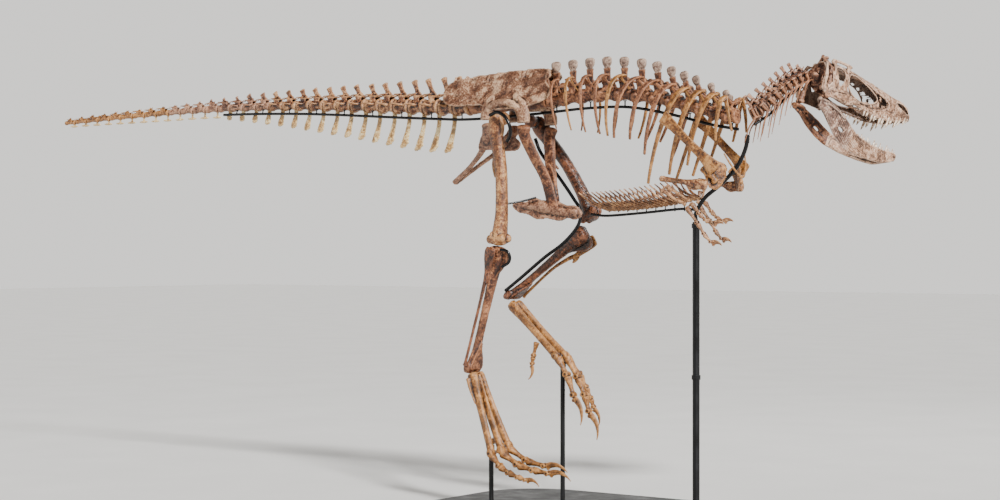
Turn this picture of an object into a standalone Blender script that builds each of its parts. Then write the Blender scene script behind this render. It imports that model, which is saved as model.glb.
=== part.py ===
"""Mounted skeleton of a half-grown tyrannosaur, life size, on its museum stand.

Metres, +Z up. The nose points along +X and the animal's left side along +Y. The origin is the
middle of the stand's underside. Each bone is built from lofted shells that are joined into one
closed body. Neighbouring bones keep a small gap, as they do on a mount.
"""
import bpy
import bmesh
from math import cos, sin, pi, radians
from mathutils import Matrix, Vector

# ---------------------------------------------------------------- driving dimensions
AHEAD = Vector((1, 0, 0))
GAP = 0.0003                 # between pieces that touch
JOINT = 0.0020               # between bones that meet at a joint

BASE_LENGTH, BASE_WIDTH, BASE_THICK = 2.36, 1.66, 0.020
BASE_CORNER, BASE_ROUND = 0.42, 0.004
CORNER_STEPS = 5
POST_RADIUS, ROD_RADIUS = 0.021, 0.015
TUBE_RADIUS = 0.009          # the steel that runs under the backbone

HIP = Vector((-0.62, 0.155, 2.410))          # left hip; the right one is its mirror image
SACRUM_REAR, SACRUM_FRONT = -0.965, -0.385   # along X
BACK_BONES = 13
BACK_PITCH = [(1, 0.080), (5, 0.095), (8, 0.122), (13, 0.124)]   # numbered from the chest
TAIL_PITCH = 0.1225
TAIL_LENGTHS = (7, 7, 8, 9)                  # vertebrae in each of the tail's four lengths
NECK_BONES = (5, 4)                          # rear and front lengths of the neck
NECK_END = 0.83                              # how far along its line the neck's bones reach

# The line of the backbone through the middle of its centra, from the tail's tip to the neck.
TAIL_TIP = Vector((-4.800, 0.0, 2.546))
SPINE_LINE = [
    TAIL_TIP, Vector((-4.07, 0, 2.574)), Vector((-3.26, 0, 2.590)), Vector((-2.57, 0, 2.582)),
    Vector((-1.93, 0, 2.556)), Vector((-1.43, 0, 2.527)), Vector((-0.96, 0, 2.502)),
    Vector((-0.38, 0, 2.520)), Vector((0.05, 0, 2.537)), Vector((0.35, 0, 2.505)),
    Vector((0.65, 0, 2.430)), Vector((0.90, 0, 2.368)),
]
NECK_LINE = [
    Vector((0.90, 0, 2.368)), Vector((1.035, 0.015, 2.386)), Vector((1.104, 0.095, 2.476)),
    Vector((1.156, 0.180, 2.550)), Vector((1.208, 0.270, 2.602)), Vector((1.240, 0.360, 2.622)),
]

# The skull's own frame: condyle at its origin, nose along its +X, its left side along +Y.
CONDYLE = Vector((1.268, 0.380, 2.618))
HEAD_TURN, HEAD_DROP, HEAD_ROLL = radians(62), radians(22.8), radians(3.5)
SKULL_LENGTH = 0.672          # from the condyle to the front of the snout
DRAWN_LENGTH = 0.635          # the length that the head's tables below are written for
SKULL_WALL = 0.020
UPPER_TEETH, LOWER_TEETH = 12, 11


# ---------------------------------------------------------------- small helpers
def mix(a, b, t):
    """The value t of the way from a to b."""
    return a + (b - a) * t


def along(keys, x):
    """Read a value at x from keys, a list of (x, value), with straight runs between them."""
    if x <= keys[0][0]:
        return keys[0][1]
    for (x0, v0), (x1, v1) in zip(keys, keys[1:]):
        if x <= x1:
            return mix(v0, v1, (x - x0) / (x1 - x0))
    return keys[-1][1]


def smooth(points, t):
    """The point at t, from 0 to 1, on a smooth curve through the points."""
    last = len(points) - 1
    k = min(int(t * last), last - 1)
    u = t * last - k
    p1, p2 = points[k], points[k + 1]
    p0 = points[k - 1] if k else p1 * 2 - p2
    p3 = points[k + 2] if k + 2 <= last else p2 * 2 - p1
    return 0.5 * (2 * p1 + (p2 - p0) * u + (2 * p0 - 5 * p1 + 4 * p2 - p3) * u ** 2
                  + (3 * p1 - p0 - 3 * p2 + p3) * u ** 3)


def curve(points, count):
    """count points spread along the smooth curve."""
    return [smooth(points, k / (count - 1)) for k in range(count)]


def at_x(points, x):
    """The point of the smooth curve that stands at x."""
    low, high = 0.0, 1.0
    for _ in range(30):
        t = (low + high) / 2
        if smooth(points, t).x < x:
            low = t
        else:
            high = t
    return smooth(points, low)


def mirrored(point, side):
    """The point for side, +1 for the animal's left and -1 for its right."""
    return Vector((point[0], side * point[1], point[2]))


# ---------------------------------------------------------------- shells
def loft(rings):
    """A closed shell through rings of equal length, with both ends capped."""
    n = len(rings[0])
    verts = [Vector(p) for ring in rings for p in ring]
    faces = []
    for k in range(len(rings) - 1):
        for i in range(n):
            a, b = k * n + i, k * n + (i + 1) % n
            faces.append((a, b, b + n, a + n))
    faces.append(tuple(range(n))[::-1])
    faces.append(tuple(range(len(verts) - n, len(verts))))
    return verts, faces


def sweep(path, wide, high, sides=6, up=Vector((0, 0, 1))):
    """A shell along path; wide runs across up and the path, high runs along up."""
    rings = []
    fit = 1 / cos(pi / sides)
    for k, p in enumerate(path):
        ahead = path[min(k + 1, len(path) - 1)] - path[max(k - 1, 0)]
        across = up.cross(ahead).normalized()
        rise = ahead.cross(across).normalized()
        ring = []
        for i in range(sides):
            turn = (i + 0.5) * 2 * pi / sides
            ring.append(p + across * (fit * cos(turn) * wide[k] / 2)
                        + rise * (fit * sin(turn) * high[k] / 2))
        rings.append(ring)
    return loft(rings)


def rod(path, radius, sides=6, up=Vector((0, 1, 0))):
    """A round rod or tube of one radius along path."""
    size = [2 * radius * cos(pi / sides)] * len(path)
    return sweep(path, size, size, sides, up)


def plate(outline, place):
    """A plate: place(a, b, side) puts each outline point on the face of side -1 or +1."""
    return loft([[place(a, b, side) for a, b in outline] for side in (-1, 1)])


# ---------------------------------------------------------------- objects
def clear_scene():
    """Empty the file that the script runs in."""
    for thing in list(bpy.data.objects):
        bpy.data.objects.remove(thing)


def finish(name, colour, roughness, metallic=0.0):
    """A plain Principled material."""
    material = bpy.data.materials.new(name)
    material.use_nodes = True
    shader = material.node_tree.nodes["Principled BSDF"]
    shader.inputs["Base Color"].default_value = (*colour, 1)
    shader.inputs["Roughness"].default_value = roughness
    shader.inputs["Metallic"].default_value = metallic
    return material


def shell_object(name, shells):
    """One object that holds the shells as they are, with every face pointing out."""
    bm = bmesh.new()
    for verts, faces in shells:
        made = [bm.verts.new(v) for v in verts]
        for face in faces:
            bm.faces.new([made[i] for i in face])
    bmesh.ops.recalc_face_normals(bm, faces=bm.faces)
    bmesh.ops.triangulate(bm, faces=bm.faces)
    mesh = bpy.data.meshes.new(name)
    bm.to_mesh(mesh)
    bm.free()
    thing = bpy.data.objects.new(name, mesh)
    bpy.context.scene.collection.objects.link(thing)
    return thing


def apply_step(body):
    """Make the body's one modifier part of its mesh."""
    ready = body.evaluated_get(bpy.context.evaluated_depsgraph_get())
    mesh = bpy.data.meshes.new_from_object(ready)
    body.modifiers.clear()
    body.data = mesh


def boolean(body, tool, operation, own=False):
    """Apply one exact Boolean of tool to body, and remove the tool."""
    step = body.modifiers.new("step", "BOOLEAN")
    step.operation = operation
    step.solver = "EXACT"
    step.use_self = own
    step.object = tool
    apply_step(body)
    bpy.data.objects.remove(tool)


def tidy(mesh, flat):
    """Merge faces that lie in one plane to within flat degrees, and leave triangles."""
    bm = bmesh.new()
    bm.from_mesh(mesh)
    bmesh.ops.remove_doubles(bm, verts=bm.verts, dist=0.00002)
    bmesh.ops.dissolve_limit(bm, angle_limit=radians(flat), verts=bm.verts, edges=bm.edges)
    bmesh.ops.triangulate(bm, faces=bm.faces)
    bm.to_mesh(mesh)
    bm.free()


def bone(name, shells, material, cuts=(), keep=1.0):
    """A node: the shells joined into one body, less the cuts, thinned to keep of its faces."""
    body = shell_object(name, shells[:-1] or shells)
    if len(shells) > 1:
        boolean(body, shell_object("join", shells[-1:]), "UNION", own=True)
    tidy(body.data, 0.5)
    if keep < 1:
        thin = body.modifiers.new("thin", "DECIMATE")
        thin.ratio = keep
        apply_step(body)
    for shell in cuts:
        boolean(body, shell_object("cut", [shell]), "DIFFERENCE")
    tidy(body.data, 0.5)
    body.data.name = name
    body.data.materials.clear()
    body.data.materials.append(material)
    return body


# ---------------------------------------------------------------- backbone
def centra(line, joints, size, waist=0.76, sides=6):
    """A run of spool-shaped centra: joints are the x or t places where they meet."""
    path, wide = [line(joints[0])], [size(joints[0])]
    for a, b in zip(joints, joints[1:]):
        middle = (a + b) / 2
        path += [line(middle), line(b)]
        wide += [size(middle) * waist, size(b)]
    return sweep(path, wide, wide, sides)


def blade(stations, ahead=Vector((1, 0, 0))):
    """A flat blade through stations of (point, length along ahead, thickness)."""
    rise = stations[-1][0] - stations[0][0]
    aside = ahead.cross(rise).normalized()
    return loft([[p + ahead * (f * length / 2) + aside * (s * thick / 2)
                  for f, s in ((-1, -1), (1, -1), (1, 1), (-1, 1))] for p, length, thick in stations])


def spine_x(x):
    """The middle of the backbone at x, from the tail's tip to the chest."""
    return at_x(SPINE_LINE, x)


# ---------------------------------------------------------------- tail
TAIL_ROOT = SACRUM_REAR - 0.005
CENTRUM_SIZE = [(-4.8, 0.030), (-3.6, 0.046), (-2.5, 0.068), (-1.6, 0.098), (-1.0, 0.104)]
SPINE_RISE = [(-4.8, 0.030), (-3.6, 0.046), (-2.9, 0.085), (-2.1, 0.125), (-1.6, 0.155), (-1.1, 0.200)]
CHEVRON_DROP = [(-4.8, 0.034), (-4.4, 0.044), (-4.1, 0.054), (-3.6, 0.064), (-3.2, 0.066), (-3.0, 0.078),
                (-2.4, 0.150), (-1.8, 0.225), (-1.3, 0.285)]
WING_REACH = [(-3.0, 0.045), (-2.0, 0.085), (-1.25, 0.120), (-1.14, 0.090), (-1.03, 0.058)]
SKIDS_BEHIND = -3.13          # chevrons are long skids behind here, and the steel ends here
CHEVRON_THICK = 0.016


def tail_length(index, material):
    """One of the four lengths of the tail, with its spines, side processes and chevrons."""
    start = sum(TAIL_LENGTHS[:index])
    count = TAIL_LENGTHS[index]
    joints = [TAIL_ROOT - TAIL_PITCH * (start + k) for k in range(count + 1)]
    if index:
        joints[0] -= JOINT
    shells = [centra(spine_x, joints[::-1], lambda x: along(CENTRUM_SIZE, x))]
    for a, b in zip(joints, joints[1:]):
        mid = spine_x((a + b) / 2)
        thick = along(CENTRUM_SIZE, mid.x)
        rise = along(SPINE_RISE, mid.x)
        shells.append(blade([(mid + Vector((0, 0, thick * 0.22)), 0.078, thick * 0.40),
                             (mid + Vector((-0.006, 0, thick * 0.66)), 0.054, thick * 0.16 + 0.006),
                             (mid + Vector((-0.18 * rise - 0.008, 0, rise)), 0.054 * min(1, rise / 0.12),
                              thick * 0.10 + 0.004)]))
        if mid.x > -3.0:
            reach = along(WING_REACH, mid.x)
            wings = [mid + Vector((-0.024, -reach, 0.012)), mid + Vector((0, 0, 0.008)),
                     mid + Vector((-0.024, reach, 0.012))]
            shells.append(sweep(wings, [0.012, 0.020, 0.012], [0.026, 0.050, 0.026], 4, AHEAD))
        if a < TAIL_ROOT:
            shells.append(chevron(a, thick, along(CHEVRON_DROP, a)))
    return bone(f"tail_{index + 1}", shells, material, keep=0.60)


def chevron(x, thick, drop):
    """A haemal arch under the joint at x: a flat blade that leans back, or a skid near the tip."""
    mid = spine_x(x - 0.017)
    if x < SKIDS_BEHIND:
        keel = [(-0.012, -0.3 * thick), (0.012, -0.3 * thick), (0.012, 0.018 - drop), (0.040, 0.010 - drop),
                (0.040, -drop), (-0.046, -drop), (-0.046, 0.009 - drop), (-0.012, 0.018 - drop)]
        return plate(keel, lambda u, z, side: mid + Vector((u, side * 0.006, z)))
    return blade([(mid + Vector((-0.22 * drop, 0, -drop)), 0.046, 0.011),
                  (mid + Vector((-0.15 * drop, 0, -0.80 * drop)), 0.050, 0.012),
                  (mid + Vector((-0.06 * drop, 0, -0.50 * drop)), 0.034, 0.013),
                  (mid + Vector((0, 0, -0.30 * thick)), 0.028, CHEVRON_THICK)])


# ---------------------------------------------------------------- hips
def sacrum(material):
    """Five joined hip vertebrae with their spines and side ribs."""
    joints = [mix(SACRUM_REAR + JOINT, SACRUM_FRONT - JOINT, k / 5) for k in range(6)]
    shells = [centra(spine_x, joints, lambda x: 0.094, 0.88)]
    rear, front = spine_x(-0.93), spine_x(-0.42)
    shells.append(plate([(rear.x, rear.z + 0.02), (front.x, front.z + 0.02), (front.x - 0.01, 2.712),
                         (-0.60, 2.715), (-0.80, 2.705), (rear.x - 0.04, 2.680)],
                        lambda x, z, side: (x, side * 0.010, z)))
    for a, b in zip(joints, joints[1:]):
        mid = spine_x((a + b) / 2) + Vector((0, 0, 0.015))
        reach = Vector((0, ilium_plane(mid.z) - ILIUM_THICK / 2 - 0.016, 0))
        shells.append(sweep([mid - reach, mid, mid + reach], [0.076, 0.050, 0.076], [0.066, 0.044, 0.066],
                            4, AHEAD))
    return bone("sacrum", shells, material, keep=0.7)


ILIUM_THICK = 0.022
ILIUM_OUTLINE = [
    (-1.125, 2.585), (-1.105, 2.640), (-1.060, 2.668), (-0.940, 2.688), (-0.748, 2.704),
    (-0.595, 2.712), (-0.400, 2.716), (-0.340, 2.700), (-0.326, 2.660), (-0.352, 2.634),
    (-0.326, 2.606), (-0.300, 2.565), (-0.312, 2.525), (-0.370, 2.500), (-0.440, 2.480),
    (-0.500, 2.470), (-0.690, 2.470), (-0.800, 2.500), (-0.900, 2.505), (-1.020, 2.505),
    (-1.095, 2.530),
]


def ilium_plane(z):
    """How far the middle of the blade stands from the midline at height z."""
    return 0.150 - 0.42 * (z - 2.45)


def ilium(side, name, material):
    """A hip blade with the two stout pegs that frame the hip socket."""
    def place(x, z, face):
        return (x, side * (ilium_plane(z) + face * ILIUM_THICK / 2), z)

    shells = [plate(ILIUM_OUTLINE, place)]
    y = side * 0.148
    shells.append(sweep([Vector((-0.490, y - side * 0.01, 2.540)), Vector((-0.470, y, 2.460)),
                         Vector((-0.468, y, 2.372))], [0.040, 0.060, 0.062], [0.090, 0.080, 0.092],
                        6, AHEAD))
    shells.append(sweep([Vector((-0.745, y - side * 0.01, 2.540)), Vector((-0.755, y, 2.460)),
                         Vector((-0.752, y, 2.402))], [0.040, 0.056, 0.052], [0.080, 0.066, 0.070],
                        6, AHEAD))
    shells.append(sweep([Vector((-0.770, y, 2.486)), Vector((-0.610, y + side * 0.006, 2.512)),
                         Vector((-0.450, y, 2.486))], [0.040, 0.056, 0.040], [0.040, 0.034, 0.040], 4))
    return bone(name, shells, material)


def pubis(material):
    """Both pubic shafts, which meet halfway down, and the long foot under them."""
    shells = []
    for side in (-1, 1):
        shells.append(sweep([Vector((-0.464, side * 0.148, 2.356)), Vector((-0.468, side * 0.134, 2.300)),
                             Vector((-0.430, side * 0.085, 2.170)), Vector((-0.380, side * 0.030, 2.030)),
                             Vector((-0.340, side * 0.008, 1.850))],
                            [0.056, 0.042, 0.034, 0.030, 0.026], [0.090, 0.062, 0.046, 0.044, 0.060],
                            6, AHEAD))
    apron = [(-0.395, 2.110), (-0.360, 2.090), (-0.305, 1.860), (-0.370, 1.860)]
    shells.append(plate(apron, lambda x, z, side: (x, side * 0.007, z)))
    boot = [(-0.652, 1.882), (-0.640, 1.900), (-0.560, 1.912), (-0.470, 1.925), (-0.390, 1.900),
            (-0.270, 1.880), (-0.160, 1.848), (-0.140, 1.815), (-0.180, 1.788), (-0.300, 1.778),
            (-0.470, 1.795), (-0.600, 1.840)]
    waist = [(-0.60, 1.875), (-0.40, 1.870), (-0.19, 1.820)]
    shells.append(plate(boot, lambda x, z, side: (x, side * 0.016, z)))
    shells.append(sweep([Vector((x, 0, z)) for x, z in waist], [0.030, 0.066, 0.034],
                        [0.040, 0.072, 0.040], 6))
    return bone("pubis", shells, material, keep=0.7)


def ischium(material):
    """Both ischia: broad above, slim and joined at the tip."""
    shells = []
    for side in (-1, 1):
        shells.append(sweep([Vector((-0.750, side * 0.146, 2.382)), Vector((-0.752, side * 0.126, 2.330)),
                             Vector((-0.830, side * 0.080, 2.225)), Vector((-0.960, side * 0.034, 2.125)),
                             Vector((-1.110, side * 0.009, 2.025))],
                            [0.042, 0.036, 0.026, 0.024, 0.026], [0.068, 0.086, 0.042, 0.034, 0.034],
                            6, AHEAD))
        shells.append(plate([(-0.790, 2.335), (-0.715, 2.310), (-0.665, 2.270), (-0.690, 2.225),
                             (-0.790, 2.225), (-0.850, 2.235)],
                            lambda x, z, face, s=side: (
                                x, s * (0.100 + 0.20 * (z - 2.25) + face * 0.007), z)))
    return bone("ischium", shells, material, keep=0.7)


# ---------------------------------------------------------------- back and ribs
CENTRUM = 0.088
BACK_REAR = SACRUM_FRONT + JOINT
RIB_OUT = [(1, 0.095), (3, 0.135), (5, 0.170), (8, 0.222), (10, 0.215), (13, 0.165)]
RIB_IN = [(1, 0.085), (3, 0.120), (5, 0.150), (8, 0.180), (13, 0.135)]
RIB_BACK = [(1, 0.058), (2, 0.075), (3, 0.165), (4, 0.190), (5, 0.232), (6, 0.155), (8, 0.134), (9, 0.062),
            (10, 0.000), (12, -0.030), (13, -0.040)]
RIB_LOW = [(1, 2.280), (2, 2.230), (3, 2.090), (5, 1.990), (6, 2.160), (7, 2.250), (10, 2.290), (13, 2.335)]
RIB_SEAT = [(1, 0.080), (12, 0.088), (13, 0.062)]
RIB_STOUT = [(1, 0.020), (4, 0.027), (8, 0.025), (13, 0.016)]


def back_joint(number):
    """Where vertebra number, counted from the chest, begins at its rear end."""
    return BACK_REAR + sum(along(BACK_PITCH, n) for n in range(number + 1, BACK_BONES + 1))


def rib(number, side):
    """One rib from its seat beside the arch, out, round and down to its free end."""
    x = back_joint(number) + along(BACK_PITCH, number) * 0.90
    mid = spine_x(x)
    start = mid + Vector((0.008, side * along(RIB_SEAT, number), 0.112))
    end = Vector((x - along(RIB_BACK, number), side * along(RIB_IN, number), along(RIB_LOW, number)))
    out = 1.16 * along(RIB_OUT, number)
    handle_a = Vector((mix(start.x, end.x, 0.22), side * out, start.z + 0.010))
    handle_b = Vector((mix(start.x, end.x, 0.72), side * out, mix(start.z, end.z, 0.55)))
    count = 6 if along(RIB_LOW, number) < 2.2 else 5
    arch = mid + Vector((-0.022, side * 0.010, 0.078))
    path = [arch]
    for k in range(count):
        t = k / (count - 1)
        path.append(start * (1 - t) ** 3 + handle_a * (3 * t * (1 - t) ** 2)
                    + handle_b * (3 * t * t * (1 - t)) + end * t ** 3)
    stout = along(RIB_STOUT, number)
    wide = [0.050] + [stout * mix(1.35, 0.62, k / (count - 1)) for k in range(count)]
    deep = [0.030] + [stout * mix(0.80, 0.45, k / (count - 1)) for k in range(count)]
    return sweep(path, deep, wide, 4, AHEAD)


def back_spine(number):
    """The arch and neural spine of one back vertebra."""
    pitch = along(BACK_PITCH, number)
    mid = spine_x(back_joint(number) + pitch * 0.5)
    lean = along([(1, -0.020), (4, -0.060), (6, -0.030), (8, -0.006)], number)
    top = mid + Vector((lean, 0, along([(1, 0.130), (4, 0.205), (7, 0.225), (13, 0.235)], number)))
    length = along([(1, 0.034), (4, 0.042), (7, 0.060), (13, 0.060)], number)
    return blade([(mid + Vector((0, 0, CENTRUM * 0.30)), pitch * 0.76, 0.050),
                  (mid + Vector((0.006, 0, 0.100)), pitch * 0.60, 0.036),
                  (mid + Vector((lean * 0.2, 0, 0.122)), pitch * 0.46, 0.016), (top, length, 0.013)])


def rib_cage(side, name, material):
    """Half of the chest: the back vertebrae up to the midline, and one side's ribs."""
    joints = [back_joint(n) for n in range(BACK_BONES, -1, -1)]
    shells = [centra(spine_x, joints, lambda x: CENTRUM)]
    for number in range(1, BACK_BONES + 1):
        shells.append(back_spine(number))
        shells.append(rib(number, side))
    half = plate([(-1.0, 1.5), (1.5, 1.5), (1.5, 3.2), (-1.0, 3.2)],
                 lambda x, z, face: (x, side * GAP / 2 if face > 0 else -side * 0.5, z))
    return bone(name, shells, material, [half], keep=0.46)


# ---------------------------------------------------------------- neck
def neck_point(t):
    """The middle of the neck at t, from 0 at the chest to 1 at the skull."""
    return smooth(NECK_LINE, t)


def neck_axes(t):
    """The neck's own directions at t: ahead, left and up."""
    run = (neck_point(min(1, t + 0.02)) - neck_point(t - 0.02)).normalized()
    left = Vector((0, 0, 1)).cross(run).normalized()
    return run, left, run.cross(left).normalized()


def neck_start():
    """The t at which the neck leaves the last back vertebra."""
    t = 0.0
    while neck_point(t).x < back_joint(0) + JOINT:
        t += 0.001
    return t


def neck_thick(t):
    """How thick the neck's centra are at t."""
    return mix(0.090, 0.066, t)


def neck_length(name, first, last, joints, material):
    """Neck vertebrae first to last, counted from the chest, with spines and neck ribs."""
    ends = joints[first:last + 1]
    if first:
        ends = [ends[0] + 0.004] + ends[1:]
    shells = [centra(neck_point, ends, neck_thick, 0.74)]
    for k in range(first, last):
        t = (joints[k] + joints[k + 1]) / 2
        mid = neck_point(t)
        run, left, rise = neck_axes(t)
        thick = neck_thick(t)
        tall = along([(0, 0.115), (4, 0.100), (6, 0.112), (7, 0.108), (8, 0.078)], k)
        shells.append(blade([(mid + rise * thick * 0.30, 0.050, 0.050),
                             (mid + rise * thick * 0.80, 0.040, 0.030),
                             (mid + rise * tall - run * 0.010, 0.028, 0.012)], run))
        wing = left * 0.072 + rise * 0.020 - run * 0.006
        other = left * -0.072 + rise * 0.020 - run * 0.006
        shells.append(sweep([mid + other, mid + rise * 0.020, mid + wing], [0.016, 0.026, 0.016],
                            [0.022, 0.040, 0.022], 4, run))
        for side in (-1, 1):
            shells.append(neck_rib(mid, run, left * side, rise, thick,
                                   along([(0, 0.150), (3, 0.190), (8, 0.085)], k)))
    return bone(name, shells, material, keep=0.5)


def neck_rib(mid, run, out, rise, thick, length):
    """A slender neck rib that leaves the centrum and trails back and down beside the neck."""
    root = mid + out * 0.056 - rise * (thick * 0.40)
    elbow = root - run * (0.30 * length) - rise * (0.10 * length) + out * 0.005 - Vector(
        (0, 0, 0.14 * length))
    tip = root - run * (0.52 * length) - rise * (0.14 * length) + out * 0.006 - Vector(
        (0, 0, 0.62 * length))
    return sweep([mid - rise * 0.012, root, elbow, tip], [0.026, 0.020, 0.010, 0.005],
                 [0.018, 0.014, 0.009, 0.006], 4, run)


# ---------------------------------------------------------------- head
def head_frame():
    """The matrix from the skull's own frame to the world."""
    ahead = Vector((cos(HEAD_DROP) * cos(HEAD_TURN), cos(HEAD_DROP) * sin(HEAD_TURN), -sin(HEAD_DROP)))
    left = Vector((-sin(HEAD_TURN), cos(HEAD_TURN), 0))
    up = ahead.cross(left)
    turn = Matrix((ahead * (SKULL_LENGTH / DRAWN_LENGTH), left * cos(HEAD_ROLL) - up * sin(HEAD_ROLL),
                   up * cos(HEAD_ROLL) + left * sin(HEAD_ROLL))).transposed().to_4x4()
    return Matrix.Translation(CONDYLE) @ turn


HEAD = head_frame()
# Along the skull: lower edge, upper edge, half width below, at the middle and above.
SKULL_LOW = [(-0.035, -0.060), (0.000, -0.155), (0.060, -0.145), (0.140, -0.140), (0.210, -0.106),
             (0.290, -0.098), (0.400, -0.094), (0.480, -0.070), (0.560, -0.032), (0.610, -0.006),
             (0.635, 0.004)]
SKULL_HIGH = [(-0.035, 0.076), (0.030, 0.086), (0.080, 0.088), (0.116, 0.092), (0.142, 0.096),
              (0.175, 0.100), (0.320, 0.104), (0.480, 0.092), (0.560, 0.094), (0.605, 0.080),
              (0.635, 0.044)]
SKULL_WIDE_LOW = [(-0.035, 0.085), (0.010, 0.148), (0.100, 0.142), (0.200, 0.114), (0.300, 0.092),
                  (0.450, 0.074), (0.560, 0.056), (0.610, 0.038), (0.635, 0.020)]
SKULL_WIDE_MID = [(-0.035, 0.100), (0.020, 0.138), (0.100, 0.132), (0.180, 0.102), (0.300, 0.080),
                  (0.450, 0.066), (0.560, 0.050), (0.610, 0.034), (0.635, 0.016)]
SKULL_WIDE_HIGH = [(-0.035, 0.070), (0.030, 0.088), (0.100, 0.098), (0.172, 0.088), (0.230, 0.056),
                   (0.320, 0.040), (0.480, 0.034), (0.560, 0.030), (0.610, 0.020), (0.635, 0.008)]


def skull_ring(x, inset):
    """One cross-section of the skull, drawn in by inset for the space inside it."""
    low = along(SKULL_LOW, x) + inset
    high = along(SKULL_HIGH, x) - inset
    palate = low + min(0.030, 0.25 * (high - low))
    a = along(SKULL_WIDE_LOW, x) - inset
    b = along(SKULL_WIDE_MID, x) - inset
    c = along(SKULL_WIDE_HIGH, x) - inset * 0.8
    half = [(a * 0.55, palate if inset == 0 else palate - 0.004), (a, low), (b, mix(low, high, 0.55)),
            (c, mix(high, low, 0.10)), (c * 0.4, high)]
    points = [(y, z) for y, z in half] + [(-y, z) for y, z in reversed(half)]
    return [HEAD @ Vector((x, y, z)) for y, z in points]


def hole(outline, reach=0.30):
    """A cutter right through the head, across it, from an outline of (x, z)."""
    return plate(outline, lambda x, z, side: HEAD @ Vector((x, side * reach, z)))


def oval(x, z, long, tall, turn=0.0, count=8):
    """Points round an ellipse in the skull's side view."""
    c, s = cos(turn), sin(turn)
    ring = [(long / 2 * cos(2 * pi * k / count), tall / 2 * sin(2 * pi * k / count)) for k in range(count)]
    return [(x + u * c - v * s, z + u * s + v * c) for u, v in ring]


def tooth(root, fore, aside, down, length, thick):
    """A three-sided conical tooth with its root sunk in the jaw, leaning back to its tip."""
    base = root - down * 0.012
    ring = [base + fore * (f * thick * 0.6) + aside * (s * thick * 0.5)
            for f, s in ((-1, -0.8), (1, 0), (-1, 0.8))]
    tip = root + down * length - fore * (0.25 * length)
    return ring + [tip], [(0, 1, 2), (0, 1, 3), (1, 2, 3), (2, 0, 3)]


def head_axes():
    """The skull's forward, left and up directions in the world."""
    turn = HEAD.to_3x3()
    return (turn @ Vector((1, 0, 0))).normalized(), turn @ Vector((0, 1, 0)), turn @ Vector((0, 0, 1))


TOOTH_LENGTH = [(0.26, 0.022), (0.34, 0.036), (0.43, 0.052), (0.50, 0.040), (0.56, 0.034), (0.61, 0.022)]


def skull(material):
    """The skull with its real openings and the upper teeth."""
    stations = [-0.035, 0.005, 0.060, 0.116, 0.142, 0.175, 0.290, 0.400, 0.480, 0.560, 0.610, DRAWN_LENGTH]
    shells = [loft([skull_ring(x, 0.0) for x in stations])]
    fore, left, up = head_axes()
    for side in (-1, 1):
        for k in range(UPPER_TEETH):
            x = mix(0.255, 0.612, (k + 0.4 * (k % 2)) / UPPER_TEETH)
            root = HEAD @ Vector((x, side * (along(SKULL_WIDE_LOW, x) * 0.90), along(SKULL_LOW, x) + 0.004))
            size = along(TOOTH_LENGTH, x) * (1.0 if k % 2 else 0.72)
            shells.append(tooth(root, fore, left, -up, size, 0.016))
        shells.append(sweep([HEAD @ Vector((0.004, side * 0.120, -0.100)),
                             HEAD @ Vector((0.000, side * 0.126, -0.162))],
                            [0.050, 0.052], [0.034, 0.044], 4, fore))
    shells.append(sweep([HEAD @ Vector((0.004, -0.075, 0.084)), HEAD @ Vector((0.000, 0, 0.108)),
                         HEAD @ Vector((0.004, 0.075, 0.084))], [0.030, 0.036, 0.030],
                         [0.036, 0.060, 0.036], 4, up))
    shells.append(sweep([HEAD @ Vector((-0.052, 0, -0.020)), HEAD @ Vector((0.0, 0, -0.015))],
                        [0.034, 0.070], [0.034, 0.070], 6, up))
    cuts = [loft([skull_ring(x, SKULL_WALL) for x in (0.030, 0.140, 0.175, 0.400, 0.575)])]
    cuts.append(hole(oval(0.066, 0.000, 0.066, 0.116, radians(-6), 8)))
    cuts.append(hole([(0.118, 0.052), (0.200, 0.068), (0.292, 0.052), (0.360, 0.006), (0.326, -0.052),
                      (0.226, -0.072), (0.126, -0.044)]))
    cuts.append(hole([(-0.004, 0.044), (0.016, 0.040), (0.014, -0.076), (-0.004, -0.084)]))
    cuts.append(hole(oval(0.422, 0.012, 0.036, 0.040, 0, 6)))
    cuts.append(hole(oval(0.560, 0.052, 0.096, 0.036, radians(-20), 7)))
    for side in (-1, 1):
        window = ((0.004, 0.024), (0.052, 0.024), (0.046, 0.066), (0.006, 0.060))
        cuts.append(loft([[HEAD @ Vector((x, side * y, z)) for x, y in window] for z in (0.020, 0.200)]))
    return bone("skull", shells, material, cuts, keep=0.7)


JAW_LOW = [(-0.030, -0.226), (0.030, -0.266), (0.080, -0.318), (0.140, -0.366), (0.220, -0.385),
           (0.330, -0.370),
           (0.430, -0.350), (0.520, -0.326), (0.590, -0.284), (0.622, -0.250)]
JAW_HIGH = [(-0.030, -0.184), (0.000, -0.172), (0.080, -0.186), (0.150, -0.206), (0.220, -0.243),
            (0.300, -0.268),
            (0.420, -0.268), (0.500, -0.252), (0.590, -0.226), (0.622, -0.228)]
JAW_OUT = [(-0.030, 0.140), (0.080, 0.145), (0.200, 0.128), (0.300, 0.104), (0.420, 0.080), (0.520, 0.056),
           (0.590, 0.034), (0.622, 0.019)]
LEFT_JAW_WORN = [(-0.030, 0.020), (0.080, 0.055), (0.140, 0.070), (0.220, 0.056), (0.330, 0.030),
                 (0.520, 0.000)]
JAW_THICK = [(-0.030, 0.030), (0.030, 0.040), (0.140, 0.024), (0.300, 0.030), (0.520, 0.034),
             (0.590, 0.026), (0.622, 0.016)]


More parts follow.
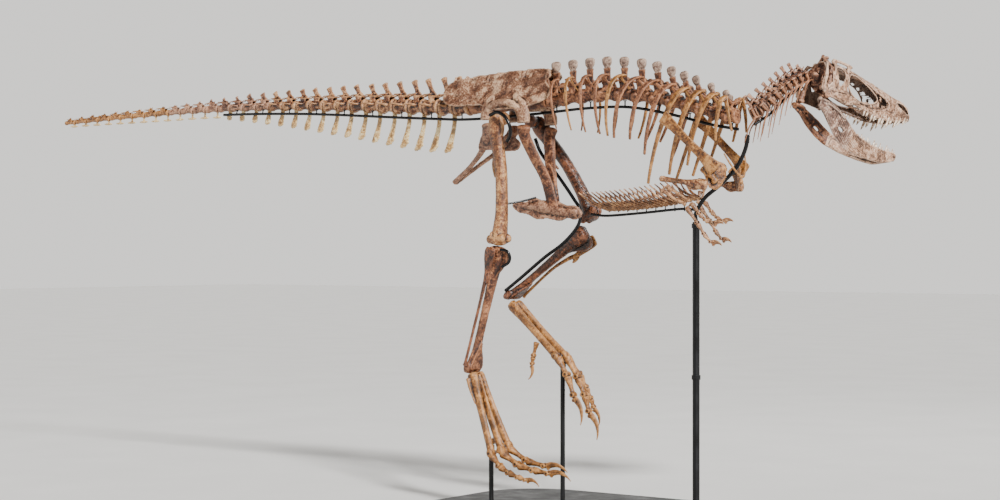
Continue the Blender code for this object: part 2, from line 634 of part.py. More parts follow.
def mandible(side, name, material):
    """Half of the lower jaw, from its joint to the chin, with its teeth."""
    rings = []
    for x in (-0.030, 0.010, 0.080, 0.140, 0.220, 0.330, 0.430, 0.520, 0.590, 0.622):
        low, high = along(JAW_LOW, x), along(JAW_HIGH, x)
        if side > 0:
            low += along(LEFT_JAW_WORN, x)
        out, thick = along(JAW_OUT, x), along(JAW_THICK, x)
        inner = out - thick
        rings.append([HEAD @ Vector((x, side * y, z)) for y, z in
                      ((inner + thick * 0.3, low), (out - thick * 0.1, mix(low, high, 0.25)),
                       (out, mix(low, high, 0.75)),
                       (out - thick * 0.3, high), (inner + thick * 0.1, high),
                       (inner, mix(low, high, 0.4)))])
    shells = [loft(rings)]
    fore, left, up = head_axes()
    for k in range(LOWER_TEETH):
        x = mix(0.285, 0.606, (k + 0.3 * (k % 2)) / (LOWER_TEETH - 1))
        y = along(JAW_OUT, x) - along(JAW_THICK, x) * 0.42
        root = HEAD @ Vector((x, side * y, along(JAW_HIGH, x) - 0.003))
        shells.append(tooth(root, fore, left, up, along([(0.28, 0.018), (0.45, 0.034), (0.61, 0.026)], x)
                            * (1.0 if k % 2 else 0.75), 0.014))
    cuts = [loft([[HEAD @ Vector((x, side * y, z))
                   for x, z in oval(0.150, -0.290, 0.034, 0.018, radians(-20), 6)]
                  for y in (0.05, 0.25)])]
    return bone(name, shells, material, cuts, keep=0.8)


# ---------------------------------------------------------------- legs
def femur(side, name, knee, forward, material):
    """The thigh bone from the hip to the knee; forward is the way the knee bends open."""
    hip = mirrored(HIP, side)
    top = hip + Vector((-0.010, side * 0.062, 0.004))
    down = (knee - top).normalized()
    front = (forward - down * forward.dot(down)).normalized()
    aside = down.cross(front) * (1 if down.cross(front).y * side > 0 else -1)
    shaft = [top - down * 0.018, top + down * 0.05, top + down * 0.16 + front * 0.010,
             mix(top, knee, 0.45) + front * 0.030,
             mix(top, knee, 0.75) + front * 0.022, mix(top, knee, 0.93), knee]
    shells = [sweep(shaft, [0.048, 0.060, 0.070, 0.074, 0.078, 0.112, 0.104],
                    [0.070, 0.108, 0.092, 0.078, 0.082, 0.096, 0.072],
                    6, front)]
    shells.append(sweep([top + down * 0.030, mix(top, hip, 0.6) + Vector((0, 0, 0.004)), hip,
                         hip - Vector((0, side * 0.040, -0.002))],
                        [0.060, 0.066, 0.086, 0.050], [0.070, 0.064, 0.086, 0.052], 6, Vector((0, 0, 1))))
    for across, size in ((-1, 0.056), (1, 0.050)):
        knob = knee + aside * (across * 0.034) - down * 0.030
        shells.append(sweep([knob + front * 0.040, knob - front * 0.064 - down * 0.004],
                            [size, size], [0.060, 0.062], 6, down))
    return bone(name, shells, material, keep=0.72)


def tibia(side, name, knee, ankle, forward, material):
    """The shin bone with its crest at the knee and the ankle bones joined to its foot."""
    down = (ankle - knee).normalized()
    front = (forward - down * forward.dot(down)).normalized()
    aside = down.cross(front) * (1 if down.cross(front).y * side > 0 else -1)
    path = [knee, knee + down * 0.035, knee + down * 0.16, mix(knee, ankle, 0.5), ankle - down * 0.14,
            ankle - down * 0.040, ankle]
    shells = [sweep(path, [0.080, 0.092, 0.064, 0.052, 0.066, 0.118, 0.112],
                    [0.120, 0.128, 0.076, 0.054, 0.048, 0.058, 0.060],
                    6, front)]
    crest = [(0.0, 0.030), (0.010, 0.086), (0.060, 0.092), (0.130, 0.052), (0.190, 0.020), (0.10, 0.0)]
    shells.append(plate(crest, lambda s, f, face: knee + down * s + front * f
                        + aside * (0.012 + face * 0.012)))
    plate_up = [(-0.160, 0.012), (-0.060, 0.048), (0.0, 0.058), (0.0, -0.058), (-0.060, -0.048),
                (-0.160, -0.012)]
    shells.append(plate(plate_up, lambda s, a, face: ankle + down * s + aside * a
                        + front * (0.034 if face > 0 else 0.010)))
    shells.append(sweep([ankle - aside * 0.062, ankle, ankle + aside * 0.062], [0.052, 0.040, 0.052],
                        [0.080, 0.066, 0.080], 6, down))
    return bone(name, shells, material, keep=0.72)


def fibula(side, name, knee, ankle, forward, material, ahead=0.0):
    """The thin splint bone along the outside of the shin."""
    down = (ankle - knee).normalized()
    front = (forward - down * forward.dot(down)).normalized()
    aside = down.cross(front) * (1 if down.cross(front).y * side > 0 else -1)
    knee = knee + front * ahead
    ankle = ankle + front * (ahead * 0.4)
    path = [knee + aside * 0.071 + down * 0.004 - front * 0.012,
            knee + aside * 0.068 + down * 0.050 - front * 0.016,
            knee + aside * 0.062 + down * 0.160 - front * 0.010,
            mix(knee, ankle, 0.55) + aside * 0.050 - front * 0.020,
            ankle + aside * 0.082 - down * 0.060 - front * 0.004,
            ankle + aside * 0.084 - down * 0.012 - front * 0.002]
    return bone(name, [sweep(path, [0.022, 0.024, 0.020, 0.017, 0.016, 0.024],
                             [0.080, 0.086, 0.040, 0.026, 0.024, 0.034],
                             6, front)], material)


def metatarsus(side, name, top, ends, forward, material):
    """The three long foot bones, close together, with the ankle disc above them."""
    shells = []
    down = (ends[1] - top).normalized()
    front = (forward - down * forward.dot(down)).normalized()
    aside = down.cross(front) * (1 if down.cross(front).y * side > 0 else -1)
    for k, end in enumerate(ends):
        start = top + aside * ((k - 1) * 0.036)
        path = [start, mix(start, end, 0.40), mix(start, end, 0.84), end]
        shells.append(sweep(path, [0.048, 0.037, 0.040, 0.048], [0.076, 0.052, 0.052, 0.062], 6, front))
    splint = [top + aside * 0.062 - front * 0.022 + down * 0.010,
              top + aside * 0.066 - front * 0.030 + down * 0.080,
              top + aside * 0.060 - front * 0.034 + down * 0.170]
    shells.append(sweep(splint, [0.030, 0.014, 0.006], [0.030, 0.018, 0.008], 4, front))
    shells.append(sweep([top - down * 0.018, top + down * 0.012], [0.120, 0.128], [0.074, 0.080], 6, front))
    return bone(name, shells, material, keep=0.72)


def toe_root(top, ends, number, gap=0.004):
    """Where a toe starts, just past its foot bone's end, and the way that foot bone points."""
    lead = (ends[number] - top).normalized()
    return ends[number] + lead * gap, lead


def digit(name, root, joints, claw, thick, sides_up, material):
    """A toe: a run of waisted bones from its root through joints, and a curved claw to its tip."""
    start, lead = root
    joints = [start] + joints
    path, wide = [start, start + lead * thick * 0.42], [thick * 0.94, thick]
    for k, (a, b) in enumerate(zip(joints, joints[1:])):
        size = thick * (1 - 0.13 * k)
        path += [mix(a, b, 0.5), b]
        wide += [size * 0.78, size * 0.92]
    root, tip = joints[-1], claw
    bow = sides_up * (tip - root).length * 0.20
    path += [mix(root, tip, 0.12), mix(root, tip, 0.60) + bow, tip]
    wide += [thick * 0.66, thick * 0.42, 0.004]
    tall = wide[:-3] + [thick * 0.84, thick * 0.52, 0.005]
    return bone(name, [sweep(path, wide, tall, 6, sides_up)], material, keep=0.8)


def first_toe(name, joints, claw, thick, sides_up, material):
    """The small toe that stands clear of the ground, behind the others."""
    away = (joints[1] - joints[0]).normalized()
    return digit(name, (joints[0], away), joints[1:], claw, thick, sides_up, material)


# Right leg: pushed back, foot level. Left leg: swung forward, foot hanging.
RIGHT_KNEE, RIGHT_ANKLE = Vector((-0.590, -0.222, 1.642)), Vector((-0.795, -0.226, 0.880))
RIGHT_SHIN_TOP = Vector((-0.592, -0.222, 1.612))
RIGHT_FOOT_TOP = Vector((-0.768, -0.226, 0.826))
RIGHT_FOOT_ENDS = [Vector((-0.555, -0.174, 0.392)), Vector((-0.568, -0.228, 0.366)),
                   Vector((-0.610, -0.276, 0.348))]
LEFT_KNEE, LEFT_ANKLE = Vector((-0.196, 0.222, 1.800)), Vector((-0.812, 0.222, 1.318))
LEFT_SHIN_TOP = Vector((-0.262, 0.222, 1.712))
LEFT_FOOT_TOP = Vector((-0.790, 0.222, 1.250))
LEFT_FOOT_ENDS = [Vector((-0.428, 0.166, 0.932)), Vector((-0.400, 0.224, 0.936)),
                  Vector((-0.424, 0.278, 0.918))]


def right_leg(dark, ochre, claw):
    """The leg that carries the stride, with its toes spread and level."""
    side = -1
    femur(side, "femur_right", RIGHT_KNEE, AHEAD, dark)
    tibia(side, "tibia_right", RIGHT_SHIN_TOP, RIGHT_ANKLE, AHEAD, dark)
    fibula(side, "fibula_right", RIGHT_SHIN_TOP, RIGHT_ANKLE, AHEAD, dark)
    metatarsus(side, "metatarsus_right", RIGHT_FOOT_TOP, RIGHT_FOOT_ENDS, AHEAD, ochre)
    up = Vector((0, 0, 1))
    top, ends = RIGHT_FOOT_TOP, RIGHT_FOOT_ENDS
    digit("toe_2_right", toe_root(top, ends, 0),
          [Vector((-0.430, -0.158, 0.315)), Vector((-0.300, -0.145, 0.292))],
          Vector((-0.150, -0.132, 0.262)), 0.054, up, claw)
    digit("toe_3_right", toe_root(top, ends, 1),
          [Vector((-0.440, -0.230, 0.294)), Vector((-0.320, -0.234, 0.272)),
           Vector((-0.210, -0.238, 0.262))],
          Vector((-0.050, -0.244, 0.226)), 0.058, up, claw)
    digit("toe_4_right", toe_root(top, ends, 2),
          [Vector((-0.530, -0.296, 0.284)), Vector((-0.450, -0.310, 0.252)),
           Vector((-0.375, -0.320, 0.234)),
           Vector((-0.315, -0.328, 0.224))], Vector((-0.212, -0.342, 0.192)), 0.050, up, claw)
    first_toe("toe_1_right", [Vector((-0.664, -0.148, 0.470)), Vector((-0.698, -0.136, 0.425))],
              Vector((-0.738, -0.128, 0.352)), 0.036, Vector((-0.8, 0, 0.6)), claw)


def left_leg(dark, ochre, claw):
    """The leg that swings forward, with its toes hanging."""
    side = 1
    femur(side, "femur_left", LEFT_KNEE, Vector((0.6, 0, 0.8)), dark)
    tibia(side, "tibia_left", LEFT_SHIN_TOP, LEFT_ANKLE, Vector((0.6, 0, -0.8)), dark)
    fibula(side, "fibula_left", LEFT_SHIN_TOP, LEFT_ANKLE, Vector((0.6, 0, -0.8)), dark, 0.066)
    metatarsus(side, "metatarsus_left", LEFT_FOOT_TOP, LEFT_FOOT_ENDS, Vector((0.5, 0, 0.8)), ochre)
    ahead = Vector((1, 0, 0.2)).normalized()
    top, ends = LEFT_FOOT_TOP, LEFT_FOOT_ENDS
    digit("toe_2_left", toe_root(top, ends, 0),
          [Vector((-0.348, 0.162, 0.815)), Vector((-0.302, 0.160, 0.690))],
          Vector((-0.252, 0.158, 0.516)), 0.056, ahead, claw)
    digit("toe_3_left", toe_root(top, ends, 1),
          [Vector((-0.312, 0.226, 0.800)), Vector((-0.264, 0.228, 0.690)), Vector((-0.234, 0.230, 0.590))],
          Vector((-0.180, 0.232, 0.424)), 0.060, ahead, claw)
    digit("toe_4_left", toe_root(top, ends, 2),
          [Vector((-0.342, 0.292, 0.815)), Vector((-0.302, 0.300, 0.735)), Vector((-0.270, 0.305, 0.668)),
           Vector((-0.250, 0.308, 0.615))], Vector((-0.218, 0.312, 0.506)), 0.052, ahead, claw)
    first_toe("toe_1_left", [Vector((-0.572, 0.144, 1.024)), Vector((-0.596, 0.138, 0.930)),
                             Vector((-0.604, 0.138, 0.880))],
              Vector((-0.634, 0.138, 0.786)), 0.038, ahead, claw)


# ---------------------------------------------------------------- shoulders and arms
SHOULDER = Vector((0.885, 0.150, 2.000))


def scapula(side, name, material):
    """The shoulder blade and, joined to it, the coracoid that turns in to the breast."""
    blade_line = [Vector((0.560, 0.208, 2.372)), Vector((0.620, 0.206, 2.320)),
                  Vector((0.720, 0.202, 2.225)),
                  Vector((0.820, 0.190, 2.130)), Vector((0.880, 0.172, 2.062))]
    shells = [sweep([mirrored(p, side) for p in blade_line], [0.014, 0.016, 0.018, 0.022, 0.036],
                    [0.088, 0.070, 0.054, 0.066, 0.110], 6, Vector((1, 0, 1)))]
    ring = [(0.785, 2.060), (0.868, 2.112), (0.906, 2.085), (0.904, 2.010), (0.872, 1.946), (0.844, 1.955),
            (0.832, 1.985)]
    shells.append(plate(ring, lambda x, z, face: mirrored(
        (x, 0.165 - 1.15 * max(0, x - 0.835) + face * 0.012, z), side)))
    shells.append(sweep([mirrored((0.842, 0.160, 2.035), side), mirrored((0.872, 0.148, 1.990), side)],
                        [0.044, 0.036], [0.050, 0.046], 6))
    return bone(name, shells, material, keep=0.7)


def arm(side, material, claw):
    """The upper arm, the two forearm bones and the two-fingered hand."""
    tag = "left" if side > 0 else "right"
    top = mirrored(SHOULDER + Vector((-0.040, 0.062, -0.030)), side)
    elbow = mirrored((0.560, 0.215, 2.012), side)
    wrist = mirrored((0.720, 0.205, 1.872) if side < 0 else (0.585, 0.172, 1.892), side)
    shells = [sweep([top, mix(top, elbow, 0.16), mix(top, elbow, 0.45), mix(top, elbow, 0.80), elbow],
                    [0.036, 0.034, 0.028, 0.030, 0.050], [0.060, 0.066, 0.036, 0.034, 0.042], 6)]
    bone(f"humerus_{tag}", shells, material)
    lower = Vector((0.6, 0, -0.8))
    for name, shift, thick in (("ulna", -0.016, 0.024), ("radius", 0.016, 0.019)):
        start = elbow + Vector((0.016, side * 0.002, -0.056)) + Vector((0.8, 0, 0.6)) * shift * 1.1
        end = wrist + Vector((0.8, 0, 0.6)) * shift
        path = [start, mix(start, end, 0.3), mix(start, end, 0.7), end]
        bone(f"{name}_{tag}", [sweep(path, [thick * 1.3, thick * 0.8, thick * 0.75, thick * 1.1],
                                     [thick * 1.4, thick * 0.9, thick * 0.8, thick * 1.1], 6, lower)],
                                     material)
    run = Vector((0.62, 0, -0.78))
    cross = Vector((0.78, 0, 0.62))
    palm = wrist + run * 0.030
    shells = [sweep([palm - cross * 0.032, palm + cross * 0.036], [0.026, 0.028], [0.024, 0.024], 4, run)]
    for shift, long, lift in ((-0.020, 0.112, 0.0), (0.022, 0.078, 0.014)):
        start = palm + cross * shift
        knuckle = start + run * long
        second = knuckle + Vector((0.040, side * -0.004, -0.062 + lift * 2))
        third = second + Vector((0.044, side * -0.004, -0.046 + lift * 2))
        tip = third + Vector((0.068, side * -0.004, -0.016 + lift))
        hook = Vector((0.2, 0, 1)).normalized() * 0.012
        path = [start, mix(start, knuckle, 0.5), knuckle, mix(knuckle, second, 0.5), second, third,
                mix(third, tip, 0.5) + hook, tip]
        shells.append(sweep(path, [0.030, 0.025, 0.031, 0.024, 0.028, 0.025, 0.016, 0.003],
                            [0.032, 0.026, 0.032, 0.024, 0.030, 0.032, 0.022, 0.004], 5))
    bone(f"hand_{tag}", shells, claw, keep=0.8)


def furcula(material):
    """The wishbone, in front of the breast between the shoulders."""
    arm_line = [Vector((0.914, 0.122, 2.150)), Vector((0.938, 0.088, 2.090)), Vector((0.958, 0.036, 2.035)),
                Vector((0.962, 0.0, 2.020))]
    line = [mirrored(p, -1) for p in arm_line] + [mirrored(p, 1) for p in reversed(arm_line[:-1])]
    return bone("furcula", [sweep(line, [0.012, 0.015, 0.018, 0.022, 0.018, 0.015, 0.012],
                                  [0.010, 0.012, 0.014, 0.020, 0.014, 0.012, 0.010], 5,
                                  Vector((1, 0, 0.4)))], material)


# ---------------------------------------------------------------- belly ribs
GASTRALIA_PAIRS = 12
GASTRALIA_REAR, GASTRALIA_FRONT = 0.020, 0.640


def gastralia(material):
    """Slender belly ribs in V-shaped rows that cross at the midline."""
    shells = []
    pitch = (GASTRALIA_FRONT - GASTRALIA_REAR) / (GASTRALIA_PAIRS - 1)
    for k in range(GASTRALIA_PAIRS):
        t = k / (GASTRALIA_PAIRS - 1)
        x = GASTRALIA_REAR + pitch * k
        low = belly_line(t)
        wide = 0.105 + 0.060 * sin(pi * min(1, 0.25 + 0.75 * t))
        bend = Vector((x - 0.010, wide * 0.55, low + 0.030))
        tip = Vector((x - 0.085, wide, low + 0.105))
        path = [mirrored(tip, -1), mirrored(bend, -1), Vector((x + 0.042, 0, low)), bend, tip]
        shells.append(sweep(path, [0.008, 0.014, 0.016, 0.014, 0.008], [0.008, 0.014, 0.014, 0.014, 0.008],
                            4))
    keel = [Vector((mix(GASTRALIA_REAR, GASTRALIA_FRONT, t) + 0.035, 0, belly_line(t))) for t in (0, 0.5,
                                                                                                  1)]
    shells.append(sweep(keel, [0.012] * 3, [0.008] * 3, 4))
    return bone("gastralia", shells, material, keep=0.6)


def belly_line(t):
    """The height of the belly ribs along the midline, from the rear to the front."""
    return 1.842 + 0.060 * t * t


# ---------------------------------------------------------------- stand
def stand(steel):
    """The base plate, the three uprights and the steel that follows the bones."""
    rim = []
    for cx, cy, start in ((1, 1, 0), (-1, 1, 1), (-1, -1, 2), (1, -1, 3)):
        for k in range(CORNER_STEPS + 1):
            turn = (start + k / CORNER_STEPS) * pi / 2
            rim.append((cx * (BASE_LENGTH / 2 - BASE_CORNER) + BASE_CORNER * cos(turn),
                        cy * (BASE_WIDTH / 2 - BASE_CORNER) + BASE_CORNER * sin(turn)))
    shrink = 1 - BASE_ROUND / (BASE_WIDTH / 2)
    rings = [[(x, y, 0) for x, y in rim], [(x, y, BASE_THICK - BASE_ROUND) for x, y in rim],
             [(x * shrink, y * shrink, BASE_THICK) for x, y in rim]]
    bone("stand_base", [loft(rings)], steel)
    floor = BASE_THICK + GAP
    upright("stand_post_front", (0.660, 0.0), floor, 1.765, POST_RADIUS, steel)
    upright("stand_rod_rear", (-0.668, -0.206), floor, 0.412, ROD_RADIUS, steel)
    upright("stand_rod_mid", (-0.430, 0.224), floor, 0.905, ROD_RADIUS, steel)


def upright(name, place, low, high, radius, steel):
    """A vertical tube with a low collar where it meets the base."""
    x, y = place
    path = [Vector((x, y, low)), Vector((x, y, low + 0.014)), Vector((x, y, low + 0.0145)),
            Vector((x, y, high))]
    size = [2 * radius + 0.030, 2 * radius + 0.030, 2 * radius, 2 * radius]
    return bone(name, [sweep(path, size, size, 8, AHEAD)], steel)


def armature(steel):
    """The bent tubes that carry the backbone, the breast, the belly ribs and the legs."""
    tail = [SKIDS_BEHIND + 0.02, -2.80, -2.40, -2.00, -1.60, -1.25, -1.00]
    beside = CHEVRON_THICK / 2 + TUBE_RADIUS + 0.005
    path = [spine_x(x) - Vector((0, beside, tube_drop(along(CENTRUM_SIZE, x)))) for x in tail]
    path.append(spine_x(-0.70) - Vector((0, 0, tube_drop(0.104))))
    bone("stand_tube_tail", [rod(path, TUBE_RADIUS)], steel)
    back = [-0.695, -0.40, -0.10, 0.20, 0.50, 0.75, 0.94]
    path = [spine_x(min(x, 0.90)) + Vector((max(0, x - 0.90), 0, -tube_drop(0.102))) for x in back]
    bone("stand_tube_back", [rod(path, TUBE_RADIUS)], steel)
    chest = [Vector((0.660, 0, 1.820)), Vector((0.720, 0, 1.905)), Vector((0.830, 0, 1.985)),
             Vector((0.930, 0, 2.080)), Vector((0.985, 0, 2.180)), Vector((1.000, 0, 2.262))]
    foot = [Vector((0.660, 0, 1.765 + GAP)), Vector((0.660, 0, 1.780))]
    bone("stand_tube_chest", [rod(foot + curve(chest, 11), 0.012)], steel)
    belly = [Vector((0.648, 0, 1.836)), Vector((0.560, 0, 1.842)), Vector((0.30, 0, 1.822)),
             Vector((0.05, 0, 1.808)),
             Vector((-0.070, 0, 1.818))]
    bone("stand_tube_belly", [rod(belly, 0.008)], steel)
    neck = []
    for t in (0.17, 0.30, 0.42, 0.54, 0.66, 0.76):
        rise = neck_axes(t)[2]
        neck.append(neck_point(t) - rise * tube_drop(neck_thick(t)))
    bone("stand_tube_neck", [rod(neck, 0.008)], steel)
    leg = [Vector((-0.585, 0.146, 2.300)), Vector((-0.536, 0.146, 2.202)), Vector((-0.400, 0.146, 2.049)),
           Vector((-0.290, 0.142, 1.915)), Vector((-0.246, 0.140, 1.850)), Vector((-0.256, 0.140, 1.758)),
           Vector((-0.362, 0.142, 1.650)), Vector((-0.513, 0.143, 1.555)), Vector((-0.689, 0.143, 1.430)),
           Vector((-0.812, 0.142, 1.345))]
    bone("stand_tube_leg_left", [rod(leg, 0.008)], steel)
    hip = [Vector((-0.632, -0.270, 2.424)), Vector((-0.575, -0.272, 2.440)),
           Vector((-0.520, -0.270, 2.412)),
           Vector((-0.488, -0.264, 2.355)), Vector((-0.490, -0.256, 2.300)),
           Vector((-0.520, -0.247, 2.262))]
    bone("stand_bracket_hip_right", [rod(curve(hip, 9), 0.009)], steel)
    knee = [Vector((-0.552, -0.270, 1.606)), Vector((-0.506, -0.264, 1.594)),
            Vector((-0.490, -0.258, 1.558)),
            Vector((-0.502, -0.258, 1.524)), Vector((-0.545, -0.264, 1.500))]
    bone("stand_bracket_knee_right", [rod(curve(knee, 7), 0.009)], steel)
    strut = [Vector((-0.572, -0.162, 1.886)), Vector((-0.520, -0.100, 1.900)),
             Vector((-0.455, -0.030, 1.925))]
    bone("stand_strut_pubis", [rod(strut, 0.006)], steel)


def tube_drop(thick):
    """How far below the middle of the centra, thick across, the steel tube runs."""
    return thick * 0.60 + TUBE_RADIUS + 0.004


def main():
    """Build every piece."""
    clear_scene()
    bone_skull = finish("skull bone", (0.58, 0.42, 0.33), 0.55)
    bone_brown = finish("brown bone", (0.20, 0.09, 0.05), 0.5)
    bone_ochre = finish("ochre bone", (0.56, 0.34, 0.15), 0.55)
    bone_pale = finish("pale bone", (0.68, 0.51, 0.28), 0.55)
    steel = finish("black steel", (0.01, 0.01, 0.01), 0.3, 0.6)
    for index in range(len(TAIL_LENGTHS)):
        tail_length(index, bone_brown)
    sacrum(bone_brown)
    ilium(-1, "ilium_right", bone_brown)
    ilium(1, "ilium_left", bone_brown)
    pubis(bone_brown)
    ischium(bone_brown)
    rib_cage(-1, "rib_cage_right", bone_ochre)
    rib_cage(1, "rib_cage_left", bone_ochre)
    t0 = neck_start()
    total = sum(NECK_BONES)
    joints = [mix(t0, NECK_END, k / total) for k in range(total + 1)]
    neck_length("neck_rear", 0, NECK_BONES[0], joints, bone_brown)
    neck_length("neck_front", NECK_BONES[0], total, joints, bone_brown)
    skull(bone_skull)
    mandible(-1, "mandible_right", bone_skull)
    mandible(1, "mandible_left", bone_skull)
    right_leg(bone_brown, bone_ochre, bone_pale)
    left_leg(bone_brown, bone_ochre, bone_pale)
    for side, tag in ((-1, "right"), (1, "left")):
        scapula(side, f"scapula_{tag}", bone_ochre)
        arm(side, bone_ochre, bone_ochre)
    furcula(bone_ochre)
    gastralia(bone_ochre)
    stand(steel)
    armature(steel)


main()
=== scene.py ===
"""A mounted tyrannosaur skeleton: the finish of every bone, tooth and piece of steel.

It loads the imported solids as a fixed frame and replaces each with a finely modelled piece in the
same place. Metres, +Z up, nose along +X, the animal's left side along +Y.
"""
from math import cos, pi, radians, sin

import bmesh
import bpy
import numpy as np
from bpy.props import FloatProperty, FloatVectorProperty, PointerProperty
from mathutils import Matrix, Vector


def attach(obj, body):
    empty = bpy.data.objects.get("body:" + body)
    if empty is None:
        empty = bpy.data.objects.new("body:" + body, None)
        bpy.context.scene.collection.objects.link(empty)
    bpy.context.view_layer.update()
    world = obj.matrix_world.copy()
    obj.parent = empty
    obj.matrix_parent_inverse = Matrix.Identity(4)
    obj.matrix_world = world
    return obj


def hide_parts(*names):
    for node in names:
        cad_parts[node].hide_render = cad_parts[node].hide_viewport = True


bl_info = {
    "name": "Mounted tyrannosaur",
    "version": (1, 0, 0),
    "blender": (4, 5, 0),
    "location": "3D View > Sidebar > Skeleton",
    "description": "Builds the bones, the teeth, the steel mount and the stage around the packed solids",
    "category": "Object",
}

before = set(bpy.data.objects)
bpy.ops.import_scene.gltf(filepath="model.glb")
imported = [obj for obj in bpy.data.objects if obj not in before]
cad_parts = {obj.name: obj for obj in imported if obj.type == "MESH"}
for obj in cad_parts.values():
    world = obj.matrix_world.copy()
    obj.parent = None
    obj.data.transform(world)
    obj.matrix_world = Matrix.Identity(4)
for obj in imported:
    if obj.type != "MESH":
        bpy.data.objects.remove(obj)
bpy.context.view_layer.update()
BODY = "root"
UP = Vector((0, 0, 1))
AHEAD = Vector((1, 0, 0))
LEFT = Vector((0, 1, 0))


# ---------------------------------------------------------------- the skeleton's own measures
HIP = Vector((-0.62, 0.155, 2.410))
SACRUM_REAR, SACRUM_FRONT = -0.965, -0.385
BACK_BONES = 13
BACK_PITCH = [(1, 0.080), (5, 0.095), (8, 0.122), (13, 0.124)]
TAIL_PITCH = 0.1225
TAIL_LENGTHS = (7, 7, 8, 9)
TAIL_ROOT = SACRUM_REAR - 0.005
NECK_BONES = (5, 4)
NECK_END = 0.83
JOINT = 0.0020
TUBE_RADIUS = 0.009

SPINE_LINE = [
    Vector((-4.80, 0, 2.548)), Vector((-4.07, 0, 2.574)), Vector((-3.26, 0, 2.590)),
    Vector((-2.57, 0, 2.582)), Vector((-1.93, 0, 2.556)), Vector((-1.43, 0, 2.527)),
    Vector((-0.96, 0, 2.502)), Vector((-0.38, 0, 2.520)), Vector((0.05, 0, 2.537)),
    Vector((0.35, 0, 2.505)), Vector((0.65, 0, 2.430)), Vector((0.90, 0, 2.368)),
]
NECK_LINE = [
    Vector((0.90, 0, 2.368)), Vector((1.035, 0.015, 2.386)), Vector((1.104, 0.095, 2.476)),
    Vector((1.156, 0.180, 2.550)), Vector((1.208, 0.270, 2.602)), Vector((1.240, 0.360, 2.622)),
]
CENTRUM_SIZE = [(-4.8, 0.030), (-3.6, 0.046), (-2.5, 0.068), (-1.6, 0.098), (-1.0, 0.104)]
SPINE_RISE = [(-4.8, 0.030), (-3.6, 0.046), (-2.9, 0.085), (-2.1, 0.125), (-1.6, 0.155), (-1.1, 0.200)]
CHEVRON_DROP = [(-4.8, 0.034), (-4.4, 0.044), (-4.1, 0.054), (-3.6, 0.064), (-3.2, 0.066), (-3.0, 0.078),
                (-2.4, 0.150), (-1.8, 0.225), (-1.3, 0.285)]
WING_REACH = [(-3.0, 0.045), (-2.0, 0.085), (-1.25, 0.120), (-1.14, 0.090), (-1.03, 0.058)]
SKIDS_BEHIND = -3.13

CONDYLE = Vector((1.268, 0.380, 2.618))
HEAD_TURN, HEAD_DROP, HEAD_ROLL = radians(62), radians(22.8), radians(3.5)
HEAD_STRETCH = 0.672 / 0.635


# ---------------------------------------------------------------- small helpers
def mix(a, b, t):
    """The value t of the way from a to b."""
    return a + (b - a) * t


def along(keys, x):
    """Read a value at x from keys, a list of (x, value), with straight runs between them."""
    if x <= keys[0][0]:
        return keys[0][1]
    for (x0, v0), (x1, v1) in zip(keys, keys[1:]):
        if x <= x1:
            return mix(v0, v1, (x - x0) / (x1 - x0))
    return keys[-1][1]


def smooth(points, t):
    """The value at t, from 0 to 1, on a smooth curve through the points or numbers."""
    last = len(points) - 1
    k = min(int(t * last), last - 1)
    u = t * last - k
    p1, p2 = points[k], points[k + 1]
    p0 = points[k - 1] if k else p1 * 2 - p2
    p3 = points[k + 2] if k + 2 <= last else p2 * 2 - p1
    return 0.5 * (2 * p1 + (p2 - p0) * u + (2 * p0 - 5 * p1 + 4 * p2 - p3) * u ** 2
                  + (3 * p1 - p0 - 3 * p2 + p3) * u ** 3)


def curve(points, count):
    """count values spread along the smooth curve."""
    return [smooth(points, k / (count - 1)) for k in range(count)]


def at_x(points, x):
    """The point of the smooth curve that stands at x."""
    low, high = 0.0, 1.0
    for _ in range(30):
        t = (low + high) / 2
        if smooth(points, t).x < x:
            low = t
        else:
            high = t
    return smooth(points, low)


def spine_x(x):
    """The middle of the backbone at x."""
    return at_x(SPINE_LINE, x)


def mirrored(point, side):
    """The point for side, +1 for the animal's left and -1 for its right."""
    return Vector((point[0], side * point[1], point[2]))


def round_outline(points, count):
    """A closed outline of count points, smoothed through the given corners."""
    ring = [Vector((p[0], p[1], 0)) for p in points]
    n = len(ring)
    wide = ring[-2:] + ring + ring[:3]
    out = []
    for k in range(count):
        t = (2 + k / count * n) / (len(wide) - 1)
        p = smooth(wide, t)
        out.append((p.x, p.y))
    return out


def inside(outline, a, b):
    """Which of the places in the arrays a and b lie inside the outline."""
    hit = np.zeros(a.shape, bool)
    for (x0, y0), (x1, y1) in zip(outline, outline[1:] + outline[:1]):
        if y0 == y1:
            continue
        cross = (y0 > b) != (y1 > b)
        hit ^= cross & (a < x0 + (b - y0) / (y1 - y0) * (x1 - x0))
    return hit


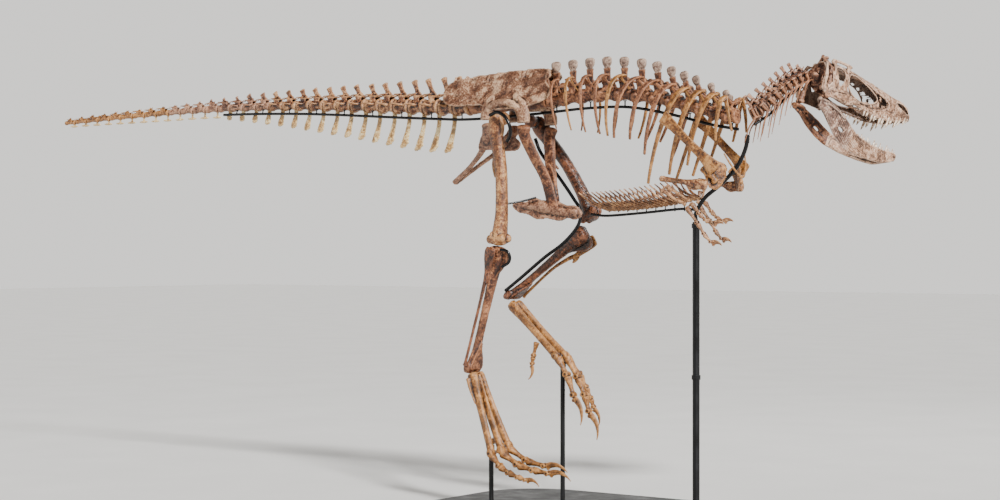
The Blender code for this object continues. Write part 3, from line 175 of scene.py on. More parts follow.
# ---------------------------------------------------------------- clay: closed shells that are merged
class Clay:
    """Closed shells that are laid over one another and then merged into a smooth bone."""

    def __init__(self):
        self.verts = []
        self.faces = []

    def add(self, verts, faces):
        """Add one shell."""
        start = len(self.verts)
        self.verts += verts
        self.faces += [tuple(start + i for i in face) for face in faces]

    def tube(self, path, wide, high, up=UP, sides=16, steps=4, blunt=0.6):
        """A smooth limb along path: wide runs across up and the path, high runs along up."""
        count = (len(path) - 1) * steps + 1
        spots = curve(path, count)
        wides = [max(0.002, w) for w in curve(wide, count)]
        highs = [max(0.002, h) for h in curve(high, count)]
        rings = []
        for k, p in enumerate(spots):
            run = spots[min(k + 1, count - 1)] - spots[max(k - 1, 0)]
            across = up.cross(run).normalized()
            rise = run.cross(across).normalized()
            rings.append((p, run.normalized(), across * wides[k] / 2, rise * highs[k] / 2))
        rounded = []
        for ring, sign in ((rings[0], -1), (rings[-1], 1)):
            p, run, across, rise = ring
            reach = blunt * min(across.length, rise.length)
            caps = [(p + run * (sign * reach * sin(a)), run, across * cos(a), rise * cos(a))
                    for a in (radians(30), radians(58), radians(80))]
            rounded.append(caps)
        rings = rounded[0][::-1] + rings + rounded[1]
        verts = []
        faces = []
        for p, run, across, rise in rings:
            for i in range(sides):
                a = 2 * pi * i / sides
                verts.append(p + across * cos(a) + rise * sin(a))
        for k in range(len(rings) - 1):
            for i in range(sides):
                a, b = k * sides + i, k * sides + (i + 1) % sides
                faces.append((a, b, b + sides, a + sides))
        faces.append(tuple(range(sides))[::-1])
        faces.append(tuple(range(len(verts) - sides, len(verts))))
        self.add(verts, faces)

    def ball(self, middle, x, y, z, steps=10):
        """An ellipsoid with the half axes x, y and z, given as vectors."""
        verts = [middle + z]
        for k in range(1, steps):
            a = pi * k / steps
            for i in range(2 * steps):
                b = pi * i / steps
                verts.append(middle + z * cos(a) + (x * cos(b) + y * sin(b)) * sin(a))
        verts.append(middle - z)
        n = 2 * steps
        faces = [(0, 1 + i, 1 + (i + 1) % n) for i in range(n)]
        for k in range(steps - 2):
            for i in range(n):
                a, b = 1 + k * n + i, 1 + k * n + (i + 1) % n
                faces.append((a, a + n, b + n, b))
        last = len(verts) - 1
        faces += [(last, last - n + (i + 1) % n, last - n + i) for i in range(n)]
        self.add(verts, faces)

    def sheet(self, place, us, vs, keep):
        """A wall: place(u, v, side) gives its faces, over the cells of the grid that keep marks."""
        index = {}
        verts = []
        faces = []
        rims = {}
        for i in range(len(us) - 1):
            for j in range(len(vs) - 1):
                if not keep[i, j]:
                    continue
                corners = ((i, j), (i + 1, j), (i + 1, j + 1), (i, j + 1))
                for side in (0, 1):
                    for a, b in corners:
                        if (a, b, side) not in index:
                            index[a, b, side] = len(verts)
                            verts.append(place(us[a], vs[b], 1 - 2 * side))
                faces.append(tuple(index[a, b, 0] for a, b in corners))
                faces.append(tuple(index[a, b, 1] for a, b in corners[::-1]))
                for k in range(4):
                    edge = (corners[k], corners[(k + 1) % 4])
                    back = (edge[1], edge[0])
                    if back in rims:
                        del rims[back]
                    else:
                        rims[edge] = True
        for (a, b), (c, d) in rims:
            faces.append((index[c, d, 0], index[a, b, 0], index[a, b, 1], index[c, d, 1]))
        self.add(verts, faces)

    def board(self, outline, place, step=0.005):
        """A board cut to an outline of (a, b); place(a, b, side) gives a point of each face."""
        a0, a1 = min(p[0] for p in outline), max(p[0] for p in outline)
        b0, b1 = min(p[1] for p in outline), max(p[1] for p in outline)
        us = np.arange(a0 - step, a1 + 2 * step, step)
        vs = np.arange(b0 - step, b1 + 2 * step, step)
        keep = inside(outline, *np.meshgrid(us[:-1] + step / 2, vs[:-1] + step / 2, indexing="ij"))
        self.sheet(place, us, vs, keep)


# ---------------------------------------------------------------- from clay to a finished piece
def grain(name, kind, size, depth=2):
    """A procedural texture of the given size, for weathering a surface."""
    texture = bpy.data.textures.new(name, kind)
    texture.noise_scale = size
    if kind == "CLOUDS":
        texture.noise_depth = depth
    return texture


def plain_mesh(thing):
    """Turn a piece's live modifiers into a plain mesh, in place."""
    ready = thing.evaluated_get(bpy.context.evaluated_depsgraph_get())
    mesh = bpy.data.meshes.new_from_object(ready)
    thing.modifiers.clear()
    old = thing.data
    thing.data = mesh
    bpy.data.meshes.remove(old)
    mesh.name = thing.name


def write_relief(mesh, reach=9):
    """Store how hollow (+1) or how proud (-1) the surface is at each vertex."""
    n = len(mesh.vertices)
    at = np.empty(n * 3)
    mesh.vertices.foreach_get("co", at)
    at = at.reshape(n, 3)
    out = np.empty(n * 3, np.float32)
    mesh.vertex_normals.foreach_get("vector", out)
    out = out.reshape(n, 3)
    ends = np.empty(len(mesh.edges) * 2, np.int32)
    mesh.edges.foreach_get("vertices", ends)
    a, b = ends[0::2], ends[1::2]
    count = np.maximum(1, np.bincount(a, minlength=n) + np.bincount(b, minlength=n))
    soft = at.copy()
    for _ in range(reach):
        total = np.empty_like(soft)
        for axis in range(3):
            total[:, axis] = (np.bincount(a, soft[b, axis], n) + np.bincount(b, soft[a, axis], n)) / count
        soft = 0.3 * soft + 0.7 * total
    step = np.linalg.norm(at[a] - at[b], axis=1).mean()
    relief = np.clip(((soft - at) * out).sum(axis=1) / (step * 0.55), -1, 1)
    store = mesh.attributes.new("relief", "FLOAT", "POINT")
    store.data.foreach_set("value", relief.astype(np.float32))


def show(thing, nodes):
    """Put a finished piece on the body, in place of its solids."""
    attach(thing, BODY)
    if nodes:
        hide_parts(*nodes)
    return thing


def link(name, mesh):
    """A new object with the mesh, at the origin."""
    thing = bpy.data.objects.new(name, mesh)
    bpy.context.scene.collection.objects.link(thing)
    return thing


def press(mesh, dents):
    """Push the surface in at each dent, given as (place, radius, depth)."""
    n = len(mesh.vertices)
    at = np.empty(n * 3, np.float32)
    mesh.vertices.foreach_get("co", at)
    at = at.reshape(n, 3)
    out = np.empty(n * 3, np.float32)
    mesh.vertex_normals.foreach_get("vector", out)
    out = out.reshape(n, 3)
    depth = np.zeros(n, np.float32)
    for place, radius, deep in dents:
        near = np.flatnonzero(np.abs(at - np.array(place, np.float32)).max(axis=1) < radius)
        gap = np.linalg.norm(at[near] - np.array(place, np.float32), axis=1) / radius
        depth[near] = np.maximum(depth[near], deep * np.clip(1 - gap ** 2, 0, 1))
    mesh.vertices.foreach_set("co", (at - out * depth[:, None]).ravel())
    mesh.update()


def fossil(name, clay, material, nodes, voxel=0.005, wear=0.0035, pits=0.0012, soften=2, dents=()):
    """Merge the clay into one skin, soften it, weather it, press its dents in and show it."""
    mesh = bpy.data.meshes.new(name)
    mesh.from_pydata(clay.verts, [], clay.faces)
    thing = link(name, mesh)
    skin = thing.modifiers.new("skin", "REMESH")
    skin.mode = "VOXEL"
    settings = bpy.context.scene.skeleton
    skin.voxel_size = voxel * settings.detail
    skin.use_smooth_shade = True
    ease = thing.modifiers.new("ease", "SMOOTH")
    ease.factor = 0.5
    ease.iterations = soften
    for label, texture, strength in (("wear", WEAR, wear), ("pits", PITS, pits)):
        step = thing.modifiers.new(label, "DISPLACE")
        step.texture = texture
        step.texture_coords = "GLOBAL"
        step.strength = strength * settings.wear
        step.mid_level = 0.62
    plain_mesh(thing)
    if dents:
        press(thing.data, dents)
    write_relief(thing.data)
    thing.data.materials.append(material)
    return show(thing, nodes)


WEAR = grain("wear", "CLOUDS", 0.030)
PITS = grain("pits", "CLOUDS", 0.007, 1)


# ---------------------------------------------------------------- materials
def colour(code):
    """An sRGB hex colour as the linear values that a shader takes."""
    parts = [int(code[k:k + 2], 16) / 255 for k in (1, 3, 5)]
    return tuple(c / 12.92 if c <= 0.04045 else ((c + 0.055) / 1.055) ** 2.4 for c in parts) + (1.0,)


def node(tree, kind, links=None, **settings):
    """Add one node, with its settings, its input values and its links."""
    made = tree.nodes.new(kind)
    for key, value in settings.items():
        setattr(made, key, value)
    for key, value in (links or {}).items():
        if isinstance(value, bpy.types.NodeSocket):
            tree.links.new(value, made.inputs[key])
        else:
            made.inputs[key].default_value = value
    return made


def ramp(tree, factor, stops):
    """A colour ramp through stops of (place, linear colour)."""
    made = node(tree, "ShaderNodeValToRGB", {"Fac": factor})
    line = made.color_ramp.elements
    while len(line) < len(stops):
        line.new(0.5)
    for element, (place, tint) in zip(line, stops):
        element.position = place
        element.color = tint
    return made.outputs["Color"]


def blend(tree, factor, a, b, mode="MIX"):
    """Mix two colours."""
    made = node(tree, "ShaderNodeMix", data_type="RGBA", blend_type=mode)
    for key, value in ((0, factor), (6, a), (7, b)):
        if isinstance(value, bpy.types.NodeSocket):
            tree.links.new(value, made.inputs[key])
        else:
            made.inputs[key].default_value = value
    return made.outputs[2]


def new_material(name):
    """An empty Principled material: its tree, its shader and its object coordinates."""
    made = bpy.data.materials.new(name)
    made.use_nodes = True
    tree = made.node_tree
    shader = tree.nodes["Principled BSDF"]
    where = node(tree, "ShaderNodeTexCoord").outputs["Object"]
    return made, tree, shader, where


def fossil_bone(name, tone, depth, pale, patch_mm=70, mottle_mm=14, crack_mm=26, sheen=0.52, dim=1.0):
    """Permineralised bone. Iron and clay stain it in soft patches, the hollows are darkened, partly by dark
    matrix and partly as painted shade, the ridges are rubbed pale by preparation, and fine drying cracks
    and pits cover it. A thin coat of consolidant leaves it matte with a faint sheen."""
    made, tree, shader, where = new_material(name)
    middle = tuple(c * dim for c in tone[:3]) + (1.0,)
    dark = (middle[0] * depth, middle[1] * depth * 0.86, middle[2] * depth * 0.76, 1.0)
    light = colour(pale)
    patch = node(tree, "ShaderNodeTexNoise", {"Vector": where, "Scale": 1000 / patch_mm, "Detail": 3.0,
                                              "Roughness": 0.55, "Distortion": 0.6}).outputs["Fac"]
    mottle = node(tree, "ShaderNodeTexNoise", {"Vector": where, "Scale": 1000 / mottle_mm, "Detail": 4.0,
                                               "Roughness": 0.62}).outputs["Fac"]
    grit = node(tree, "ShaderNodeTexNoise", {"Vector": where, "Scale": 1000 / 4.0, "Detail": 2.0,
                                             "Roughness": 0.6}).outputs["Fac"]
    both = node(tree, "ShaderNodeMath", {0: patch, 1: mottle}, operation="ADD").outputs[0]
    half = node(tree, "ShaderNodeMath", {0: both, 1: 0.5}, operation="MULTIPLY").outputs[0]
    base = ramp(tree, half, [(0.42, dark), (0.50, middle), (0.59, light)])
    relief = node(tree, "ShaderNodeAttribute", attribute_name="relief").outputs["Fac"]
    # painted shade: hollow places are darkened towards a near-black brown, partly dark matrix and partly
    # painted shade
    hollow = node(tree, "ShaderNodeMapRange", {"Value": relief, "From Min": 0.02, "From Max": 0.60,
                                               "To Max": 0.94}).outputs["Result"]
    proud = node(tree, "ShaderNodeMapRange", {"Value": relief, "From Min": -0.15, "From Max": -0.90,
                                              "To Max": 0.50}).outputs["Result"]
    matrix_and_painted_shade = blend(tree, hollow, base, (*(c * 0.30 for c in dark[:3]), 1.0))
    rubbed = blend(tree, proud, matrix_and_painted_shade, light)
    bent = node(tree, "ShaderNodeVectorMath", {0: where, 1: node(tree, "ShaderNodeTexNoise", {
        "Vector": where, "Scale": 1000 / 30}).outputs["Color"]}, operation="ADD").outputs[0]
    cracks = node(tree, "ShaderNodeTexVoronoi", {"Vector": bent, "Scale": 1000 / crack_mm},
                  feature="DISTANCE_TO_EDGE").outputs["Distance"]
    line = node(tree, "ShaderNodeMapRange", {"Value": cracks, "From Min": 0.0, "From Max": 0.045,
                                             "To Min": 0.55, "To Max": 0.0}).outputs["Result"]
    part = node(tree, "ShaderNodeMath", {0: line, 1: ramp(tree, mottle, [
        (0.46, (0, 0, 0, 1)), (0.56, (1, 1, 1, 1))])}, operation="MULTIPLY").outputs[0]
    cracked = blend(tree, part, rubbed, (*(c * 0.40 for c in dark[:3]), 1.0))
    tree.links.new(cracked, shader.inputs["Base Color"])
    rough = node(tree, "ShaderNodeMapRange", {"Value": mottle, "From Min": 0.3, "From Max": 0.7,
                                              "To Min": sheen - 0.10, "To Max": sheen + 0.16})
    tree.links.new(rough.outputs["Result"], shader.inputs["Roughness"])
    fine = node(tree, "ShaderNodeBump", {"Height": grit, "Strength": 0.35, "Distance": 0.0012})
    pits = node(tree, "ShaderNodeBump", {"Height": mottle, "Strength": 0.5, "Distance": 0.004,
                                         "Normal": fine.outputs["Normal"]})
    split = node(tree, "ShaderNodeBump", {"Height": cracks, "Strength": 0.4, "Distance": 0.0016,
                                          "Normal": pits.outputs["Normal"]})
    tree.links.new(split.outputs["Normal"], shader.inputs["Normal"])
    shader.inputs["IOR"].default_value = 1.55
    return made


def tooth_enamel():
    """Fossil enamel: fluoridated, dense and glossier than bone, cream to brown, finely banded."""
    made, tree, shader, where = new_material("fossil enamel")
    bands = node(tree, "ShaderNodeTexNoise",
                 {"Vector": where, "Scale": 1000 / 12, "Detail": 3.0}).outputs["Fac"]
    tint = ramp(tree, bands, [(0.36, colour("#8A6A50")), (0.52, colour("#CDB49A")),
                              (0.66, colour("#E6D6C2"))])
    tree.links.new(tint, shader.inputs["Base Color"])
    fine = node(tree, "ShaderNodeTexNoise", {"Vector": where, "Scale": 1000 / 2.5}).outputs["Fac"]
    bump = node(tree, "ShaderNodeBump", {"Height": fine, "Strength": 0.2, "Distance": 0.0008})
    tree.links.new(bump.outputs["Normal"], shader.inputs["Normal"])
    shader.inputs["Roughness"].default_value = 0.32
    shader.inputs["IOR"].default_value = 1.62
    return made


def painted_steel(name, tone, rough, speck_mm=9):
    """Mild steel under black enamel: smooth and glossy, with a faint orange peel and dust that dulls the
    gloss in patches."""
    made, tree, shader, where = new_material(name)
    dust = node(tree, "ShaderNodeTexNoise", {"Vector": where, "Scale": 1000 / 160, "Detail": 5.0,
                                             "Roughness": 0.65}).outputs["Fac"]
    tint = ramp(tree, dust, [(0.42, (*tone, 1.0)), (0.70, colour("#131416"))])
    tree.links.new(tint, shader.inputs["Base Color"])
    gloss = node(tree, "ShaderNodeMapRange", {"Value": dust, "From Min": 0.35, "From Max": 0.7,
                                              "To Min": rough, "To Max": rough + 0.22}).outputs["Result"]
    tree.links.new(gloss, shader.inputs["Roughness"])
    peel = node(tree, "ShaderNodeTexNoise", {"Vector": where, "Scale": 1000 / speck_mm}).outputs["Fac"]
    bump = node(tree, "ShaderNodeBump", {"Height": peel, "Strength": 0.10, "Distance": 0.0006})
    tree.links.new(bump.outputs["Normal"], shader.inputs["Normal"])
    shader.inputs["IOR"].default_value = 1.5
    shader.inputs["Specular IOR Level"].default_value = 0.24
    shader.inputs["Coat Weight"].default_value = 0.12
    shader.inputs["Coat Roughness"].default_value = 0.12
    return made


def stage_paint():
    """Matte emulsion on the floor and the backdrop, with a barely visible roller texture."""
    made, tree, shader, where = new_material("matte floor paint")
    drift = node(tree, "ShaderNodeTexNoise", {"Vector": where, "Scale": 1.3, "Detail": 4.0}).outputs["Fac"]
    tint = ramp(tree, drift, [(0.3, colour("#E6E4E0")), (0.7, colour("#ECEAE6"))])
    tree.links.new(tint, shader.inputs["Base Color"])
    shader.inputs["Roughness"].default_value = 0.85
    return made


LOOKS = {}


def looks(name):
    """The material of the given name, made once."""
    if name not in LOOKS:
        settings = bpy.context.scene.skeleton
        bone, ochre = settings.bone_tone, settings.ochre_tone
        made = {
            "skull": lambda: fossil_bone("pale pinkish skull bone", settings.skull_tone, 0.24, "#D6B49A",
                                         55, 13, 20,
                                         0.48),
            "braincase": lambda: fossil_bone("iron stained braincase bone", bone, 0.34, "#C09072", 50, 12,
                                             22),
            "brown": lambda: fossil_bone("reddish brown fossil bone", bone, 0.22, "#AE7650"),
            "dark": lambda: fossil_bone("dark oily brown fossil bone", bone, 0.16, "#8E5636", 90, 16, 30,
                                        0.36, 0.50),
            "mottled": lambda: fossil_bone("mottled grey and beige fossil bone", colour("#7C4F38"), 0.22,
                                           "#B88C6E",
                                           60, 13, 22, 0.44),
            "tawny": lambda: fossil_bone("tawny and beige fossil bone", colour("#7A4628"), 0.16, "#CA9A6C",
                                         60, 13, 24,
                                         0.42),
            "grey": lambda: fossil_bone("weathered grey bone", colour("#86695A"), 0.24, "#BCA18C", 40, 12,
                                        20),
            "speckled": lambda: fossil_bone("speckled beige hip bone", colour("#84573E"), 0.30, "#CDA886",
                                            84, 10, 22,
                                            0.42),
            "golden": lambda: fossil_bone("golden brown split bone", colour("#824C2A"), 0.24, "#C3935F", 90,
                                          12, 30,
                                          0.42),
            "jaw": lambda: fossil_bone("grey mottled jaw bone", colour("#7E5844"), 0.24, "#CDB09C", 60, 11,
                                       20, 0.46),
            "ochre": lambda: fossil_bone("ochre fossil bone", ochre, 0.22, "#C08A50", 80, 16, 30, 0.42),
            "cream": lambda: fossil_bone("cream yellow fossil bone", settings.cream_tone, 0.34, "#EBD3A0",
                                         60, 14, 26,
                                         0.46),
            "enamel": tooth_enamel,
            "steel": lambda: painted_steel("black gloss enamel on steel", settings.steel_tone, 0.22),
            "plate": lambda: painted_steel("black satin enamel on plate", settings.steel_tone, 0.34, 14),
            "stage": stage_paint,
        }[name]
        LOOKS[name] = made()
    return LOOKS[name]


# ---------------------------------------------------------------- geometry nodes
def group(name, inputs):
    """A node tree with a mesh in, a mesh out and the named inputs (name, kind, default)."""
    tree = bpy.data.node_groups.new(name, "GeometryNodeTree")
    tree.interface.new_socket("Geometry", in_out="INPUT", socket_type="NodeSocketGeometry")
    for label, kind, default in inputs:
        made = tree.interface.new_socket(label, in_out="INPUT", socket_type=kind)
        if default is not None:
            made.default_value = default
    tree.interface.new_socket("Geometry", in_out="OUTPUT", socket_type="NodeSocketGeometry")
    return tree


def run_nodes(thing, tree, values):
    """Run the tree on the piece with its inputs set, and keep the result as a plain mesh."""
    step = thing.modifiers.new("nodes", "NODES")
    step.node_group = tree
    for item in tree.interface.items_tree:
        if item.item_type == "SOCKET" and item.in_out == "INPUT" and item.name in values:
            step[item.identifier] = values[item.name]
    plain_mesh(thing)


TREES = {}


def tree_of(make):
    """The node tree that make builds, made once."""
    if make not in TREES:
        TREES[make] = make()
    return TREES[make]


def rod_tree():
    """Round rods along edges: each vertex's thick is the rod's diameter there."""
    tree = group("rods along paths", [("Sides", "NodeSocketInt", 12),
                                      ("Material", "NodeSocketMaterial", None)])
    start = node(tree, "NodeGroupInput").outputs
    path = node(tree, "GeometryNodeMeshToCurve", {"Mesh": start["Geometry"]})
    thick = node(tree, "GeometryNodeInputNamedAttribute", {"Name": "thick"}, data_type="FLOAT")
    ring = node(tree, "GeometryNodeCurvePrimitiveCircle", {"Resolution": start["Sides"], "Radius": 0.5})
    links = {"Curve": path.outputs["Curve"], "Profile Curve": ring.outputs["Curve"], "Fill Caps": True}
    skin = node(tree, "GeometryNodeCurveToMesh", links)
    if "Scale" in skin.inputs:
        tree.links.new(thick.outputs["Attribute"], skin.inputs["Scale"])
    else:
        sized = node(tree, "GeometryNodeSetCurveRadius", {"Curve": path.outputs["Curve"],
                                                         "Radius": thick.outputs["Attribute"]})
        tree.links.new(sized.outputs["Curve"], skin.inputs["Curve"])
    soft = node(tree, "GeometryNodeSetShadeSmooth", {"Geometry": skin.outputs["Mesh"]})
    real = node(tree, "GeometryNodeRealizeInstances", {"Geometry": soft.outputs["Geometry"]})
    done = node(tree, "GeometryNodeSetMaterial", {"Geometry": real.outputs["Geometry"],
                                                  "Material": start["Material"]})
    node(tree, "NodeGroupOutput", {"Geometry": done.outputs["Geometry"]})
    return tree


def rods(name, paths, material, nodes, sides=12, relief=False):
    """A piece made of rods; each path is a list of (point, diameter)."""
    verts = [p for path in paths for p, _ in path]
    edges = []
    start = 0
    for path in paths:
        edges += [(start + k, start + k + 1) for k in range(len(path) - 1)]
        start += len(path)
    mesh = bpy.data.meshes.new(name)
    mesh.from_pydata(verts, edges, [])
    store = mesh.attributes.new("thick", "FLOAT", "POINT")
    store.data.foreach_set("value", [d for path in paths for _, d in path])
    thing = link(name, mesh)
    run_nodes(thing, tree_of(rod_tree), {"Sides": sides, "Material": material})
    if relief:
        write_relief(thing.data, 3)
    return show(thing, nodes)


def copies_tree():
    """Copies of one shape on the vertices, turned along aim and sized by scale, each a little apart."""
    tree = group("copies on points", [("Shape", "NodeSocketObject", None), ("Seed", "NodeSocketInt", 0),
                                      ("Size Spread", "NodeSocketFloat", 0.0),
                                      ("Material", "NodeSocketMaterial", None)])
    start = node(tree, "NodeGroupInput").outputs
    shape = node(tree, "GeometryNodeObjectInfo", {"Object": start["Shape"]})
    aim = node(tree, "GeometryNodeInputNamedAttribute", {"Name": "aim"}, data_type="FLOAT_VECTOR")
    fore = node(tree, "GeometryNodeInputNamedAttribute", {"Name": "fore"}, data_type="FLOAT_VECTOR")
    size = node(tree, "GeometryNodeInputNamedAttribute", {"Name": "scale"}, data_type="FLOAT_VECTOR")
    first = node(tree, "FunctionNodeAlignRotationToVector", {"Vector": aim.outputs["Attribute"]}, axis="Z")
    turn = node(tree, "FunctionNodeAlignRotationToVector", {"Rotation": first.outputs["Rotation"],
                                                            "Vector": fore.outputs["Attribute"]},
                axis="X", pivot_axis="Z")
    low = node(tree, "ShaderNodeMath", {0: 1.0, 1: start["Size Spread"]}, operation="SUBTRACT")
    spread = node(tree, "FunctionNodeRandomValue", {2: low.outputs[0], 3: 1.0, "Seed": start["Seed"]},
                  data_type="FLOAT")
    sized = node(tree, "ShaderNodeVectorMath", {0: size.outputs["Attribute"], "Scale": spread.outputs[1]},
                 operation="SCALE")
    placed = node(tree, "GeometryNodeInstanceOnPoints", {
        "Points": start["Geometry"], "Instance": shape.outputs["Geometry"],
        "Rotation": turn.outputs["Rotation"], "Scale": sized.outputs["Vector"]})
    real = node(tree, "GeometryNodeRealizeInstances", {"Geometry": placed.outputs["Instances"]})
    done = node(tree, "GeometryNodeSetMaterial", {"Geometry": real.outputs["Geometry"],
                                                  "Material": start["Material"]})
    node(tree, "NodeGroupOutput", {"Geometry": done.outputs["Geometry"]})
    return tree


def copies(name, shape, spots, material, nodes, seed=1, spread=0.0):
    """A piece made of copies of shape; each spot is (place, aim, fore, scale)."""
    mesh = bpy.data.meshes.new(name)
    mesh.from_pydata([s[0] for s in spots], [], [])
    for k, label in ((1, "aim"), (2, "fore"), (3, "scale")):
        store = mesh.attributes.new(label, "FLOAT_VECTOR", "POINT")
        store.data.foreach_set("vector", [c for s in spots for c in s[k]])
    thing = link(name, mesh)
    run_nodes(thing, tree_of(copies_tree), {"Shape": shape, "Seed": seed, "Size Spread": spread,
                                            "Material": material})
    bpy.data.objects.remove(shape)
    for store in ("aim", "fore", "scale"):
        if store in thing.data.attributes:
            thing.data.attributes.remove(thing.data.attributes[store])
    return show(thing, nodes)


# ---------------------------------------------------------------- backbone
def vertebra(clay, mid, axes, long, size, arch, spine, reach=None, fore=0.16, canal=0.24):
    """One vertebra: a waisted centrum, an arch over an open canal, joint processes and a spine.

    axes are ahead, left and up. spine is (height, lean, length at the tip, swelling of the tip), and
    reach is (start height, out, back, lift, length along) of the side processes."""
    run, left, rise = axes
    clay.tube([mid + run * (long * f) for f in (-0.5, -0.40, -0.16, 0.16, 0.40, 0.5)],
              [size * w for w in (0.99, 1.04, 0.80, 0.80, 1.04, 0.99)],
              [size * w for w in (0.99, 1.05, 0.78, 0.78, 1.05, 0.99)], rise, 20, 3, 0.10)
    tall, lean, tip, swell = spine
    for side in (-1, 1):
        foot = mid + left * (side * size * (canal + 0.05)) + rise * (size * 0.28)
        head = mid + left * (side * size * canal) + rise * arch
        clay.tube([foot, mix(foot, head, 0.5), head], [size * 0.20, size * 0.15, size * 0.18],
                  [long * 0.66, long * 0.46, long * 0.60], run, 10, 3)
        shelf = mid + left * (side * size * 0.22) + rise * arch
        clay.tube([shelf + run * (long * 0.15), shelf + run * (long * 0.46) + rise * (size * 0.05),
                   shelf + run * (long * (0.5 + fore)) + rise * (size * 0.16)],
                  [size * 0.18, size * 0.15, size * 0.11], [size * 0.16, size * 0.13, size * 0.08], rise, 8,
                  3)
        back = mid + left * (side * size * 0.15) + rise * (arch + size * 0.16)
        clay.tube([back - run * (long * 0.10), back - run * (long * 0.60)],
                  [size * 0.16, size * 0.13], [size * 0.20, size * 0.12], rise, 8, 3)
        if reach:
            start, out, aft, lift, length = reach
            root = mid + left * (side * size * 0.30) + rise * start
            end = mid + left * (side * out) + rise * (start + lift) + run * aft
            clay.tube([root, mix(root, end, 0.5), end], [size * 0.26, size * 0.17, size * 0.15],
                      [length * 1.2, length * 0.86, length], run, 10, 3)
    clay.tube([mid - left * (size * 0.28) + rise * arch, mid + left * (size * 0.28) + rise * arch],
              [size * 0.20, size * 0.20], [long * 0.60, long * 0.60], run, 10, 2)
    base = mid + rise * (arch + size * 0.02)
    top = mid + rise * (tall - size * 0.05) + run * lean
    path = [base, mix(base, top, 0.35), mix(base, top, 0.75), top]
    clay.tube(path, [size * 0.30, size * 0.13, size * 0.14, size * swell],
              [long * 0.60, tip * 0.80, tip * 0.86, tip], run, 12, 4, 0.35)


def tail_bone(clay, index, mid, joint_gap):
    """One tail vertebra: tall and winged near the hips, long and low towards the tip."""
    size = along(CENTRUM_SIZE, mid.x)
    tall = along(SPINE_RISE, mid.x)
    wing = along(WING_REACH, mid.x)
    uneven = 0.010 * sin(index * 2.4)
    spine = (tall, -0.18 * tall - 0.008 + uneven * 0.5, 0.052 if tall > 0.08 else 0.034,
             0.32 if tall > 0.08 else 0.22)
    reach = (0.010, wing, -0.024, 0.006, 0.034) if mid.x > -3.0 else None
    vertebra(clay, mid, (AHEAD, LEFT, UP), TAIL_PITCH - joint_gap, size, size * 0.66, spine, reach,
             fore=0.10 if mid.x > -3.0 else 0.22)


def chevron(clay, x):
    """A haemal bone: a forked head under the joint, a slim shaft and a boot that points back."""
    mid = spine_x(x - 0.016)
    size = along(CENTRUM_SIZE, x)
    drop = along(CHEVRON_DROP, x)
    if x < SKIDS_BEHIND:
        low = mid + Vector((0, 0, -drop + 0.008))
        clay.tube([low - AHEAD * 0.042, low, low + AHEAD * 0.034], [0.011, 0.017, 0.010],
                  [0.011, 0.019, 0.010], UP, 10, 3)
        clay.tube([low, mid - UP * (size * 0.42)], [0.010, 0.010], [0.018, 0.020], AHEAD, 8, 2)
        return
    places = [(0.002, -0.36 * size), (0.000, -0.36 * size - 0.22 * drop), (-0.05 * drop, -0.58 * drop),
              (-0.12 * drop, -0.80 * drop), (-0.19 * drop, -0.95 * drop)]
    clay.tube([mid + Vector((a, 0, z)) for a, z in places], [0.020, 0.015, 0.013, 0.015, 0.014],
              [0.040, 0.036, 0.040, 0.052, 0.048], AHEAD, 12, 4, 0.5)
    heel = [(-0.10 * drop + 0.010, -0.82 * drop), (-0.20 * drop, -0.93 * drop),
            (-0.24 * drop - 0.010, -0.975 * drop)]
    clay.tube([mid + Vector((a, 0, z)) for a, z in heel], [0.013, 0.014, 0.010], [0.046, 0.040, 0.022],
              AHEAD, 10, 3)
    for side in (-1, 1):
        head = mid + Vector((0.002, side * 0.004, -0.36 * size))
        clay.tube([head - UP * 0.012, head + UP * 0.012 + LEFT * (side * 0.008)], [0.009, 0.010],
                  [0.022, 0.028], AHEAD, 8, 2)


def build_tail():
    """The four lengths of the tail and the chevrons that hang under them."""
    shades = ("tawny", "tawny", "mottled", "ochre")
    for length, count in enumerate(TAIL_LENGTHS):
        first = sum(TAIL_LENGTHS[:length])
        bones, hung = Clay(), Clay()
        for k in range(first, first + count):
            joint = TAIL_ROOT - TAIL_PITCH * k
            tail_bone(bones, k, spine_x(joint - TAIL_PITCH / 2), 0.013 if k < 30 else 0.019)
            if k > 0:
                chevron(hung, joint)
        nodes = [f"tail_{length + 1}"]
        voxel = (0.0050, 0.0047, 0.0042, 0.0037)[length]
        fossil(f"tail_{length + 1}_vertebrae", bones, looks(shades[length]), nodes, voxel,
               0.0035 * voxel / 0.005)
        fossil(f"tail_{length + 1}_chevrons", hung, looks("cream"), nodes, 0.0036, 0.0016)


def back_joint(number):
    """Where back vertebra number, counted from the chest, begins at its rear end."""
    return SACRUM_FRONT + JOINT + sum(along(BACK_PITCH, n) for n in range(number + 1, BACK_BONES + 1))


CENTRUM = 0.088
RIB_OUT = [(1, 0.095), (3, 0.135), (5, 0.170), (8, 0.222), (10, 0.215), (13, 0.165)]
RIB_IN = [(1, 0.085), (3, 0.120), (5, 0.150), (8, 0.180), (13, 0.135)]
RIB_BACK = [(1, 0.058), (2, 0.075), (3, 0.165), (4, 0.190), (5, 0.232), (6, 0.155), (8, 0.134), (9, 0.062),
            (10, 0.000), (12, -0.030), (13, -0.040)]
RIB_LOW = [(1, 2.280), (2, 2.230), (3, 2.090), (5, 1.990), (6, 2.160), (7, 2.250), (10, 2.290), (13, 2.335)]
RIB_SEAT = [(1, 0.080), (12, 0.088), (13, 0.062)]
RIB_STOUT = [(1, 0.022), (4, 0.028), (8, 0.025), (13, 0.017)]


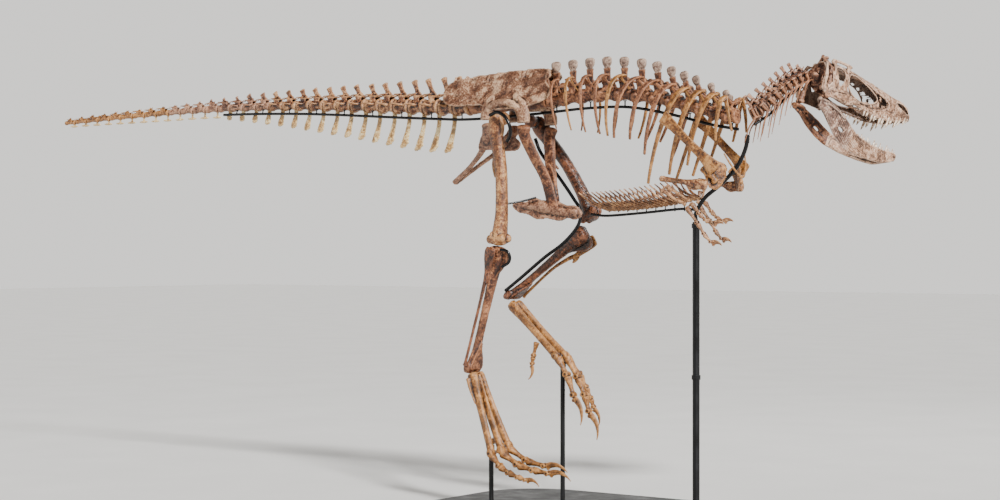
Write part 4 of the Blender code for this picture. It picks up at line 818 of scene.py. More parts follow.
def back_vertebrae():
    """The thirteen back vertebrae, each with its broad, rough-topped spine."""
    low, tips = Clay(), Clay()
    for number in range(1, BACK_BONES + 1):
        pitch = along(BACK_PITCH, number)
        mid = spine_x(back_joint(number) + pitch * 0.5)
        lean = along([(1, -0.020), (4, -0.060), (6, -0.030), (8, -0.006)], number)
        tall = along([(1, 0.130), (4, 0.205), (7, 0.225), (13, 0.235)], number)
        tip = along([(1, 0.042), (4, 0.054), (7, 0.070), (13, 0.074)], number)
        out = along(RIB_SEAT, number)
        vertebra(low, mid, (AHEAD, LEFT, UP), pitch - 0.006, CENTRUM, 0.072,
                 (tall * 0.72, lean * 0.7, tip * 0.84, 0.16),
                 (0.076, out, 0.004, 0.030, 0.036))
        root = mid + Vector((lean * 0.6, 0, tall * 0.62))
        top = mid + Vector((lean, 0, tall - 0.006))
        tips.tube([root, mix(root, top, 0.30), mix(root, top, 0.50), mix(root, top, 0.86), top],
                  [0.012, 0.014, 0.022, 0.027, 0.014], [tip * 0.60, tip * 0.64, tip * 0.92, tip * 1.00,
                                                        tip * 0.76],
                  AHEAD, 14, 5, 0.75)
    nodes = ["rib_cage_left", "rib_cage_right"]
    fossil("back_vertebrae", low, looks("brown"), nodes, 0.0054)
    fossil("back_spine_tips", tips, looks("grey"), nodes, 0.0036, 0.0026)


def rib_path(number, side, count=12):
    """The line of a rib, from its seat beside the arch round and down to its free end."""
    x = back_joint(number) + along(BACK_PITCH, number) * 0.90
    mid = spine_x(x)
    start = mid + Vector((0.004, side * (along(RIB_SEAT, number) + 0.004), 0.110))
    end = Vector((x - along(RIB_BACK, number), side * along(RIB_IN, number), along(RIB_LOW, number)))
    out = 1.16 * along(RIB_OUT, number)
    handle_a = Vector((mix(start.x, end.x, 0.22), side * out, start.z + 0.010))
    handle_b = Vector((mix(start.x, end.x, 0.72), side * out, mix(start.z, end.z, 0.55)))
    path = []
    for k in range(count):
        t = k / (count - 1)
        path.append(start * (1 - t) ** 3 + handle_a * (3 * t * (1 - t) ** 2)
                    + handle_b * (3 * t * t * (1 - t)) + end * t ** 3)
    return mid, path


def rib(clay, number, side):
    """One rib: a forked head, a flattened curved shaft that twists a little, a blunt free end."""
    mid, path = rib_path(number, side)
    stout = along(RIB_STOUT, number)
    last = len(path) - 1
    wide = [stout * mix(0.78, 0.50, k / last) for k in range(last + 1)]
    deep = [stout * along([(0, 1.20), (0.15, 1.60), (0.5, 1.25), (0.9, 0.86), (1, 0.74)], k / last)
            for k in range(last + 1)]
    clay.tube(path, wide, deep, AHEAD, 12, 3, 0.5)
    neck = path[1] - UP * 0.004
    seat = mid + Vector((0.010, side * CENTRUM * 0.50, 0.034))
    clay.tube([neck, mix(neck, seat, 0.5) - UP * 0.004, seat], [stout * 0.62, stout * 0.48, stout * 0.62],
              [stout * 0.95, stout * 0.62, stout * 0.80], AHEAD, 10, 3)
    clay.tube([path[0] - LEFT * (side * 0.006), path[1]], [stout * 0.8, stout * 0.7],
              [stout * 1.25, stout * 1.15], AHEAD, 10, 2)


def build_back():
    """The back vertebrae and both sides of the rib cage."""
    back_vertebrae()
    for side, tag in ((-1, "right"), (1, "left")):
        front, rear = Clay(), Clay()
        for number in range(1, BACK_BONES + 1):
            rib(front if number in (1, 2, 3, 4, 5, 9, 12) else rear, number, side)
        fossil(f"ribs_{tag}_ochre", front, looks("ochre"), [f"rib_cage_{tag}"], 0.0036, 0.0022)
        fossil(f"ribs_{tag}_brown", rear, looks("brown"), [f"rib_cage_{tag}"], 0.0036, 0.0022)


# ---------------------------------------------------------------- neck
def neck_point(t):
    """The middle of the neck at t, from 0 at the chest to 1 at the skull."""
    return smooth(NECK_LINE, t)


def neck_axes(t):
    """The neck's own directions at t: ahead, left and up."""
    run = (neck_point(min(1, t + 0.02)) - neck_point(t - 0.02)).normalized()
    left = UP.cross(run).normalized()
    return run, left, run.cross(left).normalized()


def neck_thick(t):
    """How thick the neck's centra are at t."""
    return mix(0.090, 0.066, t)


def neck_start():
    """The t at which the neck leaves the last back vertebra."""
    t = 0.0
    while neck_point(t).x < back_joint(0) + JOINT:
        t += 0.001
    return t


def neck_rib(clay, mid, axes, side, thick, length):
    """A slender neck rib with a small double head; it trails back and down beside the neck."""
    run, left, rise = axes
    out = left * side
    root = mid + out * 0.054 - rise * (thick * 0.38)
    elbow = root - run * (0.30 * length) - rise * (0.10 * length) + out * 0.005 - UP * (0.14 * length)
    tip = root - run * (0.52 * length) - rise * (0.14 * length) + out * 0.006 - UP * (0.62 * length)
    clay.tube([mid - rise * 0.012 + out * 0.028, root, elbow, mix(elbow, tip, 0.55), tip],
              [0.020, 0.016, 0.010, 0.0075, 0.0050], [0.018, 0.014, 0.010, 0.0075, 0.0055], run, 10, 4)
    clay.tube([root + run * 0.002, mid + out * 0.050 + rise * 0.014], [0.013, 0.016], [0.014, 0.020], run,
              8, 2)
    clay.tube([root - run * 0.010, root + run * 0.034 - rise * 0.004], [0.012, 0.006], [0.014, 0.007], UP,
              8, 2)


def build_neck():
    """The nine neck vertebrae in their two lengths."""
    start = neck_start()
    total = sum(NECK_BONES)
    joints = [mix(start, NECK_END, k / total) for k in range(total + 1)]
    for name, first, last, shade in (("neck_rear", 0, NECK_BONES[0], "mottled"),
                                     ("neck_front", NECK_BONES[0], total, "braincase")):
        bones, slips = Clay(), Clay()
        for k in range(first, last):
            t = (joints[k] + joints[k + 1]) / 2
            mid = neck_point(t)
            axes = neck_axes(t)
            long = (neck_point(joints[k + 1]) - neck_point(joints[k])).length - 0.005
            thick = neck_thick(t)
            tall = along([(0, 0.115), (4, 0.100), (6, 0.112), (7, 0.108), (8, 0.078)], k)
            vertebra(bones, mid, axes, long, thick, thick * 0.62, (tall, -0.010, 0.030, 0.22),
                     (0.020, 0.068, -0.006, 0.004, 0.034), fore=0.20, canal=0.22)
            for side in (-1, 1):
                neck_rib(slips, mid, axes, side, thick, along([(0, 0.150), (3, 0.190), (8, 0.085)], k))
        fossil(f"{name}_vertebrae", bones, looks(shade), [name], 0.0038, 0.0026)
        fossil(f"{name}_ribs", slips, looks("brown"), [name], 0.0030, 0.0009, 0.0005)


# ---------------------------------------------------------------- hips
ILIUM_OUTLINE = [
    (-1.125, 2.585), (-1.105, 2.640), (-1.060, 2.668), (-0.940, 2.688), (-0.748, 2.704),
    (-0.595, 2.712), (-0.400, 2.716), (-0.340, 2.700), (-0.326, 2.660), (-0.352, 2.634),
    (-0.326, 2.606), (-0.300, 2.565), (-0.312, 2.525), (-0.370, 2.500), (-0.440, 2.480),
    (-0.500, 2.470), (-0.690, 2.470), (-0.800, 2.500), (-0.900, 2.505), (-1.020, 2.505),
    (-1.095, 2.530),
]


def ilium_plane(z):
    """How far the middle of the hip blade stands from the midline at height z."""
    return 0.150 - 0.42 * (z - 2.45)


def ilium(side, tag):
    """A hip blade: thin above, thick round the hip socket, with a low crest up its middle."""
    clay = Clay()

    def place(x, z, face):
        crest = 0.010 * max(0, 1 - abs(x + 0.62 + 0.25
                                       * (z - 2.6)) / 0.05) * max(0, min(1, (z - 2.50) / 0.05))
        foot = 0.012 * max(0, 1 - (z - 2.47) / 0.06)
        wavy = 0.003 * sin(46 * x + 20 * z) + 0.002 * sin(90 * z - 31 * x)
        half = 0.0095 + foot + (crest + wavy if face > 0 else 0.5 * wavy)
        return Vector((x, side * (ilium_plane(z) + face * half), z))

    clay.board(round_outline(ILIUM_OUTLINE, 110), place)
    y = side * 0.148
    lean = side * 0.01
    clay.tube([Vector((-0.545, y - lean, 2.560)), Vector((-0.500, y - lean * 0.5, 2.490)),
               Vector((-0.470, y, 2.430)),
               Vector((-0.466, y, 2.380))], [0.010, 0.026, 0.052, 0.062], [0.030, 0.090, 0.094, 0.090],
              AHEAD, 18, 5, 0.1)
    clay.tube([Vector((-0.700, y - lean, 2.560)), Vector((-0.735, y - lean * 0.5, 2.495)),
               Vector((-0.752, y, 2.440)),
               Vector((-0.752, y, 2.408))], [0.010, 0.024, 0.046, 0.054], [0.030, 0.080, 0.078, 0.072],
              AHEAD, 18, 5, 0.1)
    rim = [Vector((-0.620 + 0.142 * cos(a), y + side * 0.010 * sin(a), 2.405 + 0.105 * sin(a)))
           for a in [radians(d) for d in range(15, 170, 14)]]
    clay.tube(rim, [0.048] * len(rim), [0.038] * len(rim), LEFT, 12, 2)
    for k in range(9):
        x = -1.06 + 0.088 * k
        clay.tube([Vector((x, side * (ilium_plane(2.655) + 0.004), 2.655)),
                   Vector((x + 0.006, side * (ilium_plane(2.69) + 0.003), 2.694))],
                  [0.016, 0.018], [0.012, 0.022], AHEAD, 8, 2)
    fossil(f"ilium_{tag}_blade", clay, looks("speckled"), [f"ilium_{tag}"], 0.0050, 0.0050,
           0.0016)


def sacrum():
    """Five joined hip vertebrae: their centra, the ridge of joined spines and the side ribs."""
    clay = Clay()
    joints = [mix(SACRUM_REAR + 0.004, SACRUM_FRONT - 0.004, k / 5) for k in range(6)]
    for a, b in zip(joints, joints[1:]):
        mid = spine_x((a + b) / 2)
        clay.tube([spine_x(a), mid, spine_x(b)], [0.096, 0.080, 0.096], [0.096, 0.080, 0.096], UP, 18, 5, 0.1)
        root = mid + Vector((0, 0, 0.015))
        reach = Vector((0, ilium_plane(mid.z) - 0.028, 0))
        clay.tube([root - reach, root, root + reach], [0.070, 0.046, 0.070], [0.064, 0.046, 0.064], AHEAD,
                  14, 5)
    ridge = round_outline([(-0.955, 2.52), (-0.42, 2.54), (-0.415, 2.704), (-0.60, 2.707), (-0.80, 2.697),
                           (-0.965, 2.672)], 70)
    clay.board(ridge, lambda x, z, face: Vector((x, face * (0.007 + 0.002 * sin(70 * x)), z)))
    fossil("sacrum_bones", clay, looks("brown"), ["sacrum"], 0.0060)


def pubis():
    """Both pubic shafts, the thin apron between them and the long boot under it."""
    clay = Clay()
    for side in (-1, 1):
        clay.tube([Vector((-0.464, side * 0.148, 2.350)), Vector((-0.468, side * 0.134, 2.300)),
                   Vector((-0.430, side * 0.085, 2.170)), Vector((-0.380, side * 0.030, 2.030)),
                   Vector((-0.340, side * 0.008, 1.850))],
                  [0.058, 0.048, 0.040, 0.036, 0.034], [0.094, 0.084, 0.078, 0.076, 0.084], AHEAD, 18, 6, 0.6)
    apron = round_outline([(-0.400, 2.120), (-0.350, 2.090), (-0.305, 1.860), (-0.370, 1.860)], 40)
    clay.board(apron, lambda x, z, face: Vector((x, face * 0.006, z)))
    fossil("pubis_shafts", clay, looks("brown"), ["pubis"], 0.0040)
    boot = round_outline([(-0.652, 1.882), (-0.600, 1.896), (-0.545, 1.902), (-0.500, 1.926), (-0.450, 1.914),
                          (-0.390, 1.900), (-0.320, 1.902), (-0.250, 1.876), (-0.190, 1.872), (-0.148, 1.846),
                          (-0.140, 1.812), (-0.182, 1.786), (-0.240, 1.796), (-0.300, 1.780), (-0.390, 1.794),
                          (-0.470, 1.792), (-0.540, 1.822), (-0.610, 1.838)], 110)
    boot_clay = Clay()
    boot_clay.board(boot, lambda x, z, face: Vector((x, face * 0.011, z)))
    boot_clay.tube([Vector((-0.635, 0, 1.878)), Vector((-0.500, 0, 1.872)), Vector((-0.400, 0, 1.866)),
               Vector((-0.280, 0, 1.836)), Vector((-0.175, 0, 1.824))],
                   [0.024, 0.046, 0.072, 0.050, 0.048], [0.028, 0.056, 0.084, 0.060, 0.064], UP, 18, 5)
    fossil("pubis_boot", boot_clay, looks("mottled"), ["pubis"], 0.0038, 0.0050, 0.0016)


def ischium():
    """Both ischia: broad plates above, slim shafts that join at the tip."""
    clay = Clay()
    plate = round_outline([(-0.790, 2.335), (-0.715, 2.310), (-0.668, 2.270), (-0.690, 2.228),
                           (-0.790, 2.225),
                           (-0.846, 2.237)], 46)
    for side in (-1, 1):
        clay.tube([Vector((-0.750, side * 0.146, 2.376)), Vector((-0.752, side * 0.126, 2.330)),
                   Vector((-0.830, side * 0.080, 2.225)), Vector((-0.960, side * 0.034, 2.125)),
                   Vector((-1.104, side * 0.010, 2.030))],
                  [0.044, 0.036, 0.026, 0.022, 0.024], [0.072, 0.088, 0.044, 0.032, 0.034], AHEAD, 16, 6)
        clay.board(plate, lambda x, z, face, s=side: Vector(
            (x, s * (0.100 + 0.20 * (z - 2.25) + face * 0.006), z)))
    fossil("ischium_bones", clay, looks("mottled"), ["ischium"], 0.0040)


def build_hips():
    """The sacrum and the three pairs of hip bones."""
    sacrum()
    for side, tag in ((-1, "right"), (1, "left")):
        ilium(side, tag)
    pubis()
    ischium()


# ---------------------------------------------------------------- head
def head_frame():
    """The matrix from the skull's own frame to the world."""
    ahead = Vector((cos(HEAD_DROP) * cos(HEAD_TURN), cos(HEAD_DROP) * sin(HEAD_TURN), -sin(HEAD_DROP)))
    left = Vector((-sin(HEAD_TURN), cos(HEAD_TURN), 0))
    up = ahead.cross(left)
    turn = Matrix((ahead * HEAD_STRETCH, left * cos(HEAD_ROLL) - up * sin(HEAD_ROLL),
                   up * cos(HEAD_ROLL) + left * sin(HEAD_ROLL))).transposed().to_4x4()
    return Matrix.Translation(CONDYLE) @ turn


HEAD = head_frame()
HEAD_AHEAD, HEAD_LEFT, HEAD_UP = (HEAD.to_3x3() @ axis for axis in (AHEAD, LEFT, UP))

# Along the skull: lower edge, upper edge, half width below, at the middle and above.
SKULL_LOW = [(-0.046, -0.112), (-0.020, -0.150), (0.020, -0.152), (0.060, -0.145), (0.140, -0.140),
             (0.210, -0.106), (0.290, -0.098), (0.400, -0.094), (0.480, -0.070), (0.560, -0.032),
             (0.610, -0.006), (0.635, 0.004)]
SKULL_HIGH = [(-0.035, 0.074), (0.030, 0.084), (0.080, 0.087), (0.116, 0.092), (0.142, 0.096), (0.175, 0.100),
              (0.320, 0.103), (0.480, 0.092), (0.560, 0.094), (0.605, 0.080), (0.635, 0.044)]
SKULL_WIDE_LOW = [(-0.046, 0.126), (-0.015, 0.142), (0.010, 0.144), (0.100, 0.140), (0.200, 0.114),
                  (0.300, 0.092), (0.450, 0.074), (0.560, 0.056), (0.610, 0.038), (0.635, 0.020)]
SKULL_WIDE_MID = [(-0.046, 0.116), (-0.010, 0.132), (0.020, 0.136), (0.100, 0.128), (0.180, 0.102),
                  (0.300, 0.080), (0.450, 0.066), (0.560, 0.050), (0.610, 0.034), (0.635, 0.016)]
SKULL_WIDE_HIGH = [(-0.035, 0.072), (0.030, 0.088), (0.110, 0.096), (0.150, 0.084), (0.230, 0.056),
                   (0.320, 0.040), (0.480, 0.034), (0.560, 0.030), (0.610, 0.020), (0.635, 0.008)]
JAW_LOW = [(-0.030, -0.226), (0.030, -0.266), (0.080, -0.318), (0.140, -0.366), (0.220, -0.385),
           (0.330, -0.370),
           (0.430, -0.350), (0.520, -0.326), (0.590, -0.284), (0.622, -0.250)]
JAW_HIGH = [(-0.030, -0.184), (0.000, -0.172), (0.080, -0.186), (0.150, -0.206), (0.220, -0.243),
            (0.300, -0.268), (0.420, -0.268), (0.500, -0.252), (0.590, -0.226), (0.622, -0.228)]
JAW_OUT = [(-0.030, 0.140), (0.080, 0.145), (0.200, 0.128), (0.300, 0.104), (0.420, 0.080), (0.520, 0.056),
           (0.590, 0.034), (0.622, 0.019)]
LEFT_JAW_WORN = [(-0.030, 0.020), (0.080, 0.055), (0.140, 0.070), (0.220, 0.056), (0.330, 0.030),
                 (0.520, 0.000)]
JAW_THICK = [(-0.030, 0.030), (0.030, 0.036), (0.140, 0.020), (0.300, 0.026), (0.520, 0.032), (0.590, 0.026),
             (0.622, 0.018)]
TOOTH_LENGTH = [(0.26, 0.030), (0.34, 0.050), (0.43, 0.070), (0.50, 0.058), (0.56, 0.046), (0.61, 0.030)]
UPPER_TEETH, LOWER_TEETH = 13, 13

# Openings and hollows of the skull's side, as outlines of (x, z).
ORBIT = [(0.028, 0.030), (0.036, 0.050), (0.060, 0.058), (0.082, 0.048), (0.091, 0.012), (0.084, -0.028),
         (0.072, -0.058), (0.056, -0.062), (0.038, -0.022)]
ANTORBITAL = [(0.122, 0.040), (0.156, 0.060), (0.206, 0.068), (0.284, 0.054), (0.342, 0.022), (0.357, -0.004),
              (0.330, -0.038), (0.284, -0.061), (0.224, -0.072), (0.160, -0.060), (0.126, -0.032),
              (0.118, 0.006)]
FOSSA = [(0.112, 0.052), (0.160, 0.074), (0.240, 0.080), (0.336, 0.062), (0.416, 0.046), (0.450, 0.018),
         (0.432, -0.022), (0.374, -0.056), (0.304, -0.077), (0.222, -0.085), (0.142, -0.072), (0.112, -0.030)]
TEMPORAL = [(-0.026, 0.040), (-0.010, 0.048), (0.004, 0.036), (0.000, -0.010), (0.006, -0.060),
            (-0.004, -0.084),
            (-0.024, -0.084), (-0.022, -0.050), (-0.030, -0.020), (-0.030, 0.024)]
MAXILLARY = [(0.390, 0.012), (0.400, 0.030), (0.416, 0.034), (0.430, 0.014), (0.420, -0.006), (0.400, -0.008)]
NARIS = [(0.506, 0.058), (0.530, 0.073), (0.566, 0.073), (0.598, 0.058), (0.612, 0.040), (0.600, 0.028),
         (0.560, 0.032), (0.524, 0.042)]
SUTURES = [
    [(0.503, 0.050), (0.492, 0.030), (0.498, -0.010), (0.512, -0.050), (0.510, -0.066)],
    [(0.500, 0.080), (0.440, 0.085), (0.360, 0.091), (0.270, 0.092), (0.160, 0.088)],
    [(0.110, 0.060), (0.104, 0.082), (0.092, 0.090)],
    [(0.024, 0.060), (0.018, 0.070), (0.014, 0.082)],
    [(0.046, -0.070), (0.040, -0.098), (0.046, -0.132)],
    [(0.164, -0.084), (0.196, -0.092), (0.214, -0.104)],
    [(0.000, -0.100), (-0.008, -0.118), (-0.004, -0.142)],
]


def flow(keys, x, reach=0.016):
    """along, with its corners rounded off."""
    return (along(keys, x - reach) + 2 * along(keys, x) + along(keys, x + reach)) / 4


def head(x, y, z):
    """A point of the skull's own frame in the world."""
    return HEAD @ Vector((x, y, z))


def skull_section(x, v):
    """(y, z) on the left side of the skull's skin at x: v runs from the lower edge to the midline."""
    low, high = flow(SKULL_LOW, x), flow(SKULL_HIGH, x)
    a, b, c = (flow(keys, x) for keys in (SKULL_WIDE_LOW, SKULL_WIDE_MID, SKULL_WIDE_HIGH))
    marks = [Vector((a, low, 0)), Vector((mix(a, b, 0.62), mix(low, high, 0.28), 0)),
             Vector((b, mix(low, high, 0.56), 0)), Vector((c * 1.06, mix(high, low, 0.14), 0)),
             Vector((c * 0.60, mix(high, low, 0.015), 0)), Vector((0, high, 0))]
    p = smooth(marks, v)
    return p.x, p.y


def skull_wall(side):
    """The thin walls and the roof of one side of the face, with every opening cut through."""
    us = np.arange(-0.044, 0.634, 0.0030)
    vs = np.linspace(0, 1, 84)
    wide = np.empty((len(us) - 1, len(vs) - 1))
    tall = np.empty_like(wide)
    for i in range(len(us) - 1):
        for j in range(len(vs) - 1):
            wide[i, j], tall[i, j] = skull_section((us[i] + us[i + 1]) / 2, (vs[j] + vs[j + 1]) / 2)
    run = np.repeat(((us[:-1] + us[1:]) / 2)[:, None], len(vs) - 1, axis=1)
    keep = np.ones(wide.shape, bool)
    for outline, count in ((ORBIT, 40), (ANTORBITAL, 50), (TEMPORAL, 50), (MAXILLARY, 20), (NARIS, 30)):
        keep &= ~inside(round_outline(outline, count), run, tall)
    window = round_outline([(-0.022, 0.030), (0.002, 0.020), (0.028, 0.030), (0.032, 0.052), (0.010, 0.064),
                            (-0.018, 0.056)], 24)
    keep &= ~(inside(window, run, wide) & (tall > 0.02))
    keep &= ~((run < -0.024) & (tall > 0.0) & (wide < 0.074))
    fossa = round_outline(FOSSA, 50)

    def place(x, v, face):
        y, z = skull_section(x, v)
        y2, z2 = skull_section(x, min(1, v + 0.01)) if v < 0.99 else (0, z)
        slope = Vector((0, z2 - z, y - y2))
        out = Vector((0, slope.y, slope.z)).normalized() if slope.length > 1e-6 else UP
        thick = along([(0, 0.016), (0.15, 0.009), (0.45, 0.0062), (0.75, 0.0075), (1, 0.010)], v)
        shift = -thick if face < 0 else 0
        if face > 0 and within(fossa, x, z):
            shift = -0.0050
        if face > 0:
            shift += 0.0016 * sin(150 * x + 30 * z) * sin(70 * z) + 0.0012 * sin(61 * x) * (v > 0.8)
        return head(x, side * (y + out.y * shift), z + out.z * shift)

    return place, us, vs, keep


def within(outline, x, z):
    """Whether one place lies inside the outline."""
    hit = False
    for (x0, z0), (x1, z1) in zip(outline, outline[1:] + outline[:1]):
        if (z0 > z) != (z1 > z) and x < x0 + (z - z0) / (z1 - z0) * (x1 - x0):
            hit = not hit
    return hit


def on_wall(x, z, side, lift=0.0):
    """The point of the skull's side at (x, z), lifted outwards."""
    low, high = 0.0, 0.9
    for _ in range(18):
        v = (low + high) / 2
        if skull_section(x, v)[1] < z:
            low = v
        else:
            high = v
    return head(x, side * (skull_section(x, low)[0] + lift), z)


def rim(clay, outline, side, thick, lift=-0.003, part=(0.0, 1.0), count=30):
    """A raised edge that follows part of an opening."""
    ring = round_outline(outline, 60)
    first, last = int(part[0] * 60), int(part[1] * 60)
    spots = [on_wall(*ring[int(mix(first, last, k / count)) % 60], side, lift) for k in range(count + 1)]
    clay.tube(spots, [thick] * len(spots), [thick] * len(spots), HEAD_LEFT, 8, 1)


def face_bones(clay, side):
    """The bars, bosses and lobes that stand out from one side of the face."""
    def bar(places, wide, deep, sides=12):
        clay.tube([head(x, side * y, z) for x, y, z in places], wide, deep, HEAD_LEFT, sides, 5)

    bar([(0.004, 0.088, 0.074), (0.014, 0.104, 0.050), (0.015, 0.124, -0.002), (0.018, 0.134, -0.066),
         (0.028, 0.140, -0.108)], [0.040, 0.022, 0.015, 0.019, 0.036], [0.020, 0.017, 0.013, 0.014, 0.012])
    bar([(0.112, 0.088, 0.088), (0.105, 0.103, 0.056), (0.104, 0.116, 0.006), (0.108, 0.124, -0.052),
         (0.124, 0.128, -0.090)], [0.034, 0.018, 0.014, 0.018, 0.044], [0.022, 0.015, 0.012, 0.012, 0.012])
    bar([(0.004, 0.086, 0.078), (0.036, 0.094, 0.085), (0.076, 0.096, 0.089), (0.116, 0.087, 0.094)],
        [0.022, 0.018, 0.018, 0.022], [0.020, 0.018, 0.018, 0.022])
    clay.ball(head(0.114, side * 0.089, 0.093), HEAD_AHEAD * 0.020, HEAD_LEFT * 0.011, HEAD_UP * 0.010)
    clay.ball(head(0.010, side * 0.090, 0.078), HEAD_AHEAD * 0.019, HEAD_LEFT * 0.012, HEAD_UP * 0.012)
    bar([(0.000, 0.132, -0.112), (0.050, 0.141, -0.122), (0.100, 0.138, -0.116), (0.160, 0.124, -0.100),
         (0.230, 0.106, -0.084)], [0.040, 0.026, 0.042, 0.040, 0.018], [0.010, 0.010, 0.015, 0.014, 0.010])
    for x, z, size in ((0.118, -0.131, 0.012), (0.136, -0.133, 0.014), (0.152, -0.126, 0.011)):
        clay.ball(head(x, side * (flow(SKULL_WIDE_LOW, x) - 0.002), z), HEAD_AHEAD * size, HEAD_LEFT * 0.009,
                  HEAD_UP * size)
    bar([(-0.034, 0.092, 0.050), (-0.040, 0.114, 0.016), (-0.034, 0.126, -0.030), (-0.032, 0.131, -0.080),
         (-0.012, 0.134, -0.132)], [0.022, 0.016, 0.020, 0.018, 0.044], [0.012, 0.011, 0.010, 0.010, 0.016])
    for k in range(15):
        x = 0.262 + 0.0245 * k
        y = flow(SKULL_WIDE_LOW, x)
        z = flow(SKULL_LOW, x)
        clay.ball(head(x, side * (y - 0.008), z + 0.005), HEAD_AHEAD * 0.0105, HEAD_LEFT * 0.0085,
                  HEAD_UP * 0.013)
        clay.ball(head(x + 0.008, side * (y - 0.0165), z + 0.004), HEAD_AHEAD * 0.009, HEAD_LEFT * 0.004,
                  HEAD_UP * 0.010)
    rim(clay, ANTORBITAL, side, 0.0085)
    rim(clay, FOSSA, side, 0.0075, -0.002, (0.18, 0.62))
    rim(clay, ORBIT, side, 0.0080)
    rim(clay, NARIS, side, 0.0065, -0.002)
    clay.tube([on_wall(0.500, 0.080, side, -0.010), on_wall(0.552, 0.089, side, -0.014),
               on_wall(0.606, 0.068, side, -0.010)], [0.007, 0.0065, 0.008], [0.012, 0.009, 0.012], HEAD_UP,
              8, 4)
    clay.tube([head(0.10, side * 0.030, -0.060), head(0.20, side * 0.052, -0.066),
               head(0.32, side * 0.044, -0.060),
               head(0.44, side * 0.026, -0.050), head(0.55, side * 0.014, -0.016)],
              [0.036, 0.030, 0.040, 0.030, 0.018], [0.008, 0.008, 0.010, 0.010, 0.010], HEAD_UP, 10, 4)
    clay.tube([head(0.270, side * 0.044, -0.062), head(0.300, side * 0.066, -0.046),
               head(0.330, side * 0.076, -0.060)],
              [0.024, 0.020, 0.026], [0.010, 0.008, 0.010], HEAD_AHEAD, 8, 4)
    clay.tube([head(0.070, side * 0.050, -0.080), head(0.090, side * 0.084, -0.112),
               head(0.136, side * 0.112, -0.118)],
              [0.030, 0.020, 0.024], [0.010, 0.012, 0.012], HEAD_AHEAD, 8, 4)


def braincase_bones(clay):
    """The occiput with its crest and wings, the condyle, and the columns down to the jaw joint."""
    ring = round_outline([(-0.086, 0.046), (-0.042, 0.070), (-0.022, 0.098), (0.000, 0.112), (0.022, 0.098),
                          (0.042, 0.070), (0.086, 0.046), (0.122, 0.022), (0.128, -0.008), (0.104, -0.022),
                          (0.050, -0.014), (0.046, -0.060), (0.000, -0.072), (-0.046, -0.060),
                          (-0.050, -0.014),
                          (-0.104, -0.022), (-0.128, -0.008), (-0.122, 0.022)], 100)
    hole = round_outline([(-0.013, 0.020), (0.000, 0.034), (0.013, 0.020), (0.000, 0.006)], 20)
    us = np.arange(-0.14, 0.14, 0.003)
    vs = np.arange(-0.08, 0.125, 0.003)
    spots = np.meshgrid(us[:-1] + 0.0015, vs[:-1] + 0.0015, indexing="ij")
    keep = inside(ring, *spots) & ~inside(hole, *spots)

    def place(y, z, face):
        bowl = 0.010 * (abs(y) < 0.035) * cos(y / 0.035 * pi / 2) * (z > 0.03)
        return head(-0.004 - 0.15 * max(0, abs(y) - 0.06) + face * -0.008 + bowl, y, z)

    clay.sheet(place, us, vs, keep)
    clay.ball(head(-0.030, 0, -0.016), HEAD_AHEAD * 0.020, HEAD_LEFT * 0.019, HEAD_UP * 0.017)
    clay.tube([head(-0.026, 0, -0.018), head(0.020, 0, -0.026), head(0.100, 0, -0.030)],
              [0.034, 0.056, 0.046],
              [0.034, 0.060, 0.070], HEAD_LEFT, 14, 5)
    clay.tube([head(0.002, -0.072, 0.054), head(-0.004, -0.034, 0.076), head(-0.006, 0, 0.104),
               head(-0.004, 0.034, 0.076), head(0.002, 0.072, 0.054)], [0.020, 0.022, 0.026, 0.022, 0.020],
              [0.022, 0.028, 0.036, 0.028, 0.022], HEAD_AHEAD, 14, 5)
    clay.tube([head(-0.002, 0, 0.100), head(0.026, 0, 0.082), head(0.080, 0, 0.082)], [0.024, 0.014, 0.026],
              [0.030, 0.032, 0.018], HEAD_UP, 12, 5)
    clay.ball(head(-0.010, 0.012, 0.112), HEAD_AHEAD * 0.013, HEAD_LEFT * 0.011, HEAD_UP * 0.014)
    clay.ball(head(0.002, -0.014, 0.108), HEAD_AHEAD * 0.012, HEAD_LEFT * 0.010, HEAD_UP * 0.010)
    clay.ball(head(0.056, 0, 0.022), HEAD_AHEAD * 0.060, HEAD_LEFT * 0.030, HEAD_UP * 0.052)
    for side in (-1, 1):
        clay.tube([head(0.010, side * 0.020, -0.040), head(0.014, side * 0.030, -0.086)], [0.028, 0.024],
                  [0.030, 0.026], HEAD_AHEAD, 12, 4)
        clay.tube([head(0.060, side * 0.024, -0.044), head(0.084, side * 0.036, -0.090)], [0.020, 0.016],
                  [0.020, 0.016], HEAD_AHEAD, 10, 4)
        clay.tube([head(0.006, side * 0.098, 0.030), head(0.004, side * 0.112, -0.030),
                   head(0.002, side * 0.118, -0.090),
                   head(0.000, side * 0.122, -0.140)], [0.022, 0.018, 0.026, 0.040],
                  [0.038, 0.028, 0.026, 0.036],
                  HEAD_AHEAD, 12, 5)
        for across in (-0.014, 0.016):
            clay.ball(head(-0.001, side * (0.122 + across), -0.154), HEAD_AHEAD * 0.018, HEAD_LEFT * 0.015,
                      HEAD_UP * 0.013)
        clay.tube([head(0.010, side * 0.104, -0.020), head(0.050, side * 0.060, -0.070),
                   head(0.100, side * 0.034, -0.064)],
                  [0.050, 0.040, 0.026], [0.007, 0.007, 0.008], HEAD_LEFT, 10, 4)


